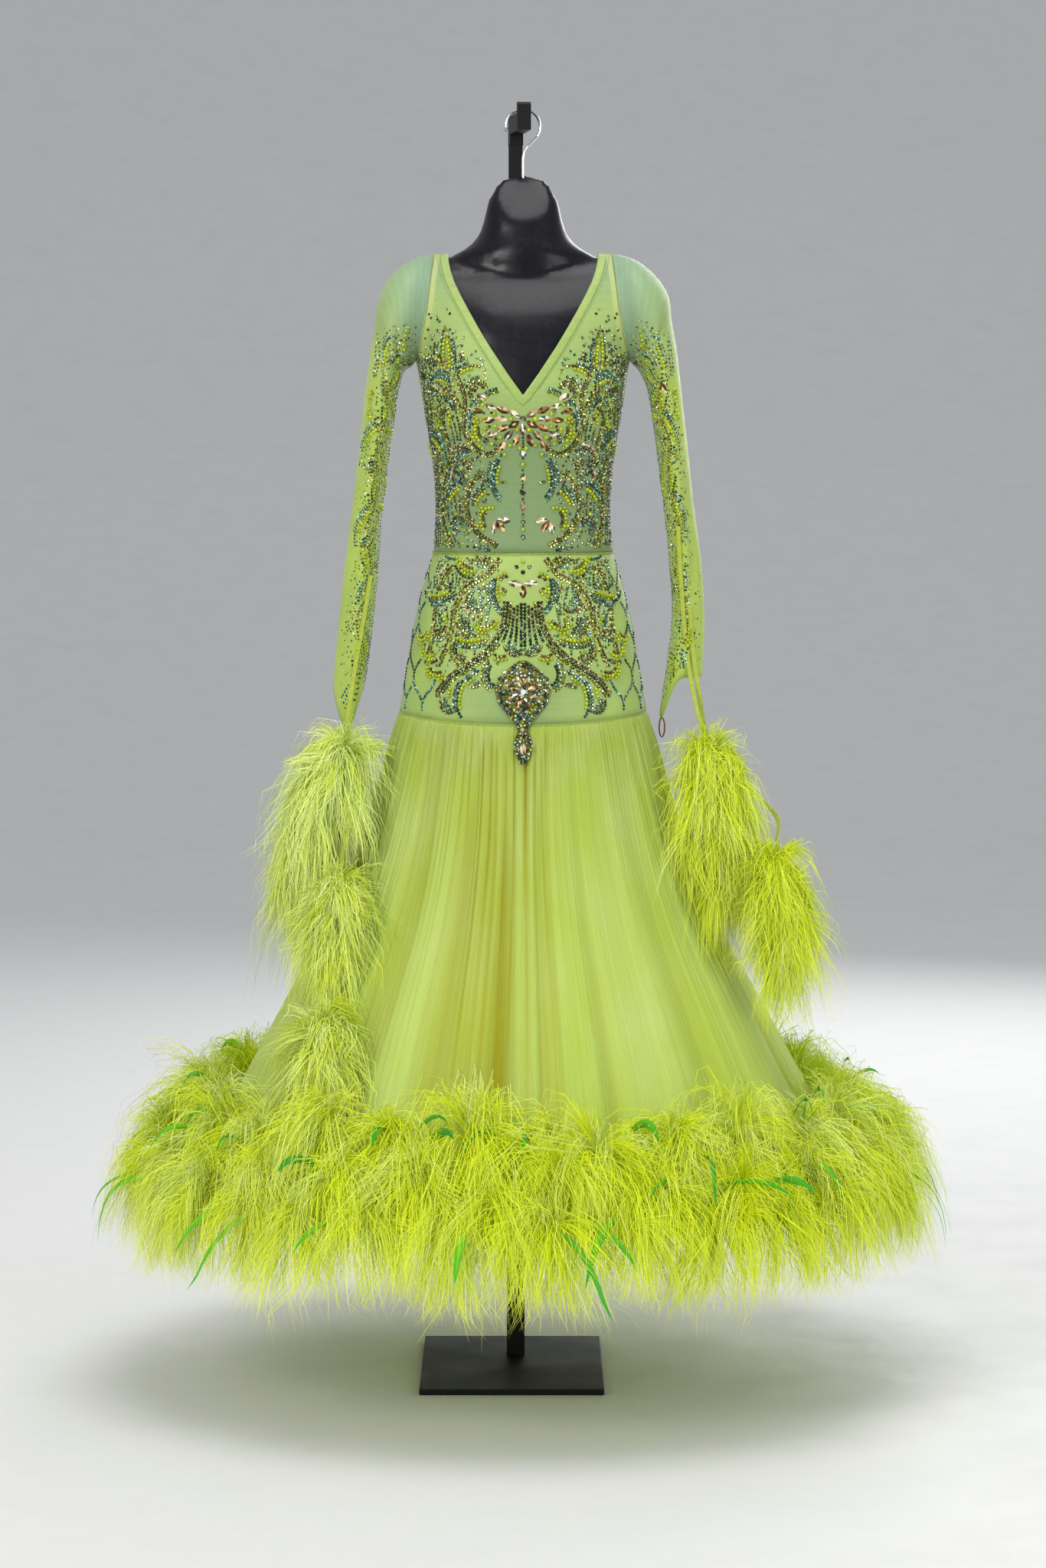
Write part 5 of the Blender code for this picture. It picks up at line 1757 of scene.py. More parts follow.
@dataclass
class Seams:
    """Rolled seams and the rows of small stitches beside them."""

    body: BodySurface
    sleeves: tuple[SleeveSurface, ...]
    stitch: float = 0.0016
    gap: float = 0.0024

    def paths(self) -> dict[str, tuple[Array, float, bool]]:
        """Each seam's points, radius and whether it closes.

        Returns:
            Those three for each seam's name.
        """
        turns = np.linspace(0, 2 * math.pi, 181)[:-1]
        hip = self.body.point(self.body.lowest_row(turns), turns, 0.0002)
        found = {"seam_hip": (hip, 0.0009, True)}
        for sleeve in self.sleeves:
            around = np.linspace(0, 1, 97)[:-1]
            label = sleeve.name.split("_")[1]
            found[f"seam_armhole_{label}"] = (
                sleeve.point(np.full(96, 0.006), around, -0.0001), 0.0008, True
            )
            found[f"seam_cuff_{label}"] = (
                sleeve.point(np.full(96, sleeve.last - 0.01), around, -0.0004), 0.0010, True
            )
        for side in Side:
            rows = np.linspace(float(self.body.row(0.9005)), ARMPIT_ROW - 0.05, 40)
            line = self.body.point(rows, np.full(40, side.value * math.pi / 2), 0.0001)
            found[f"seam_side_{side.name.lower()}"] = (line, 0.0007, False)
        return found

    def stitches(self, material: Material) -> Object:
        """Running stitches beside the hip seam, the armholes and the neckline.

        Args:
            material: Its finish.

        Returns:
            The piece.
        """
        lines = []
        turns = np.linspace(0, 2 * math.pi, 400)
        lines.append(self.body.point(self.body.lowest_row(turns) + 0.06, turns, 0.0003))
        for back in (False, True):
            x, z = neck_edge(self.body)
            for side in Side:
                keep = x > 0.004
                row = self.body.row(z[keep])
                turn = side.turned(self.body.turn_at(row, x[keep] + 0.0150), back)
                lines.append(self.body.point(row, turn, 0.0003))
        for sleeve in self.sleeves:
            around = np.linspace(0, 1, 300)
            lines.append(sleeve.point(np.full(300, 0.16), around, 0.0003))
            lines.append(sleeve.point(np.full(300, sleeve.last - 0.14), around, 0.0003))
        starts, ends = [], []
        for line in lines:
            lengths = run_of(line)
            first = np.arange(0, lengths[-1] - self.stitch, self.gap)
            for at, kept in ((first, starts), (first + self.stitch, ends)):
                kept.append(np.stack([np.interp(at, lengths, line[:, k]) for k in range(3)], 1))
        return strokes("stitches", np.concatenate(starts), np.concatenate(ends), 0.00028, material)

    def build(self, finishes: Finishes) -> list[Object]:
        """Every seam roll and the stitches.

        Args:
            finishes: All the finishes.

        Returns:
            The pieces.
        """
        made = []
        for name, (path, radius, closed) in self.paths().items():
            made.append(finished(tube_along(name, path, radius, 6, closed), finishes.seam))
        made.append(self.stitches(finishes.seam))
        return made


def strokes(name: str, starts: Array, ends: Array, radius: float, material: Material) -> Object:
    """Short three-sided strokes between pairs of places.

    Args:
        name: The piece's name.
        starts: Where each starts.
        ends: Where each ends.
        radius: Their radius.
        material: Their finish.

    Returns:
        All of them as one piece.
    """
    pattern = rod_pattern()
    along = ends - starts
    side = unit(np.cross(along, [0.3, 0.2, 1.0]))
    up = unit(np.cross(side, along))
    c = pattern.corners
    places = starts[:, None] + along[:, None] * c[None, :, 2:3]
    places = places + radius * (side[:, None] * c[None, :, 0:1] + up[:, None] * c[None, :, 1:2])
    return finished(joined_copies(name, pattern, places, True), material)


def rod_pattern() -> Pattern:
    """A short closed three-sided rod along z, one long.

    Returns:
        The rod's shape.
    """
    deselect()
    bpy.ops.mesh.primitive_cylinder_add(vertices=3, radius=1.0, depth=1.0, end_fill_type="NGON")
    made = bpy.context.active_object
    places = corners_of(made)
    places[:, 2] += 0.5
    move_corners(made, places)
    return Pattern.of(made)


@dataclass
class Ribbon:
    """A narrow satin ribbon that hangs in a soft curve."""

    name: str
    points: tuple[tuple[float, float | None, float], ...]
    carrier: Object
    width: float = 0.0060
    thickness: float = 0.0006
    feelers: tuple[float, ...] = (-0.0034, 0.0, 0.0034)
    stand_off: float = 0.0010

    def path(self) -> Array:
        """Its points, those without a y lying just in front of the sleeve.

        Returns:
            Points along its middle.
        """
        found = []
        for x, y, z in self.points:
            if y is None:
                hits = [
                    self.carrier.ray_cast(Vector((x + dx, -1.0, z)), Vector((0, 1, 0)))
                    for dx in self.feelers
                ]
                y = min(hit[1].y for hit in hits if hit[0]) - self.stand_off
            found.append((x, y, z))
        table = np.array(found)
        return catmull(table, np.linspace(0, len(table) - 1, 8 * (len(table) - 1) + 1))

    def build(self, material: Material) -> Object:
        """The ribbon as a thin shell.

        Args:
            material: Its finish.

        Returns:
            The piece.
        """
        path = self.path()
        steps = len(path) - 1
        made, across, up = grid("trim_" + self.name, 3, steps)
        tangent = unit(np.gradient(path, axis=0))
        facing = np.zeros_like(path)
        facing[0] = unit(np.cross(tangent[0], [0, 1, 0]))
        for i in range(1, len(path)):
            facing[i] = unit(facing[i - 1] - tangent[i] * (facing[i - 1] @ tangent[i]))
        i = np.rint(up * steps).astype(int)
        curl = np.cross(facing, tangent)
        bow = 0.0005 * (1 - (2 * across - 1) ** 2)
        places = path[i] + facing[i] * ((across - 0.5) * self.width)[:, None] + curl[i] * bow[:, None]
        move_corners(made, places)
        length = float(np.linalg.norm(np.diff(path, axis=0), axis=1).sum())
        set_uv(made, across * self.width, up * length)
        thicken(made, self.thickness)
        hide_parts(self.name)
        return finished(made, material)


STRAPS = {
    "strap_right": (
        (-0.2030, None, 1.0850), (-0.2120, None, 1.0300), (-0.2220, None, 0.9750),
        (-0.2320, -0.0620, 0.9050), (-0.2335, -0.0698, 0.8640), (-0.2270, -0.0698, 0.8480),
        (-0.2285, -0.0880, 0.8000), (-0.2420, -0.1456, 0.6850), (-0.2425, -0.1438, 0.6650),
        (-0.2445, -0.1560, 0.6000), (-0.2470, -0.1800, 0.5450), (-0.2490, -0.2120, 0.5200),
        (-0.2500, -0.2176, 0.5115),
    ),
    "strap_left_a": (
        (0.2060, None, 1.1500), (0.2100, None, 1.0850), (0.2150, None, 1.0200),
        (0.2210, None, 0.9650), (0.2330, -0.0655, 0.9000), (0.2440, -0.0700, 0.8750),
        (0.2445, -0.0706, 0.8600),
    ),
    "strap_left_b": (
        (0.2220, None, 1.0450), (0.2270, None, 0.9850), (0.2360, -0.0460, 0.9200),
        (0.2500, -0.0340, 0.8600), (0.2960, -0.0300, 0.8050), (0.3380, -0.0600, 0.7650),
        (0.3370, -0.1050, 0.7380), (0.3360, -0.1190, 0.7270), (0.3345, -0.1258, 0.7153),
    ),
}


# ---------------------------------------------------------------- stones
class Cut(Enum):
    """How a stone is cut, with its length as a share of its width."""

    ROUND = 1.0
    BEAD = 1.001
    NAVETTE = 2.0
    DROP = 1.6


class Tint(Enum):
    """The colours of the stones."""

    OLIVE = linear(124, 106, 4)
    PERIDOT = linear(172, 178, 30)
    FROST = linear(118, 164, 128)
    EMERALD = linear(8, 66, 44)
    TEAL = linear(20, 104, 112)
    LIME = linear(190, 206, 4)
    CHAMPAGNE = linear(228, 198, 138)
    AMBER = linear(178, 106, 30)
    CLEAR = linear(214, 222, 190)
    FOREST = linear(38, 60, 12)


def gem_pattern(cut: Cut) -> Pattern:
    """A stone about z, one wide, its flat back open against the cloth.

    Args:
        cut: How the stone is cut.

    Returns:
        The stone's shape.
    """
    deselect()
    if cut is Cut.BEAD:
        bpy.ops.mesh.primitive_ico_sphere_add(subdivisions=1, radius=0.56, location=(0, 0, 0.2))
        return Pattern.of(settled(bpy.context.active_object))
    sides = 6 if cut is Cut.ROUND else 8
    bpy.ops.mesh.primitive_circle_add(vertices=sides, radius=0.57, fill_type="NOTHING")
    made = lone(bpy.context.active_object)
    bpy.ops.object.mode_set(mode="EDIT")
    bpy.ops.mesh.select_all(action="SELECT")
    bpy.ops.mesh.extrude_region_move(TRANSFORM_OT_translate={"value": (0, 0, 0.34)})
    table = 0.52 if cut is Cut.ROUND else 0.30
    bpy.ops.transform.resize(value=(table, table, 1.0))
    bpy.ops.mesh.edge_face_add()
    bpy.ops.object.mode_set(mode="OBJECT")
    places = corners_of(made)
    if cut in (Cut.NAVETTE, Cut.DROP):
        share = places[:, 1] / np.abs(places[:, 1]).max()
        point = np.abs(share) if cut is Cut.NAVETTE else np.clip(share, 0, 1)
        places[:, 0] *= 1 - 0.30 * point**1.5
        places[:, 1] *= cut.value
        move_corners(made, places)
    return Pattern.of(made)


def settled(made: Object) -> Object:
    """Brings an object's place into its mesh.

    Args:
        made: The piece.

    Returns:
        The same object.
    """
    lone(made)
    bpy.ops.object.transform_apply(location=True, rotation=True, scale=True)
    return made


T = Tint
PITCH = 0.0044  # how far apart the small stones are set
CHEST = 1.36  # above this height the stones thin out
PENDANT_MIDDLE = 0.9330
LEAVES = (
    (T.FOREST, T.OLIVE, T.PERIDOT, T.FROST),
    (T.LIME, T.TEAL, T.FROST, T.FROST),
    (T.OLIVE, T.LIME, T.LIME, T.FOREST),
    (T.FROST, T.FROST, T.OLIVE, T.CHAMPAGNE),
    (T.LIME, T.PERIDOT, T.TEAL, T.FROST),
    (T.FOREST, T.FROST, T.PERIDOT, T.OLIVE),
)


@dataclass
class Layout:
    """Stones laid out in flat pattern coordinates, none on another."""

    seed: int
    rows: list[tuple[float, float, float, Cut, float, Tint]] = field(default_factory=list)
    cells: dict[tuple[int, int], list[tuple[float, float, float]]] = field(default_factory=dict)
    cell: float = 0.007
    closeness: float = 0.92
    mirrored: bool = True
    navette_scale: float = 1.24

    def free(self, s: float, z: float, radius: float) -> bool:
        """Whether a stone fits at a place.

        Args:
            s: Across.
            z: Up.
            radius: Half its width.

        Returns:
            Whether no other stone is in the way.
        """
        a, b = int(s // self.cell), int(z // self.cell)
        for i in (a - 1, a, a + 1):
            for j in (b - 1, b, b + 1):
                for other_s, other_z, other in self.cells.get((i, j), ()):
                    if (other_s - s) ** 2 + (other_z - z) ** 2 < ((radius + other) * self.closeness) ** 2:
                        return False
        return True

    def take(self, s: float, z: float, radius: float) -> None:
        """Marks a place as used."""
        self.cells.setdefault((int(s // self.cell), int(z // self.cell)), []).append((s, z, radius))

    def put(
        self, s: float, z: float, size: float, tint: Tint, cut: Cut = Cut.ROUND, heading: float = 0.0
    ) -> None:
        """Sets one stone and its mirror image, where there is room.

        Args:
            s: Across.
            z: Up.
            size: Its width.
            tint: Its colour.
            cut: Its cut.
            heading: Which way it points, in radians.
        """
        for sign in (1, -1) if self.mirrored and abs(s) > size * 0.45 else (1,):
            place = sign * s
            if not self.free(place, z, size / 2):
                continue
            self.take(place, z, size / 2)
            self.rows.append((place, z, size, cut, sign * heading, tint))
            if cut in (Cut.NAVETTE, Cut.DROP):
                for end in (-0.55, 0.55):
                    self.take(
                        place - math.sin(sign * heading) * size * end, z + math.cos(heading) * size * end,
                        size * 0.42,
                    )

    def chain(self, path: Array, tints: tuple[Tint, ...], size: float = 0.0044, gap: float = 1.02) -> None:
        """A row of stones along a path, its colours following each other; lime ones are larger beads.

        Args:
            path: Its course, across and up.
            tints: The colours, in order.
            size: A stone's width.
            gap: From one stone to the next, as a share of a stone.
        """
        lengths = run_of(path)
        at = size * 0.5
        while at < lengths[-1]:
            tint = tints[min(len(tints) - 1, int(at / lengths[-1] * len(tints)))]
            bead = tint is Tint.LIME
            wide = size * (1.14 if bead else 1.0)
            place = float(np.interp(at, lengths, path[:, 0])), float(np.interp(at, lengths, path[:, 1]))
            self.put(*place, wide, tint, Cut.BEAD if bead else Cut.ROUND)
            at += wide * gap

    def leaf(
        self,
        start: tuple[float, float],
        heading: float,
        length: float,
        curl: float,
        width: float,
        tints: tuple[Tint, ...],
        tail: float = 1.5,
    ) -> None:
        """A curling leaf filled with parallel rows, drawn out to a single row at its tip.

        Args:
            start: Where it starts, across and up.
            heading: Its first direction in degrees, 0 straight up and growing away from the centre line.
            length: Its length.
            curl: How far it turns in all, in degrees.
            width: Its greatest width.
            tints: The colours of its rows, from the side that it curls to.
            tail: How fast it turns towards its end.
        """
        steps = np.linspace(0, 1, 70)
        turn = np.radians(heading + curl * steps**tail)
        path = np.stack([np.cumsum(np.sin(turn)), np.cumsum(np.cos(turn))], 1)
        path = path * length / 70 + np.array(start)
        normal = np.stack([np.cos(turn), -np.sin(turn)], 1) * (1 if curl > 0 else -1)
        half = width * 0.55 * np.interp(steps, (0, 0.12, 0.38, 0.75, 1), (0.35, 0.85, 1.0, 0.62, 0.16))
        rows = max(1, int(round(width * 1.1 / PITCH)))
        for r in range(rows):
            offset = ((rows - 1) / 2 - r) * PITCH
            line = (path + normal * offset)[half >= abs(offset) - 0.0004]
            if len(line) > 3:
                self.chain(line, (tints[r * len(tints) // rows],))

    def branch(
        self,
        points: tuple[tuple[float, float], ...],
        leaves: int,
        length: float,
        width: float,
        first: int,
        spin: float = 135.0,
        stem: tuple[Tint, ...] = (Tint.OLIVE, Tint.PERIDOT),
    ) -> None:
        """A stem of two rows with leaves that curl away from it on alternate sides.

        Args:
            points: The stem's course.
            leaves: How many leaves it has.
            length: A leaf's length at the middle of the stem.
            width: A leaf's greatest width.
            first: The first leaf's colours and side.
            spin: How far a leaf curls, in degrees.
            stem: The stem's colours.
        """
        table = np.array(points)
        path = catmull(table, np.linspace(0, len(table) - 1, 90))
        way = np.gradient(path, axis=0)
        way /= np.linalg.norm(way, axis=1, keepdims=True)
        normal = np.stack([way[:, 1], -way[:, 0]], 1)
        for k, tint in enumerate(stem):
            self.chain(path + normal * (k - (len(stem) - 1) / 2) * PITCH, (tint,))
        for k in range(leaves):
            i = int(89 * (0.06 + 0.88 * k / max(leaves - 1, 1)))
            side = 1 if (k + first) % 2 else -1
            heading = math.degrees(math.atan2(way[i, 0], way[i, 1]))
            size = 0.72 + 0.40 * math.sin(math.pi * (k + 0.7) / (leaves + 0.4))
            place = path[i] + normal[i] * side * (PITCH * 0.5 * len(stem) + width * 0.30)
            tints = LEAVES[(k + first) % len(LEAVES)]
            grow, twist, lean = ((0.95, 1.5, 10), (1.35, 0.55, 30), (1.1, 1.0, 20))[(k + first) % 3]
            self.leaf(
                tuple(place), heading + side * lean, length * size * grow, side * spin * twist,
                width * (0.8 + 0.2 * size), tints,
            )

    def fan(
        self, centre: tuple[float, float], reach: float, angles: tuple[float, ...], size: float,
        tints: tuple[Tint, ...],
    ) -> None:
        """Navettes that point away from a centre; angles in degrees, 0 straight up.

        Args:
            centre: Where they point away from.
            reach: How far off the centre they sit.
            angles: Where each one sits.
            size: A navette's width before it is scaled.
            tints: The colours, in order.
        """
        size *= self.navette_scale
        for i, degrees in enumerate(angles):
            angle = math.radians(degrees)
            place = centre[0] + math.sin(angle) * reach, centre[1] + math.cos(angle) * reach
            self.put(*place, size, tints[i % len(tints)], Cut.NAVETTE, -angle)

    def lattice(
        self, low: float, high: float, near: float, far: float, cell: tuple[float, float],
        tints: tuple[Tint, ...],
    ) -> None:
        """Wavy lines that meet and part as a net of long diamonds.

        Args:
            low: The lower end.
            high: The upper end.
            near: Where the first row stands, from the centre line.
            far: Where the last row stands.
            cell: How wide and how high half a diamond is.
            tints: The colours, in order.
        """
        z = np.linspace(low, high, 160)
        for k in range(int((far - near) / cell[0]) + 1):
            wave = np.cos(z / cell[1] * math.pi + k * math.pi)
            swing = cell[0] / 2 * np.sign(wave) * np.abs(wave) ** 0.8
            self.chain(np.stack([near + k * cell[0] + swing, z], 1), tints, 0.0040, 1.14)

    def lines(
        self, low: float, high: float, near: float, far: float, lean: float, first: int, gap: float = 1.12
    ) -> None:
        """Wavy upright rows that fill what room is left.

        Args:
            low: Where the rows start.
            high: Where they end.
            near: Where the first row stands, from the centre line.
            far: Where the last row stands.
            lean: How much the rows lean outwards.
            first: The first row's colours.
            gap: From one stone to the next, as a share of a stone.
        """
        z = np.linspace(low, high, 120)
        for k in range(int((far - near) / (PITCH * 1.25)) + 1):
            s = near + k * PITCH * 1.25 + lean * (z - low)
            s = s + 0.0042 * np.sin(z * 58 + 0.55 * k) + 0.0050 * np.cos(z * 23)
            tints = LEAVES[(k // 2 + first) % len(LEAVES)]
            self.chain(np.stack([s, z], 1), tuple(t for t in tints if t is not Tint.LIME), 0.0038, gap)

    def fill(
        self, inside: Callable[[float, float], float], size: tuple[float, float], tints: tuple[Tint, ...],
        box: tuple[float, ...], tries: int,
    ) -> None:
        """Scattered stones wherever there is room and a rule allows them.

        Args:
            inside: A rule that gives the chance of a stone at a place.
            size: The least and the greatest width.
            tints: The colours, in order.
            box: The area: least and most across, least and most up.
            tries: How many places are tried.
        """
        rng = np.random.default_rng(self.seed)
        low_s, high_s, low_z, high_z = box
        for _ in range(tries):
            s, z = rng.uniform(low_s, high_s), rng.uniform(low_z, high_z)
            chance, wide, pick = rng.uniform(), rng.uniform(*size), int(rng.integers(len(tints)))
            if chance < inside(s, z):
                self.put(s, z, wide, tints[pick])


@dataclass
class StoneWork:
    """Sets a layout's stones on a ground."""

    ground: BodyGround | SleeveSurface | PendantGround
    limit: Rule
    ceiling: float = 1.50

    def build(self, name: str, layout: Layout, material: Material, patterns: dict[Cut, Pattern]) -> None:
        """One piece for each cut of stone.

        Args:
            name: The pieces' name.
            layout: The stones.
            material: Their finish.
            patterns: Each cut's shape.
        """
        rng = np.random.default_rng(layout.seed)
        for cut in Cut:
            rows = [row for row in layout.rows if row[3] is cut and self.limit(row[0], row[1])]
            if not rows:
                continue
            s, z, size, heading = (np.array([row[k] for row in rows]) for k in (0, 1, 2, 4))
            places, normal, across = self.ground.place(s, z, 0.00015)
            low = places[:, 2] < self.ceiling + 0.006 * np.sin(s * 260)
            rows = [row for row, kept in zip(rows, low) if kept]
            places, normal, across = places[low], normal[low], across[low]
            size, heading = size[low], heading[low]
            n = len(rows)
            normal = unit(normal + rng.normal(0, 0.07, (n, 3)))
            across = unit(across - normal * (across * normal).sum(1, keepdims=True))
            up = np.cross(normal, across)
            c = patterns[cut].corners
            spin = heading if cut in (Cut.NAVETTE, Cut.DROP) else rng.uniform(0, 2 * math.pi, n)
            x = np.cos(spin)[:, None] * c[None, :, 0] - np.sin(spin)[:, None] * c[None, :, 1]
            y = np.sin(spin)[:, None] * c[None, :, 0] + np.cos(spin)[:, None] * c[None, :, 1]
            corner = places[:, None] + size[:, None, None] * (
                x[..., None] * across[:, None]
                + y[..., None] * up[:, None]
                + c[None, :, 2:3] * normal[:, None]
            )
            made = joined_copies(f"{name}_{cut.name.lower()}", patterns[cut], corner, cut is Cut.BEAD)
            self.colour(made, rows, patterns[cut], rng)
            finished(made, material)

    @staticmethod
    def colour(made: Object, rows: list, pattern: Pattern, rng: np.random.Generator) -> None:
        """Gives each stone its colour and paints light and shade on each of its facets: painted highlights,
        whitened on the brightest facets, and painted dark reflections.

        Args:
            made: The stones as one piece.
            rows: The stones.
            pattern: The shape that is copied.
            rng: Where its chances come from.
        """
        facets = np.array([len(face) for face in pattern.faces])
        n, count = len(rows), len(facets)
        tint = np.array([row[5].value for row in rows])[:, None, :3] * rng.uniform(0.75, 1.2, (n, 1, 1))
        # beads: each facet painted a little lighter or darker, a painted shading
        if rows[0][3] is Cut.BEAD:
            shade = tint * rng.uniform(0.72, 1.08, (n, count, 1))
        else:
            long = rows[0][3] in (Cut.NAVETTE, Cut.DROP)
            odds = [0.16, 0.22, 0.16, 0.20, 0.26] if long else [0.28, 0.24, 0.20, 0.16, 0.12]
            # painted light on each side facet, from nearly black painted reflections to painted highlights
            painted_facet_light = rng.choice([0.05, 0.16, 0.45, 1.0, 2.1], (n, count, 1), p=odds)
            # one painted brightness for each stone's large table facet
            face = rng.choice(
                [0.35, 0.9, 2.1], (n, 1, 1), p=[0.15, 0.3, 0.55] if long else [0.4, 0.33, 0.27]
            )
            painted_facet_light = np.where(facets[None, :, None] > 4, face, painted_facet_light)
            # painted highlights brighter than the stone's colour are whitened
            shade = tint * painted_facet_light + np.clip(painted_facet_light - 1.0, 0, 1) * np.array([0.40, 0.42, 0.30])
        shade = np.concatenate([np.clip(shade, 0, 1), np.ones((n, count, 1))], 2)
        layer = made.data.attributes.new("tint", "FLOAT_COLOR", "CORNER")
        layer.data.foreach_set(
            "color", np.repeat(shade.reshape(-1, 4), np.tile(facets, n), axis=0).astype(np.float32).ravel()
        )


def bodice_front_layout() -> Layout:
    """Stems with curling leaves, fans of navettes and a centre line for the front of the bodice, mirrored.

    Returns:
        The layout.
    """
    lay = Layout(11)
    centre = (0.0, 1.291)
    lay.put(*centre, 0.0080, T.CLEAR)
    lay.fan(centre, 0.0135, (60, 120, 180), 0.0064, (T.CHAMPAGNE, T.AMBER))
    lay.fan(centre, 0.0290, (66, 90, 114, 138, 162), 0.0066, (T.AMBER, T.CHAMPAGNE))
    lay.fan(centre, 0.0460, (70, 92, 116, 142), 0.0064, (T.CHAMPAGNE, T.AMBER))
    lay.fan(centre, 0.0620, (62, 80), 0.0058, (T.CHAMPAGNE, T.AMBER))
    for reach, angles, size in (
        (0.0160, (90, 150), 0.0064), (0.0250, (78, 102, 126, 150, 174), 0.0062),
        (0.0380, (80, 104, 128, 154, 174), 0.0058), (0.0520, (72, 86, 104, 128, 152), 0.0056),
    ):
        for degrees in angles:
            angle = math.radians(degrees)
            lay.put(math.sin(angle) * reach, centre[1] + math.cos(angle) * reach, size, T.LIME, Cut.BEAD)
    for z, size, cut, tint in (
        (1.246, 0.0085, Cut.ROUND, T.CLEAR),
        (1.232, 0.0064, Cut.BEAD, T.LIME),
        (1.214, 0.0072, Cut.DROP, T.CHAMPAGNE),
        (1.196, 0.0082, Cut.ROUND, T.FOREST),
        (1.176, 0.0070, Cut.NAVETTE, T.CHAMPAGNE),
        (1.156, 0.0056, Cut.ROUND, T.FOREST),
        (1.146, 0.0052, Cut.BEAD, T.LIME),
        (1.136, 0.0060, Cut.ROUND, T.EMERALD),
    ):
        lay.put(0.0, z, size, tint, cut)
    lay.chain(np.array([(0.0, 1.272), (0.0, 1.130)]), (T.FOREST, T.OLIVE), 0.0032, 1.2)
    lay.branch(
        ((0.018, 1.268), (0.040, 1.246), (0.062, 1.250), (0.082, 1.280), (0.080, 1.318), (0.094, 1.352)), 8,
        0.048, 0.0150, 0, 150,
    )
    lay.branch(
        ((0.034, 1.124), (0.062, 1.142), (0.078, 1.176), (0.066, 1.212), (0.040, 1.222)), 7, 0.042, 0.0130,
        1, 145,
    )
    lay.branch(
        (
            (0.100, 1.122), (0.124, 1.160), (0.122, 1.206), (0.106, 1.244), (0.118, 1.288), (0.112, 1.334),
            (0.120, 1.376),
        ),
        10, 0.046, 0.0140, 2, 140,
    )
    lay.branch(
        ((0.150, 1.124), (0.152, 1.180), (0.148, 1.240), (0.150, 1.300), (0.146, 1.352)), 9, 0.034, 0.0110,
        3, 130,
    )
    for start, heading, long, curl, wide, first in (
        ((0.098, 1.352), -6, 0.062, 34, 0.0110, 4),
        ((0.112, 1.350), 4, 0.058, -26, 0.0090, 1),
        ((0.126, 1.352), 6, 0.046, -40, 0.0090, 3),
        ((0.086, 1.346), -22, 0.040, 60, 0.0080, 0),
    ):
        lay.leaf(start, heading, long, curl, wide, LEAVES[first])
    lay.fan((0.036, 1.160), 0.011, (170, 215, 260), 0.0066, (T.CHAMPAGNE, T.AMBER))
    lay.fan((0.104, 1.226), 0.010, (90, 140, 190), 0.0056, (T.AMBER, T.CHAMPAGNE))
    lay.lines(1.124, 1.372, 0.094, 0.178, 0.0, 2)

    def dense(s: float, z: float) -> float:
        """Fullest at the sides and under the bust, none near the centre of the midriff."""
        side = min(1.0, max(0.0, (abs(s) - 0.040) / 0.04))
        return side * (1.0 if z < CHEST else max(0.0, 1 - (z - CHEST) / 0.05) * 0.5)

    lay.fill(
        dense, (0.0031, 0.0040), (T.PERIDOT, T.OLIVE, T.FROST, T.FOREST, T.PERIDOT),
        (0.02, 0.175, 1.122, 1.41), 2400,
    )

    def sparse(s: float, z: float) -> float:
        """A few single stones on the upper chest."""
        return 0.9 * max(0.0, 1 - (z - CHEST) / 0.11)

    lay.fill(sparse, (0.0032, 0.0042), (T.FOREST, T.FROST, T.EMERALD), (0.045, 0.14, 1.36, 1.47), 190)
    return lay


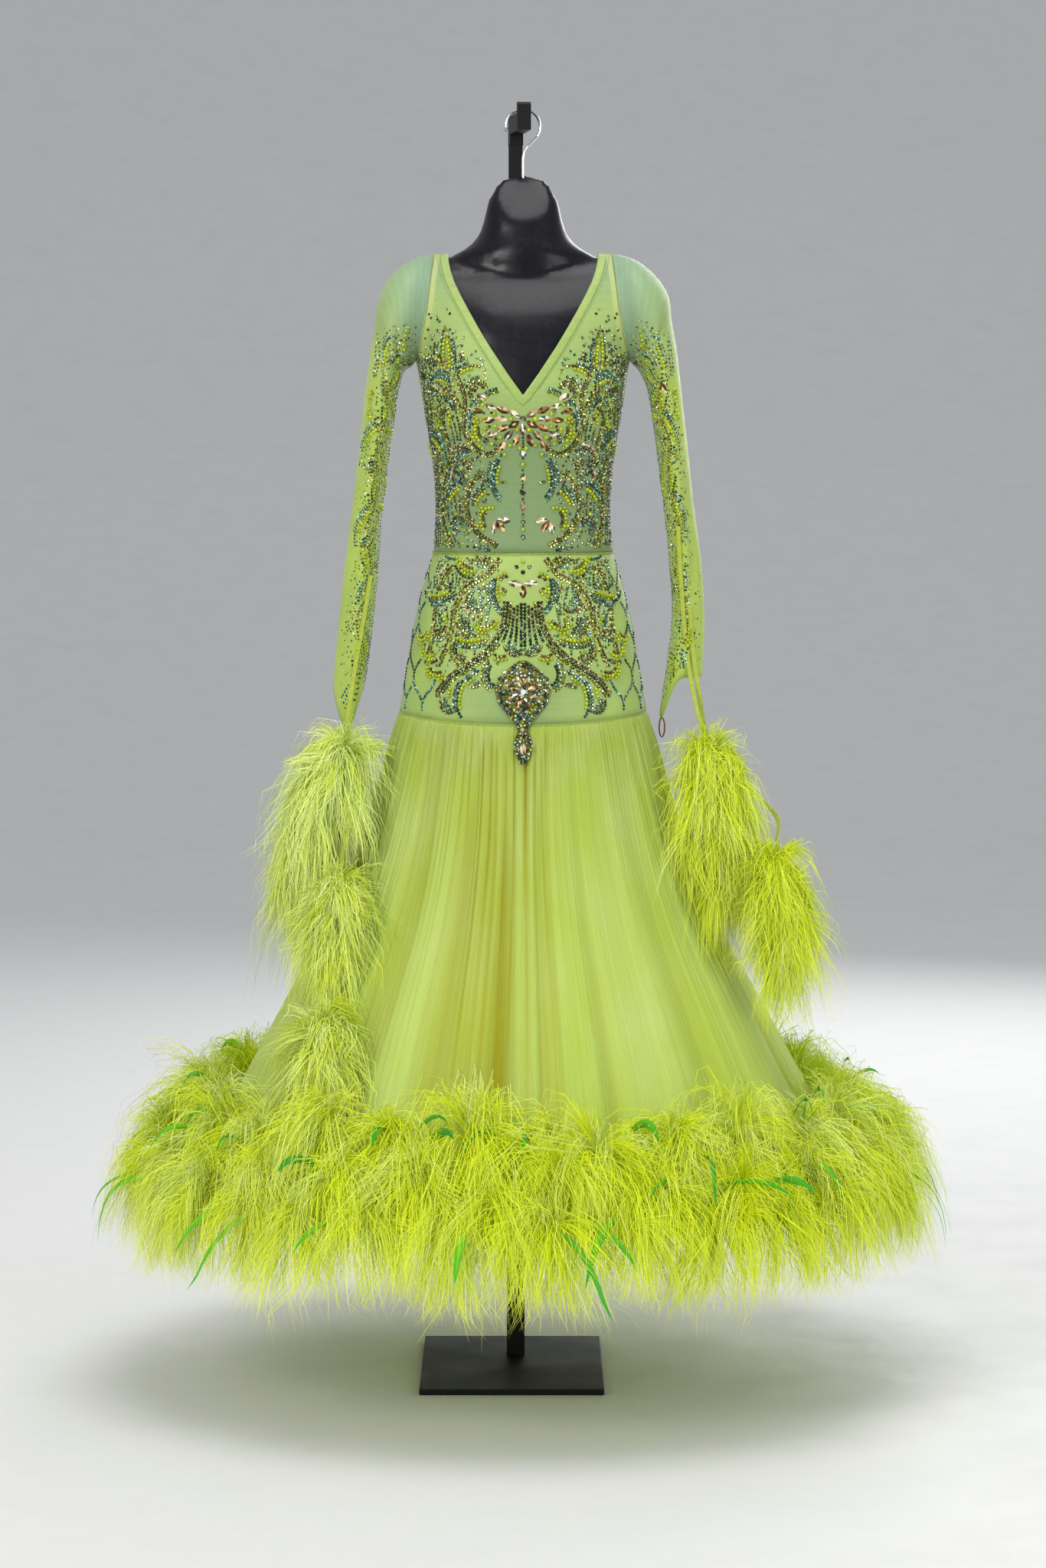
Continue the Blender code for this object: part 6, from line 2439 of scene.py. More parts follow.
def hip_front_layout() -> Layout:
    """A palmette, stems with curling leaves and a side lattice for the front of the hips, mirrored.

    Returns:
        The layout.
    """
    lay = Layout(23)
    lay.fan((0.0, 1.074), 0.0105, (84, 180), 0.0070, (T.CHAMPAGNE, T.AMBER))
    lay.put(0.0, 1.0745, 0.0054, T.LIME, Cut.BEAD)
    for s, z, size, tint in (
        (0.0, 1.090, 0.0058, T.EMERALD), (0.0085, 1.097, 0.0054, T.FOREST), (0.0, 1.104, 0.0052, T.LIME)
    ):
        lay.put(s, z, size, tint, Cut.BEAD if tint is T.LIME else Cut.ROUND)
    for k, tint in enumerate((T.EMERALD, T.OLIVE, T.FOREST, T.OLIVE)):
        t = np.linspace(0, 1, 40)
        line = np.stack(
            [0.0024 + 0.0048 * k + 0.010 * k / 3 * t**2, 1.050 - 0.003 * k - (0.060 - 0.006 * k) * t], 1
        )
        lay.chain(line, (tint, T.EMERALD), 0.0044)
    lay.branch(
        ((0.020, 1.052), (0.024, 1.020), (0.040, 0.992), (0.066, 0.970), (0.098, 0.950), (0.120, 0.926)), 9,
        0.042, 0.0135, 1, 140, (T.OLIVE, T.FOREST, T.PERIDOT),
    )
    lay.branch(
        ((0.030, 1.108), (0.048, 1.086), (0.076, 1.070), (0.094, 1.040), (0.100, 1.004), (0.116, 0.970)), 9,
        0.046, 0.0150, 0, 150,
    )
    lay.branch(
        ((0.082, 1.108), (0.112, 1.084), (0.126, 1.048), (0.128, 1.010), (0.136, 0.980)), 6, 0.034, 0.0120,
        4, 140,
    )
    for start, heading, long, curl, wide, first in (
        ((0.022, 1.062), 60, 0.040, -190, 0.0100, 2),
        ((0.046, 0.962), 104, 0.052, 60, 0.0120, 1),
        ((0.052, 0.948), 130, 0.034, -100, 0.0075, 3),
        ((0.090, 0.944), 150, 0.040, 70, 0.0110, 2),
        ((0.020, 0.980), 120, 0.040, -220, 0.0075, 2),
    ):
        lay.leaf(start, heading, long, curl, wide, LEAVES[first])
    lay.fan((0.112, 0.990), 0.010, (60, 120, 180), 0.0058, (T.AMBER, T.CHAMPAGNE))
    lay.lattice(0.906, 1.104, 0.134, 0.235, (0.022, 0.038), (T.TEAL, T.FOREST, T.TEAL, T.FROST))
    lay.lines(1.000, 1.110, 0.050, 0.136, -0.1, 3)

    def dense(s: float, z: float) -> float:
        """Fullest beside the stems, thin towards the bottom and the centre."""
        return math.exp(-(((abs(s) - 0.080) / 0.040) ** 2)) * max(0.0, min(1.0, (z - 0.955) / 0.04))

    lay.fill(
        dense, (0.0031, 0.0040), (T.PERIDOT, T.FROST, T.OLIVE, T.FOREST), (0.03, 0.135, 0.95, 1.108), 1200
    )
    return lay


def back_layout(hips: bool) -> Layout:
    """The sparser work on the back.

    Args:
        hips: Whether it is for the hip yoke.

    Returns:
        The layout.
    """
    lay = Layout(37 + hips)
    if hips:
        lay.branch(
            (
                (0.016, 1.108), (0.040, 1.084), (0.052, 1.052), (0.044, 1.020), (0.062, 0.988),
                (0.096, 0.958),
            ),
            9, 0.042, 0.0130, 1, 145,
        )
        lay.branch(
            ((0.072, 1.108), (0.100, 1.086), (0.112, 1.050), (0.104, 1.014), (0.120, 0.978)), 7, 0.038,
            0.0125, 0, 145,
        )
        lay.chain(np.array([(0.0, 1.100), (0.0, 0.930)]), (T.EMERALD, T.TEAL, T.OLIVE), 0.0036, 1.15)
        lay.fan((0.0, 0.962), 0.011, (140, 180), 0.0066, (T.CHAMPAGNE, T.AMBER))
        lay.lattice(0.906, 1.104, 0.134, 0.235, (0.022, 0.038), (T.TEAL, T.FROST, T.FOREST))
        return lay
    lay.fan((0.0, 1.292), 0.0290, (90, 114, 138, 162), 0.0064, (T.CHAMPAGNE, T.AMBER))
    lay.branch(
        ((0.016, 1.272), (0.040, 1.248), (0.064, 1.256), (0.084, 1.288), (0.080, 1.322), (0.094, 1.354)), 8,
        0.046, 0.0135, 0, 145,
    )
    lay.branch(
        ((0.034, 1.124), (0.064, 1.144), (0.080, 1.178), (0.066, 1.214), (0.044, 1.224)), 7, 0.042, 0.0125,
        1, 145,
    )
    lay.branch(
        ((0.104, 1.122), (0.126, 1.162), (0.120, 1.210), (0.108, 1.248), (0.120, 1.292), (0.116, 1.336)), 9,
        0.042, 0.0125, 2, 140,
    )
    lay.chain(np.array([(0.0, 1.296), (0.0, 1.130)]), (T.OLIVE, T.FOREST, T.EMERALD), 0.0036, 1.2)
    lay.lines(1.124, 1.350, 0.146, 0.178, 0.0, 2)
    lay.fill(
        lambda s, z: 0.5 * max(0.0, 1 - (z - CHEST) / 0.11), (0.0028, 0.0034), (T.FOREST, T.FROST),
        (0.05, 0.14, 1.36, 1.46), 80,
    )
    return lay


def sleeve_layout(name: str) -> Layout:
    """Stones on a sleeve: s from the middle of its front towards the body, and distance below the shoulder.

    Args:
        name: Which sleeve.

    Returns:
        The layout.
    """
    left = name == "sleeve_left"
    lay = Layout(51 if left else 53, mirrored=False)
    lay.branch(
        ((0.006, 0.120), (0.028, 0.165), (0.008, 0.220), (0.026, 0.275), (0.006, 0.335)), 12, 0.056, 0.0175,
        int(left), -130,
    )
    lay.branch(
        ((0.010, 0.345), (0.026, 0.400), (0.006, 0.455), (0.020, 0.505), (0.006, 0.555)), 10, 0.046, 0.0150,
        2 + left, -130,
    )
    for start, heading, long, curl, wide, first in (
        ((-0.020, 0.140), 176, 0.052, 50, 0.0130, 3),
        ((-0.004, 0.122), 186, 0.054, -40, 0.0130, 1),
        ((0.014, 0.104), 174, 0.056, -50, 0.0130, 5),
        ((0.030, 0.086), 184, 0.050, 40, 0.0120, 2),
        ((0.044, 0.076), 176, 0.044, -40, 0.0110, 0),
        ((-0.016, 0.150), -20, 0.050, 110, 0.0130, 2),
        ((0.040, 0.090), 10, 0.050, -90, 0.0130, 4),
    ):
        lay.leaf(start, heading, long, curl, wide, LEAVES[first])
    for place, size in (((0.012, 0.150), 0.0062), ((0.016, 0.236), 0.0058), ((0.012, 0.330), 0.0056)):
        lay.fan(place, 0.010, (20, 80, 140, 200), size, (T.CHAMPAGNE, T.AMBER))
    for k in range(6):
        down = np.linspace(0.09, 0.56, 170)
        tints = tuple(t for t in LEAVES[(k * 2 + left) % 6] if t is not T.LIME)
        lay.chain(
            np.stack([0.024 + 0.0056 * k + 0.006 * np.sin(down * 26 + 0.9 * k), down], 1), tints, 0.0040,
            1.06,
        )
    lay.fill(
        lambda s, z: math.exp(-(((s - 0.016) / 0.030) ** 4)) * (1.0 if z < 0.26 else 0.8),
        (0.0031, 0.0042),
        (T.PERIDOT, T.FROST, T.OLIVE, T.FOREST, T.OLIVE),
        (-0.032, 0.066, 0.02, 0.56),
        2600,
    )
    return lay


@dataclass
class PendantGround:
    """The domed face of the pendant, seen from the front."""

    node: Object

    def place(self, s: Array, z: Array, out: float) -> tuple[Array, Array, Array]:
        """Places on its face.

        Args:
            s: Across.
            z: Heights.
            out: How far off the surface.

        Returns:
            Points, outward normals and the directions of growing s.
        """
        places, normals = [], []
        for x, height in zip(s, z):
            found, place, normal, _ = self.node.ray_cast(Vector((x, -1.0, height)), Vector((0, 1, 0)))
            places.append(place if found else Vector((x, -0.13, height)))
            normals.append(normal if found else Vector((0, -1, 0)))
        normal = unit(np.array(normals))
        return np.array(places) + normal * out, normal, np.tile([1.0, 0.0, 0.0], (len(places), 1))

    def within(self, s: float, z: float) -> bool:
        """Whether a place lies on the face."""
        return bool(self.node.ray_cast(Vector((s, -1.0, z)), Vector((0, 1, 0)))[0])


def pendant_layout() -> Layout:
    """A medallion of rings round an oval centre, with a tip above and a drop below.

    Returns:
        The layout.
    """
    lay = Layout(61, closeness=0.86)
    lay.put(0.0, PENDANT_MIDDLE, 0.0125, T.CLEAR)
    for k in range(8):
        angle = 2 * math.pi * (k + 0.5) / 8
        lay.put(
            0.0140 * math.sin(angle), PENDANT_MIDDLE + 0.0150 * math.cos(angle), 0.0066,
            (T.CHAMPAGNE, T.AMBER)[k % 2], Cut.NAVETTE, -angle,
        )
    for count, wide, high, size, tints in (
        (22, 0.0235, 0.0262, 0.0050, (T.LIME, T.CLEAR, T.PERIDOT)),
        (30, 0.0298, 0.0335, 0.0046, (T.FOREST, T.FROST, T.TEAL)),
    ):
        for k in range(count):
            angle = 2 * math.pi * (k + 0.25) / count
            lay.put(wide * math.sin(angle), PENDANT_MIDDLE + high * math.cos(angle), size, tints[k % 3])
    for z, size, tint, cut in (
        (0.9690, 0.0052, T.FOREST, Cut.ROUND),
        (0.8930, 0.0056, T.PERIDOT, Cut.ROUND),
        (0.8840, 0.0050, T.CLEAR, Cut.ROUND),
        (0.8590, 0.0080, T.CHAMPAGNE, Cut.DROP),
        (0.8450, 0.0038, T.TEAL, Cut.ROUND),
    ):
        lay.put(0.0, z, size, tint, cut)
    lay.fill(
        lambda s, z: 1.0, (0.0038, 0.0054), (T.FROST, T.FOREST, T.CLEAR, T.LIME, T.TEAL),
        (0.0, 0.038, 0.842, 0.973), 2500,
    )
    lay.fill(
        lambda s, z: 1.0, (0.0024, 0.0030), (T.OLIVE, T.TEAL, T.PERIDOT, T.FOREST),
        (0.0, 0.038, 0.842, 0.973), 3000,
    )
    return lay


@dataclass
class Stones:
    """All the gown's stones."""

    body: BodySurface
    sleeves: tuple[SleeveSurface, ...]
    pendant: Object
    margin: float = 0.0035
    sleeve_ceiling: float = 1.416

    @staticmethod
    def sleeve_limit(sleeve: SleeveSurface) -> Rule:
        """A rule that keeps stones off the shoulder and the cuff."""
        return lambda s, z: 0.012 < z < sleeve.lengths[-1] - 0.016

    def bodice_limit(self, ground: BodyGround) -> Rule:
        """A rule that keeps stones on the bodice, off its edges and the binding.

        Args:
            ground: What the stones are set on.

        Returns:
            The rule.
        """

        def allowed(s: float, z: float) -> bool:
            """Whether one stone may be set.

            Args:
                s: Distance from the centre line along the cloth.
                z: Height.

            Returns:
                Whether it may.
            """
            if not BODY_SECTIONS[WAIST_ROW][0] + 0.004 < z < 1.50 or abs(s) > ground.edge(z) - self.margin:
                return False
            neck = float(self.body.neck(np.array(z + 0.004)))
            return z < NECKLINE[0][0] - 0.018 or abs(s) > neck * 1.06 + 0.0165

        return allowed

    def hip_limit(self, ground: BodyGround) -> Rule:
        """A rule that keeps stones on the hip yoke, clear of the pendant.

        Args:
            ground: What the stones are set on.

        Returns:
            The rule.
        """

        def allowed(s: float, z: float) -> bool:
            """Whether one stone may be set.

            Args:
                s: Distance from the centre line along the cloth.
                z: Height.

            Returns:
                Whether it may.
            """
            seam = HIP_SEAM_HEIGHT - HIP_SEAM_DIP * math.cos(s / 0.155) ** 2
            waist = BODY_SECTIONS[WAIST_ROW][0]
            if not seam + 0.005 < z < waist - 0.004 or abs(s) > ground.edge(z) - 0.002:
                return False
            return ground.back or abs(s) > 0.041 - max(0.0, z - 0.935) * 0.95 or z > 0.979

        return allowed

    def build(self, material: Material) -> None:
        """Every group of stones.

        Args:
            material: Their finish.
        """
        patterns = {cut: gem_pattern(cut) for cut in Cut}
        front, back = BodyGround(self.body, False), BodyGround(self.body, True)
        for name, ground, limit, layout in (
            ("stones_bodice_front", front, self.bodice_limit(front), bodice_front_layout()),
            ("stones_hip_front", front, self.hip_limit(front), hip_front_layout()),
            ("stones_bodice_back", back, self.bodice_limit(back), back_layout(False)),
            ("stones_hip_back", back, self.hip_limit(back), back_layout(True)),
        ):
            StoneWork(ground, limit).build(name, layout, material, patterns)
        for sleeve in self.sleeves:
            work = StoneWork(sleeve, self.sleeve_limit(sleeve), self.sleeve_ceiling)
            work.build(f"stones_{sleeve.name}", sleeve_layout(sleeve.name), material, patterns)
        ground = PendantGround(self.pendant)
        StoneWork(ground, ground.within).build("stones_pendant", pendant_layout(), material, patterns)


# ---------------------------------------------------------------- feathers
def strand_pattern() -> Pattern:
    """A flat barb along z, one long and two wide, that narrows to a point at its tip.

    Returns:
        The barb's shape.
    """
    levels = (0.0, 0.24, 0.50, 0.76, 1.0)
    made, across, up = grid("barb", 1, len(levels) - 1)
    up = np.interp(up, np.linspace(0, 1, len(levels)), levels)
    wide = np.where(up > 0.999, 0.0, (1 - up) ** 0.5 * np.where(up < 0.01, 0.6, 1.0))
    move_corners(made, np.stack([(across * 2 - 1) * wide, 0 * up, up], 1))
    return Pattern.of(welded(made))


@dataclass
class Barbs:
    """Many fine strands: where each starts, where it points, and how it bends."""

    root: Array
    heading: Array
    length: Array
    droop: Array
    curl: Array
    radius: Array
    wave: Array
    beat: Array
    lock: Array
    tint: Array

    @classmethod
    def joined(cls, sets: list[Barbs]) -> Barbs:
        """Several sets as one.

        Args:
            sets: The sets.

        Returns:
            The joined set.
        """
        names = [each.name for each in fields(cls) if each.name != "lock"]
        offset, locks = 0, []
        for each in sets:
            locks.append(each.lock + offset)
            offset += int(each.lock.max()) + 1
        values = {n: np.concatenate([getattr(s, n) for s in sets]) for n in names}
        return cls(**values, lock=np.concatenate(locks))


@dataclass
class Plumage:
    """Grows drooping ostrich barbs in clumped locks from lumpy crowns."""

    skirt: SkirtSurface
    pull: float = 0.36
    spread: float = 0.23
    waviness: float = 0.085
    reach: tuple[float, float] = (0.545, 0.590)
    low: float = 0.205
    golden_turn: float = 2.399
    lean: float = 0.25  # how thick a tuft is at its root, as a share of the shortest barb
    curl: float = 0.20  # how much the barbs turn aside at their tips

    def crown(
        self,
        rng: np.random.Generator,
        centre: Array,
        axis: Array,
        locks: int,
        strands: int,
        length: tuple[float, float],
        droop: tuple[float, float],
        cone: float,
        tint: float,
    ) -> Barbs:
        """The barbs of one crown.

        Args:
            rng: Where its chances come from.
            centre: Where it grows.
            axis: Which way it points.
            locks: How many locks it has.
            strands: How many barbs a lock has.
            length: The shortest and longest barb.
            droop: The least and the most that a barb falls, as a share of its length.
            cone: How far its locks turn from its axis, in degrees.
            tint: Its mean tint, 0 golden to 1 cream.

        Returns:
            The barbs.
        """
        axis = unit(axis)
        side = unit(np.cross(axis, [0.0, 0.0, 1.0] if abs(axis[2]) < 0.95 else [1.0, 0.0, 0.0]))
        other = np.cross(axis, side)
        tilt = np.radians(cone) * np.sqrt(rng.uniform(0.02, 1.0, locks))
        round_axis = rng.uniform(0, 2 * math.pi, locks) + np.arange(locks) * self.golden_turn
        around = np.cos(round_axis)[:, None] * side + np.sin(round_axis)[:, None] * other
        lock_way = unit(np.cos(tilt)[:, None] * axis + np.sin(tilt)[:, None] * around)
        lock_size = rng.uniform(*length, locks)
        lock_fall = rng.uniform(*droop, locks)
        lock_curl = np.clip(rng.normal(0, self.curl, (locks, 3)), -1.4 * self.curl, 1.4 * self.curl)
        lock_tint = np.clip(tint + rng.normal(0, 0.16, locks), 0, 1)
        lock = np.repeat(np.arange(locks), strands)
        n = len(lock)
        way = unit(lock_way[lock] + rng.normal(0, self.spread, (n, 3)))
        root = centre + lock_way[lock] * (length[0] * self.lean) * rng.uniform(0.1, 1.0, (n, 1))
        root = root + rng.normal(0, 0.0022, (n, 3))
        return Barbs(
            root=root,
            heading=way,
            length=lock_size[lock] * rng.uniform(0.62, 1.06, n),
            droop=lock_fall[lock] * rng.uniform(0.75, 1.2, n),
            curl=lock_curl[lock] + rng.normal(0, self.curl * 0.45, (n, 3)),
            radius=rng.uniform(0.00034, 0.00078, n),
            wave=rng.normal(0, self.waviness, (locks, 3))[lock] + rng.normal(0, 0.03, (n, 3)),
            beat=rng.uniform(1.1, 2.3, locks)[lock] + rng.normal(0, 0.12, n),
            lock=lock,
            tint=np.clip(lock_tint[lock] + rng.normal(0, 0.07, n), 0, 1),
        )

    def keep_off(self, places: Array) -> Array:
        """Pushes places out of the skirt.

        Args:
            places: The places.

        Returns:
            The places, moved where they lay inside it.
        """
        z = places[..., 2]
        heights = self.skirt.table[::-1, 0]
        half_width = np.interp(z, heights, self.skirt.table[::-1, 1])
        front = np.interp(z, heights, self.skirt.table[::-1, 2])
        turn = np.arctan2(places[..., 0], -places[..., 1])
        reach = 1 / np.sqrt((np.sin(turn) / half_width) ** 2 + (np.cos(turn) / front) ** 2)
        now = np.hypot(places[..., 0], places[..., 1])
        share = np.interp(z, heights, self.skirt.table[::-1, 4])
        least = reach + share * self.skirt.large(turn) + 0.004
        grow = np.where(now < least, least / np.maximum(now, 1e-6), 1.0)
        kept = places.copy()
        kept[..., 0] *= grow
        kept[..., 1] *= grow
        return kept

    def within(self, places: Array) -> Array:
        """Draws in what reaches out or hangs down too far, softly.

        Args:
            places: The places.

        Returns:
            The places, drawn in.
        """
        far = np.hypot(places[..., 0], places[..., 1])
        spare = self.reach[1] - self.reach[0]
        drawn = np.where(
            far > self.reach[0], self.reach[0] + spare * np.tanh((far - self.reach[0]) / spare), far
        )
        kept = places.copy()
        kept[..., :2] *= (drawn / np.maximum(far, 1e-6))[..., None]
        kept[..., 2] = np.where(
            kept[..., 2] < self.low, self.low - 0.42 * (self.low - kept[..., 2]), kept[..., 2]
        )
        return kept

    def mesh(self, name: str, barbs: Barbs, pattern: Pattern, seed: int, middle: Array) -> Object:
        """All the barbs as one mesh, their flat sides turned roughly away from the piece's middle.

        Args:
            name: The piece's name.
            barbs: What grows.
            pattern: The strand that is copied.
            seed: For the small waves.
            middle: Where the piece's upright axis stands, across and along.

        Returns:
            The mesh, with each corner's share along its barb and its tint.
        """
        rng = np.random.default_rng(seed)
        n = len(barbs.length)
        c = pattern.corners
        levels, level = np.unique(np.round(c[:, 2], 4), return_inverse=True)
        t = levels[None, :, None]
        size = barbs.length[:, None, None]
        fall = np.zeros((n, 1, 3))
        fall[:, 0, 2] = -barbs.droop
        wave = barbs.wave[:, None] * np.sin(t * math.pi * barbs.beat[:, None, None]) * t**0.5
        bend = barbs.heading[:, None] * (t - 0.36 * t**2) + fall * t**2 * (0.66 + 0.34 * t)
        path = barbs.root[:, None] + size * (bend + barbs.curl[:, None] * t**2 * 0.8 + wave)
        locks = int(barbs.lock.max()) + 1
        count = np.bincount(barbs.lock, minlength=locks)[:, None, None]
        mean = np.zeros((locks, len(levels), 3))
        np.add.at(mean, barbs.lock, path)
        mean /= np.maximum(count, 1)
        path = path + (mean[barbs.lock] - path) * self.pull * t**1.3
        path = self.within(self.keep_off(path))
        tangent = unit(np.gradient(path, axis=1))
        away = path - np.array([*middle, 0.0])
        away[..., 2] = 0.0
        away = unit(away) + np.array([0.0, 0.0, 0.3]) + rng.normal(0, 0.40, (n, 1, 3))
        side = unit(np.cross(tangent, away))
        places = path[:, level] + barbs.radius[:, None, None] * side[:, level] * c[None, :, 0:1]
        made = joined_copies(name, pattern, places, True)
        mark(made, "along", np.tile(c[:, 2], n))
        mark(made, "tint", np.repeat(barbs.tint, len(c)))
        return made


@dataclass(frozen=True)
class Tier:
    """One ring of plumes round the hem."""

    plumes: int
    height: float
    out: float
    rise: float
    length: tuple[float, float]
    droop: tuple[float, float]
    cone: float
    locks: int
    tint: float
    phase: float = 0.25


@dataclass
class Hem:
    """The hem's feathers: tiers of full plumes round a lumpy roll, in as many arcs as there are nodes."""

    plumage: Plumage
    strands: int = 15
    tiers: tuple[Tier, ...] = (
        Tier(28, 0.380, 0.042, 36, (0.120, 0.200), (0.60, 1.20), 84, 38, 0.62, 0.10),
        Tier(28, 0.338, 0.064, 10, (0.100, 0.172), (0.55, 1.10), 84, 32, 0.55, 0.60),
        Tier(31, 0.288, 0.062, -16, (0.085, 0.150), (0.55, 1.05), 80, 26, 0.48, 0.25),
        Tier(40, 0.364, 0.020, 46, (0.055, 0.095), (0.25, 0.75), 95, 10, 0.46, 0.40),
    )
    roll_radius: float = 0.45

    def centre(self, turn: float, height: float, out: float) -> Array:
        """A place off the skirt at a height."""
        down = np.interp(-height, -self.plumage.skirt.table[:, 0], np.linspace(0, 1, len(SKIRT_SECTIONS)))
        return self.plumage.skirt.point(np.array([down]), np.array([turn]), out, folded=False)[0]

    def arc(self, number: int, pattern: Pattern) -> Object:
        """One arc of feathers.

        Args:
            number: Which arc, from 0.
            pattern: The barb's shape.

        Returns:
            The arc.
        """
        rng = np.random.default_rng(900 + number)
        low, high = 2 * math.pi * number / HEM_ARCS, 2 * math.pi * (number + 1) / HEM_ARCS
        sets = []
        for tier in self.tiers:
            step = 2 * math.pi / tier.plumes
            for k in range(tier.plumes):
                turn = (k + tier.phase) * step + 0.22 * step * math.sin(5.7 * k + tier.rise)
                if low <= turn % (2 * math.pi) < high:
                    sets.append(
                        self.plume(rng, turn, tier, 1.0 + 0.14 * math.sin(2.9 * k + 0.3 * tier.rise))
                    )
        made = self.plumage.mesh(
            f"barbs_hem_{number + 1:02d}", Barbs.joined(sets), pattern, 40 + number, np.zeros(2)
        )
        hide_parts(f"hem_plumes_{number + 1:02d}")
        return made

    def plume(self, rng: np.random.Generator, turn: float, tier: Tier, grow: float) -> Barbs:
        """One plume: an upper one rises before it falls outwards, a lower one only falls.

        Args:
            rng: Where its chances come from.
            turn: Where it stands, in radians.
            tier: Its tier.
            grow: Its size, about 1.

        Returns:
            Its barbs.
        """
        height = tier.height + rng.uniform(-0.018, 0.016) + 0.05 * (grow - 1.0)
        centre = self.centre(turn, height, tier.out)
        rise = math.radians(tier.rise + rng.uniform(-12, 12))
        way = np.array([math.sin(turn) * math.cos(rise), -math.cos(turn) * math.cos(rise), math.sin(rise)])
        tint = tier.tint + 0.12 * math.sin(3.1 * turn + tier.rise) + rng.uniform(-0.08, 0.08)
        length = (tier.length[0] * grow, tier.length[1] * min(grow, 1.06))
        return self.plumage.crown(
            rng, centre, way, tier.locks, self.strands, length, tier.droop, tier.cone, tint
        )

    def roll(self) -> Object:
        """The dense down that the barbs grow from, as a lumpy roll with a lobe for each plume.

        Returns:
            The roll.
        """
        deselect()
        bpy.ops.mesh.primitive_torus_add(
            major_segments=336, minor_segments=18, major_radius=self.roll_radius, minor_radius=0.03
        )
        made = bpy.context.active_object
        made.name = "underlayer_hem"
        places = corners_of(made)
        turn = np.arctan2(places[:, 0], -places[:, 1])
        angle = np.arctan2(places[:, 2], np.hypot(places[:, 0], places[:, 1]) - self.roll_radius)
        lobe = np.abs(np.sin(14 * turn + 0.5 * np.sin(5 * turn) + 0.35 * angle)) ** 0.7
        size = 0.020 + 0.007 * lobe + 0.0030 * lump(turn + 0.3 * np.sin(2 * angle), 71, (30, 120))
        ring = np.array([self.centre(t, 0.318, 0.034) for t in turn])
        places[:, 0] = ring[:, 0] + np.sin(turn) * np.cos(angle) * size
        places[:, 1] = ring[:, 1] - np.cos(turn) * np.cos(angle) * size
        places[:, 2] = ring[:, 2] + np.sin(angle) * size * 1.75
        move_corners(made, places)
        set_uv(made, 0.5 * turn + 0.004 * np.sin(5 * angle), 0.05 * angle)
        mark(made, "along", np.clip(0.30 - 0.25 * np.sin(angle), 0, 1))
        mark(made, "tint", np.full(len(places), 0.50))
        lone(made)
        bpy.ops.object.shade_smooth()
        return made

    def build(self, material: Material, down: Material) -> None:
        """Every arc and the roll under them.

        Args:
            material: The barbs' finish.
            down: The roll's finish.
        """
        pattern = strand_pattern()
        for number in range(HEM_ARCS):
            finished(self.arc(number, pattern), material)
        finished(self.roll(), down)


@dataclass
class Float:
    """A hanging tuft of feathers on a slender lumpy core."""

    name: str
    plumage: Plumage
    crowns: int
    locks: int
    tint: float
    strands: int = 15

    def build(self, material: Material, down: Material) -> None:
        """The tuft and its core.

        Args:
            material: The barbs' finish.
            down: The core's finish.
        """
        top, bottom, facing, fan, reach = FLOATS[self.name]
        top, bottom = np.array(top), np.array(bottom)
        rng = np.random.default_rng(sum(map(ord, self.name)))
        sets = []
        for k in range(self.crowns):
            share = k / max(self.crowns - 1, 1)
            centre = top + (bottom - top) * (0.03 + 0.90 * share)
            azimuth = math.radians(facing + fan * 0.8 * math.sin(2.4 * k + 0.4))
            rise = math.radians(rng.uniform(15, 45) - 30 * share)
            way = np.array(
                [math.sin(azimuth) * math.cos(rise), -math.cos(azimuth) * math.cos(rise), math.sin(rise)]
            )
            grow = reach / 0.066 * (0.85 + 0.3 * math.sin(math.pi * min(1.0, share + 0.15)))
            sets.append(
                self.plumage.crown(
                    rng, centre, way, self.locks, self.strands, (0.074 * grow, 0.124 * grow),
                    (0.45, 1.10), 108, self.tint,
                )
            )
        middle = (top + bottom)[:2] / 2
        made = self.plumage.mesh(
            f"barbs_{self.name}", Barbs.joined(sets), strand_pattern(), len(self.name), middle
        )
        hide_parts(self.name)
        finished(made, material)
        t = np.linspace(0, 1, 40)
        path = t[:, None] * (bottom - top) + top + np.array([0, 0, -0.012])
        swell = np.sin(math.pi * np.clip(t * 0.9 + 0.06, 0, 1)) ** 0.6
        size = reach * (0.30 + 0.05 * np.sin(17 * t) + 0.02 * np.sin(41 * t)) * swell
        core = tube_along(f"core_{self.name}", path, size, 16)
        places = corners_of(core)
        turn = np.arctan2(places[:, 0] - middle[0], middle[1] - places[:, 1])
        set_uv(core, 0.05 * turn, places[:, 2])
        mark(core, "along", np.full(len(places), 0.34))
        mark(core, "tint", np.full(len(places), self.tint))
        finished(core, down)


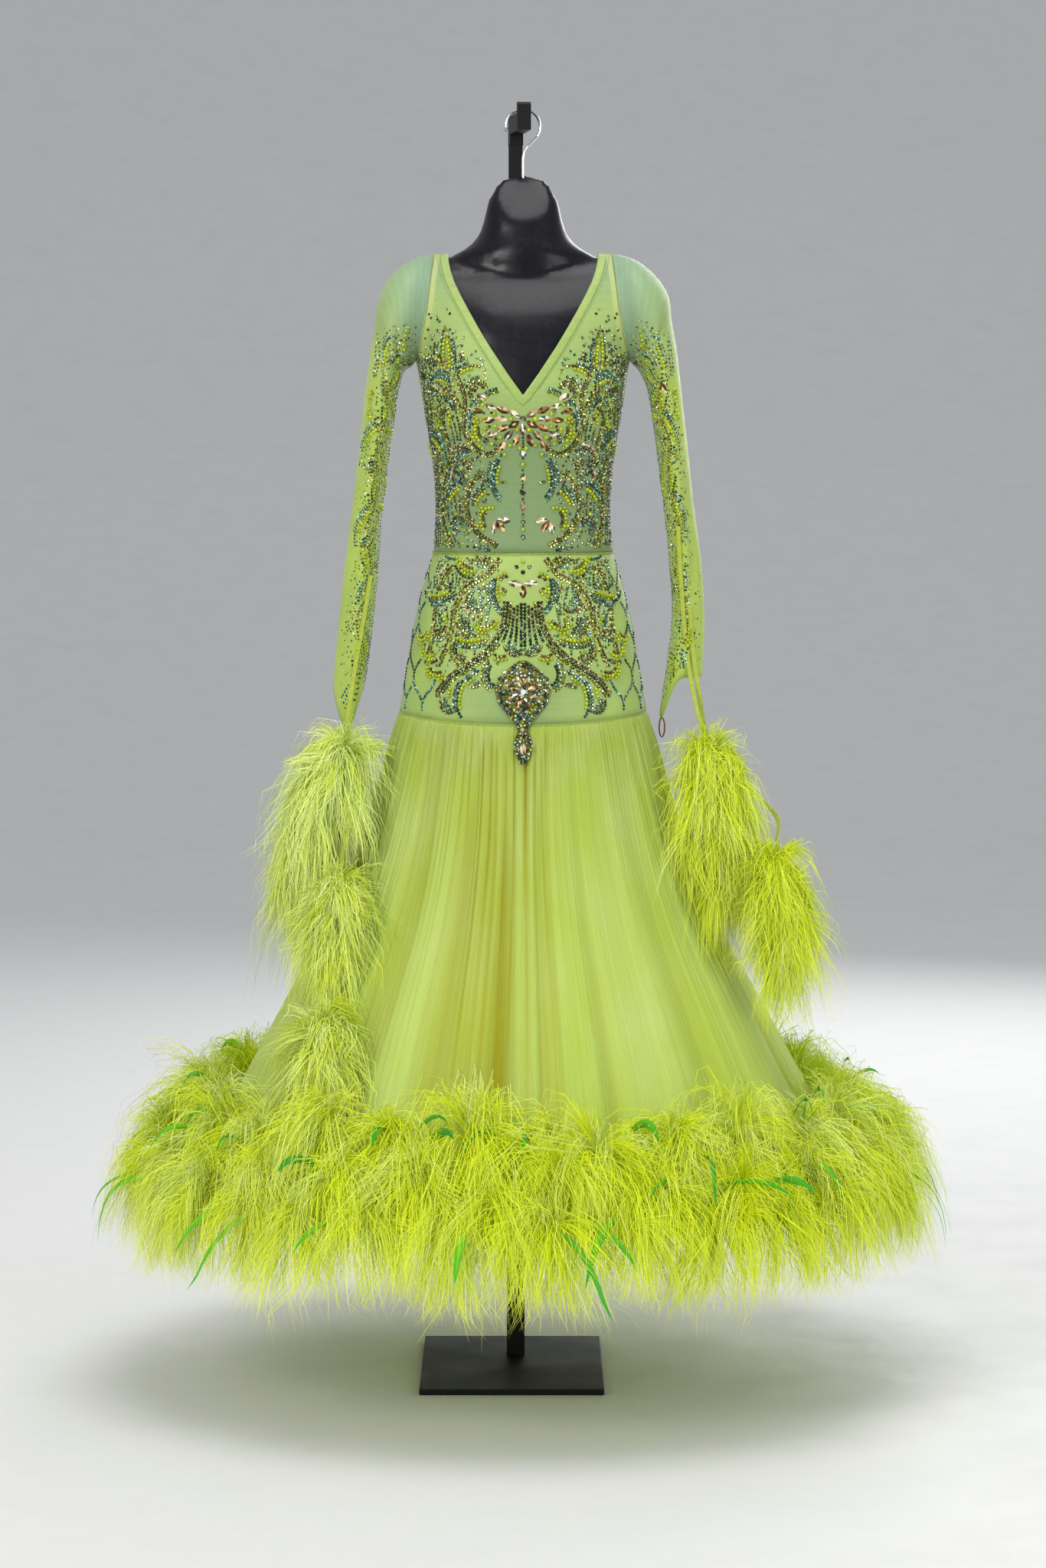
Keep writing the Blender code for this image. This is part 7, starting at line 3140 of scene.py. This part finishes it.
@dataclass
class CoqueBlades:
    """Long green cock feathers scattered through the hem, each a curved blade with a midrib."""

    hem: Hem
    count: int = 76

    def pattern(self) -> Pattern:
        """A flat blade along y, one long and one wide, its midrib raised.

        Returns:
            The blade's shape.
        """
        made, across, up = grid("blade", 2, 9)
        half = np.sin(np.clip(up * 0.94 + 0.05, 0, 1) * math.pi) ** 0.62 * (1 - 0.45 * up)
        x = (across - 0.5) * half
        z = 0.10 * np.abs(x) - 0.03 * (np.abs(across - 0.5) < 0.1)
        move_corners(made, np.stack([x, up, z], 1))
        thicken(made, 0.006)
        return Pattern.of(made)

    def build(self, material: Material) -> Object:
        """All the blades as one piece.

        Args:
            material: Its finish.

        Returns:
            The piece.
        """
        rng = np.random.default_rng(77)
        pattern = self.pattern()
        c = pattern.corners
        turn = (np.arange(self.count) + rng.uniform(-0.42, 0.42, self.count)) * 2 * math.pi / self.count
        high = rng.uniform(0, 1, self.count)
        root = np.array(
            [self.hem.centre(t, 0.26 + 0.155 * h, 0.095 - 0.035 * h) for t, h in zip(turn, high)]
        )
        rise = np.radians(-35 + 90 * high + rng.uniform(-18, 18, self.count))
        yaw = turn + rng.uniform(-1.1, 1.1, self.count)
        way = np.stack([np.sin(yaw) * np.cos(rise), -np.cos(yaw) * np.cos(rise), np.sin(rise)], 1)
        size = rng.uniform(0.064, 0.125, self.count)[:, None, None]
        width = rng.uniform(0.0055, 0.0150, self.count)[:, None, None]
        t = c[:, 1][None, :, None]
        bow = rng.uniform(0.25, 0.85, (self.count, 1, 1))
        down = np.array([0, 0, -1.0])
        path = root[:, None] + size * (way[:, None] * (t - 0.25 * t**2) + down * bow * t**2)
        tangent = unit(way[:, None] * (1 - 0.5 * t) + down * 2 * bow * t)
        side = unit(
            np.cross(tangent, np.stack([np.sin(turn), -np.cos(turn), np.zeros(self.count)], 1)[:, None])
        )
        up = np.cross(side, tangent)
        places = path + side * c[None, :, 0:1] * width + up * c[None, :, 2:3] * width
        places = self.hem.plumage.within(self.hem.plumage.keep_off(places))
        made = joined_copies("coque_blades", pattern, places, True)
        mark(made, "along", np.tile(c[:, 1], self.count))
        mark(made, "tint", np.repeat(rng.uniform(0, 1, self.count), len(c)))
        set_uv(made, np.tile(c[:, 0] * 0.01, self.count), np.tile(c[:, 1] * 0.09, self.count))
        return finished(made, material)


# ---------------------------------------------------------------- form, hook and stand
@dataclass
class DressForm:
    """The gloss form inside the gown, rounded from its faceted solid."""

    node: Object
    voxel: float = 0.009
    ridge: float = 0.0022

    def build(self, material: Material) -> Object:
        """A smooth copy with a soft collarbone ridge.

        Args:
            material: Its finish.

        Returns:
            The piece.
        """
        made = lone(linked("form_torso", self.node.data.copy()))
        remesh = made.modifiers.new("Even faces", "REMESH")
        remesh.mode = "VOXEL"
        remesh.voxel_size = self.voxel
        smooth = made.modifiers.new("Rounded", "SMOOTH")
        smooth.factor = 0.5
        smooth.iterations = 6
        for modifier in (remesh, smooth):
            bpy.ops.object.modifier_apply(modifier=modifier.name)
        places = corners_of(made)
        front = places[:, 1] < -0.004
        wide = np.abs(places[:, 0])
        bone = hill(places[:, 2] - 1.476 - 0.10 * wide, 0.0055)
        bone *= np.clip((wide - 0.016) / 0.02, 0, 1) * np.clip((0.11 - wide) / 0.03, 0, 1)
        places[:, 1] -= self.ridge * bone * front
        move_corners(made, places)
        bpy.ops.object.shade_smooth()
        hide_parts(self.node.name)
        return finished(made, material)


def dress_node(nodes: dict[str, Object], name: str, material: Material) -> None:
    """Gives a node that keeps its shape a better finish.

    Args:
        nodes: The part's nodes, by name.
        name: Which node.
        material: Its finish.
    """
    made = nodes[name]
    for slot in made.material_slots:
        slot.material = material


# ---------------------------------------------------------------- studio
@dataclass(frozen=True)
class Studio:
    """A plain pale floor, soft lights and a camera that looks slightly down on the gown."""

    camera_place: tuple[float, float, float] = (0.0, -5.3, 1.213)
    camera_tilt: float = 4.43
    lens: float = 90.46
    sensor: float = 36.0
    floor_side: float = 30.0

    def floor(self, material: Material) -> None:
        """The floor, with a gently raised far edge.

        Args:
            material: The floor's finish.
        """
        made, across, up = grid("floor", 24, 24)
        x, y = (across - 0.5) * self.floor_side, (up - 0.35) * self.floor_side
        z = np.clip(y - 6.0, 0, None) ** 2 * 0.06 - 0.0002
        move_corners(made, np.stack([x, y, z], 1))
        made.data.materials.append(material)
        lone(made)
        bpy.ops.object.shade_smooth()

    def light(
        self, name: str, place: tuple[float, ...], aim: tuple[float, ...], side: float, power: float,
        tone: tuple[float, ...],
    ) -> None:
        """One soft square light.

        Args:
            name: Its name.
            place: Where it stands.
            aim: What it points at.
            side: How long its sides are.
            power: Its power in watts.
            tone: The colour of its light.
        """
        data = bpy.data.lights.new(name, "AREA")
        data.size = side
        data.energy = power
        data.color = tone
        made = linked(name, data)
        made.location = place
        made.rotation_euler = (Vector(aim) - Vector(place)).to_track_quat("-Z", "Y").to_euler()

    def lights(self) -> None:
        """Key, fill, rim and top lights, and a pale sky."""
        middle = (0.0, 0.0, 0.95)
        self.light("key", (-2.6, -4.2, 3.0), middle, 2.2, 105.0, (1.0, 0.985, 0.96))
        self.light("fill", (3.4, -3.4, 1.8), middle, 2.6, 46.0, (0.97, 0.985, 1.0))
        self.light("top", (0.2, -0.6, 4.2), middle, 2.4, 60.0, (1.0, 1.0, 1.0))
        self.light("back", (1.4, 3.6, 2.4), middle, 2.4, 60.0, (1.0, 1.0, 1.0))
        world = bpy.data.worlds.new("sky")
        bpy.context.scene.world = world
        world.use_nodes = True
        sky = world.node_tree.nodes["Background"]
        sky.inputs["Color"].default_value = (0.93, 0.95, 1.0, 1.0)
        sky.inputs["Strength"].default_value = 0.46

    def camera(self) -> None:
        """The camera."""
        data = bpy.data.cameras.new("camera")
        data.lens = self.lens
        data.sensor_width = self.sensor
        data.sensor_fit = "AUTO"
        made = linked("camera", data)
        made.location = self.camera_place
        made.rotation_euler = (math.radians(90 - self.camera_tilt), 0.0, 0.0)
        bpy.context.scene.camera = made

    def build(self, material: Material) -> None:
        """The whole studio.

        Args:
            material: The floor's finish.
        """
        self.floor(material)
        self.lights()
        self.camera()
        bpy.context.scene.view_settings.view_transform = "Standard"


# ---------------------------------------------------------------- the whole gown
def main() -> None:
    """Builds every piece, in order."""
    logging.basicConfig(level=logging.INFO, format="%(message)s")
    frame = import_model()
    nodes = frame["nodes"]
    finishes = Finishes()
    Studio().build(finishes.floor)
    body, skirt = BodySurface(), SkirtSurface()
    sleeves = tuple(SleeveSurface(name, body) for name in SLEEVE_RINGS)
    DressForm(nodes["dress_form"]).build(finishes.form)
    for back in (False, True):
        Bodice(body).build(back, finishes.mesh)
        HipYoke(body).build(back, finishes.mesh)
        Skirt(skirt).build(back, finishes.chiffon)
    shells = {sleeve.name: Sleeve(sleeve).build(finishes.sleeve) for sleeve in sleeves}
    NeckBinding(body).build(finishes.satin)
    TwistedCord(body).build(finishes.gold)
    Seams(body, sleeves).build(finishes)
    for name, points in STRAPS.items():
        carrier = shells["sleeve_right" if name == "strap_right" else "sleeve_left"]
        Ribbon(name, points, carrier).build(finishes.ribbon)
    Stones(body, sleeves, nodes["pendant_applique"]).build(finishes.crystal)
    plumage = Plumage(skirt)
    hem = Hem(plumage)
    hem.build(finishes.ostrich, finishes.down)
    CoqueBlades(hem).build(finishes.coque)
    for name, crowns, locks, tint in (
        ("float_right_upper", 19, 25, 0.90),
        ("float_right_middle", 12, 24, 0.80),
        ("float_right_lower", 12, 24, 0.74),
        ("float_left_upper", 17, 24, 0.56),
        ("float_left_lower", 14, 24, 0.52),
    ):
        Float(name, plumage, crowns, locks, tint).build(finishes.ostrich, finishes.down)
    for name, material in (
        ("hanger_hook", finishes.chrome),
        ("stand_base", finishes.stand),
        ("stand_pole", finishes.stand),
        ("pendant_applique", finishes.setting),
        ("finger_loop_left", finishes.elastic),
    ):
        dress_node(nodes, name, material)


if __name__ == "__main__":
    main()
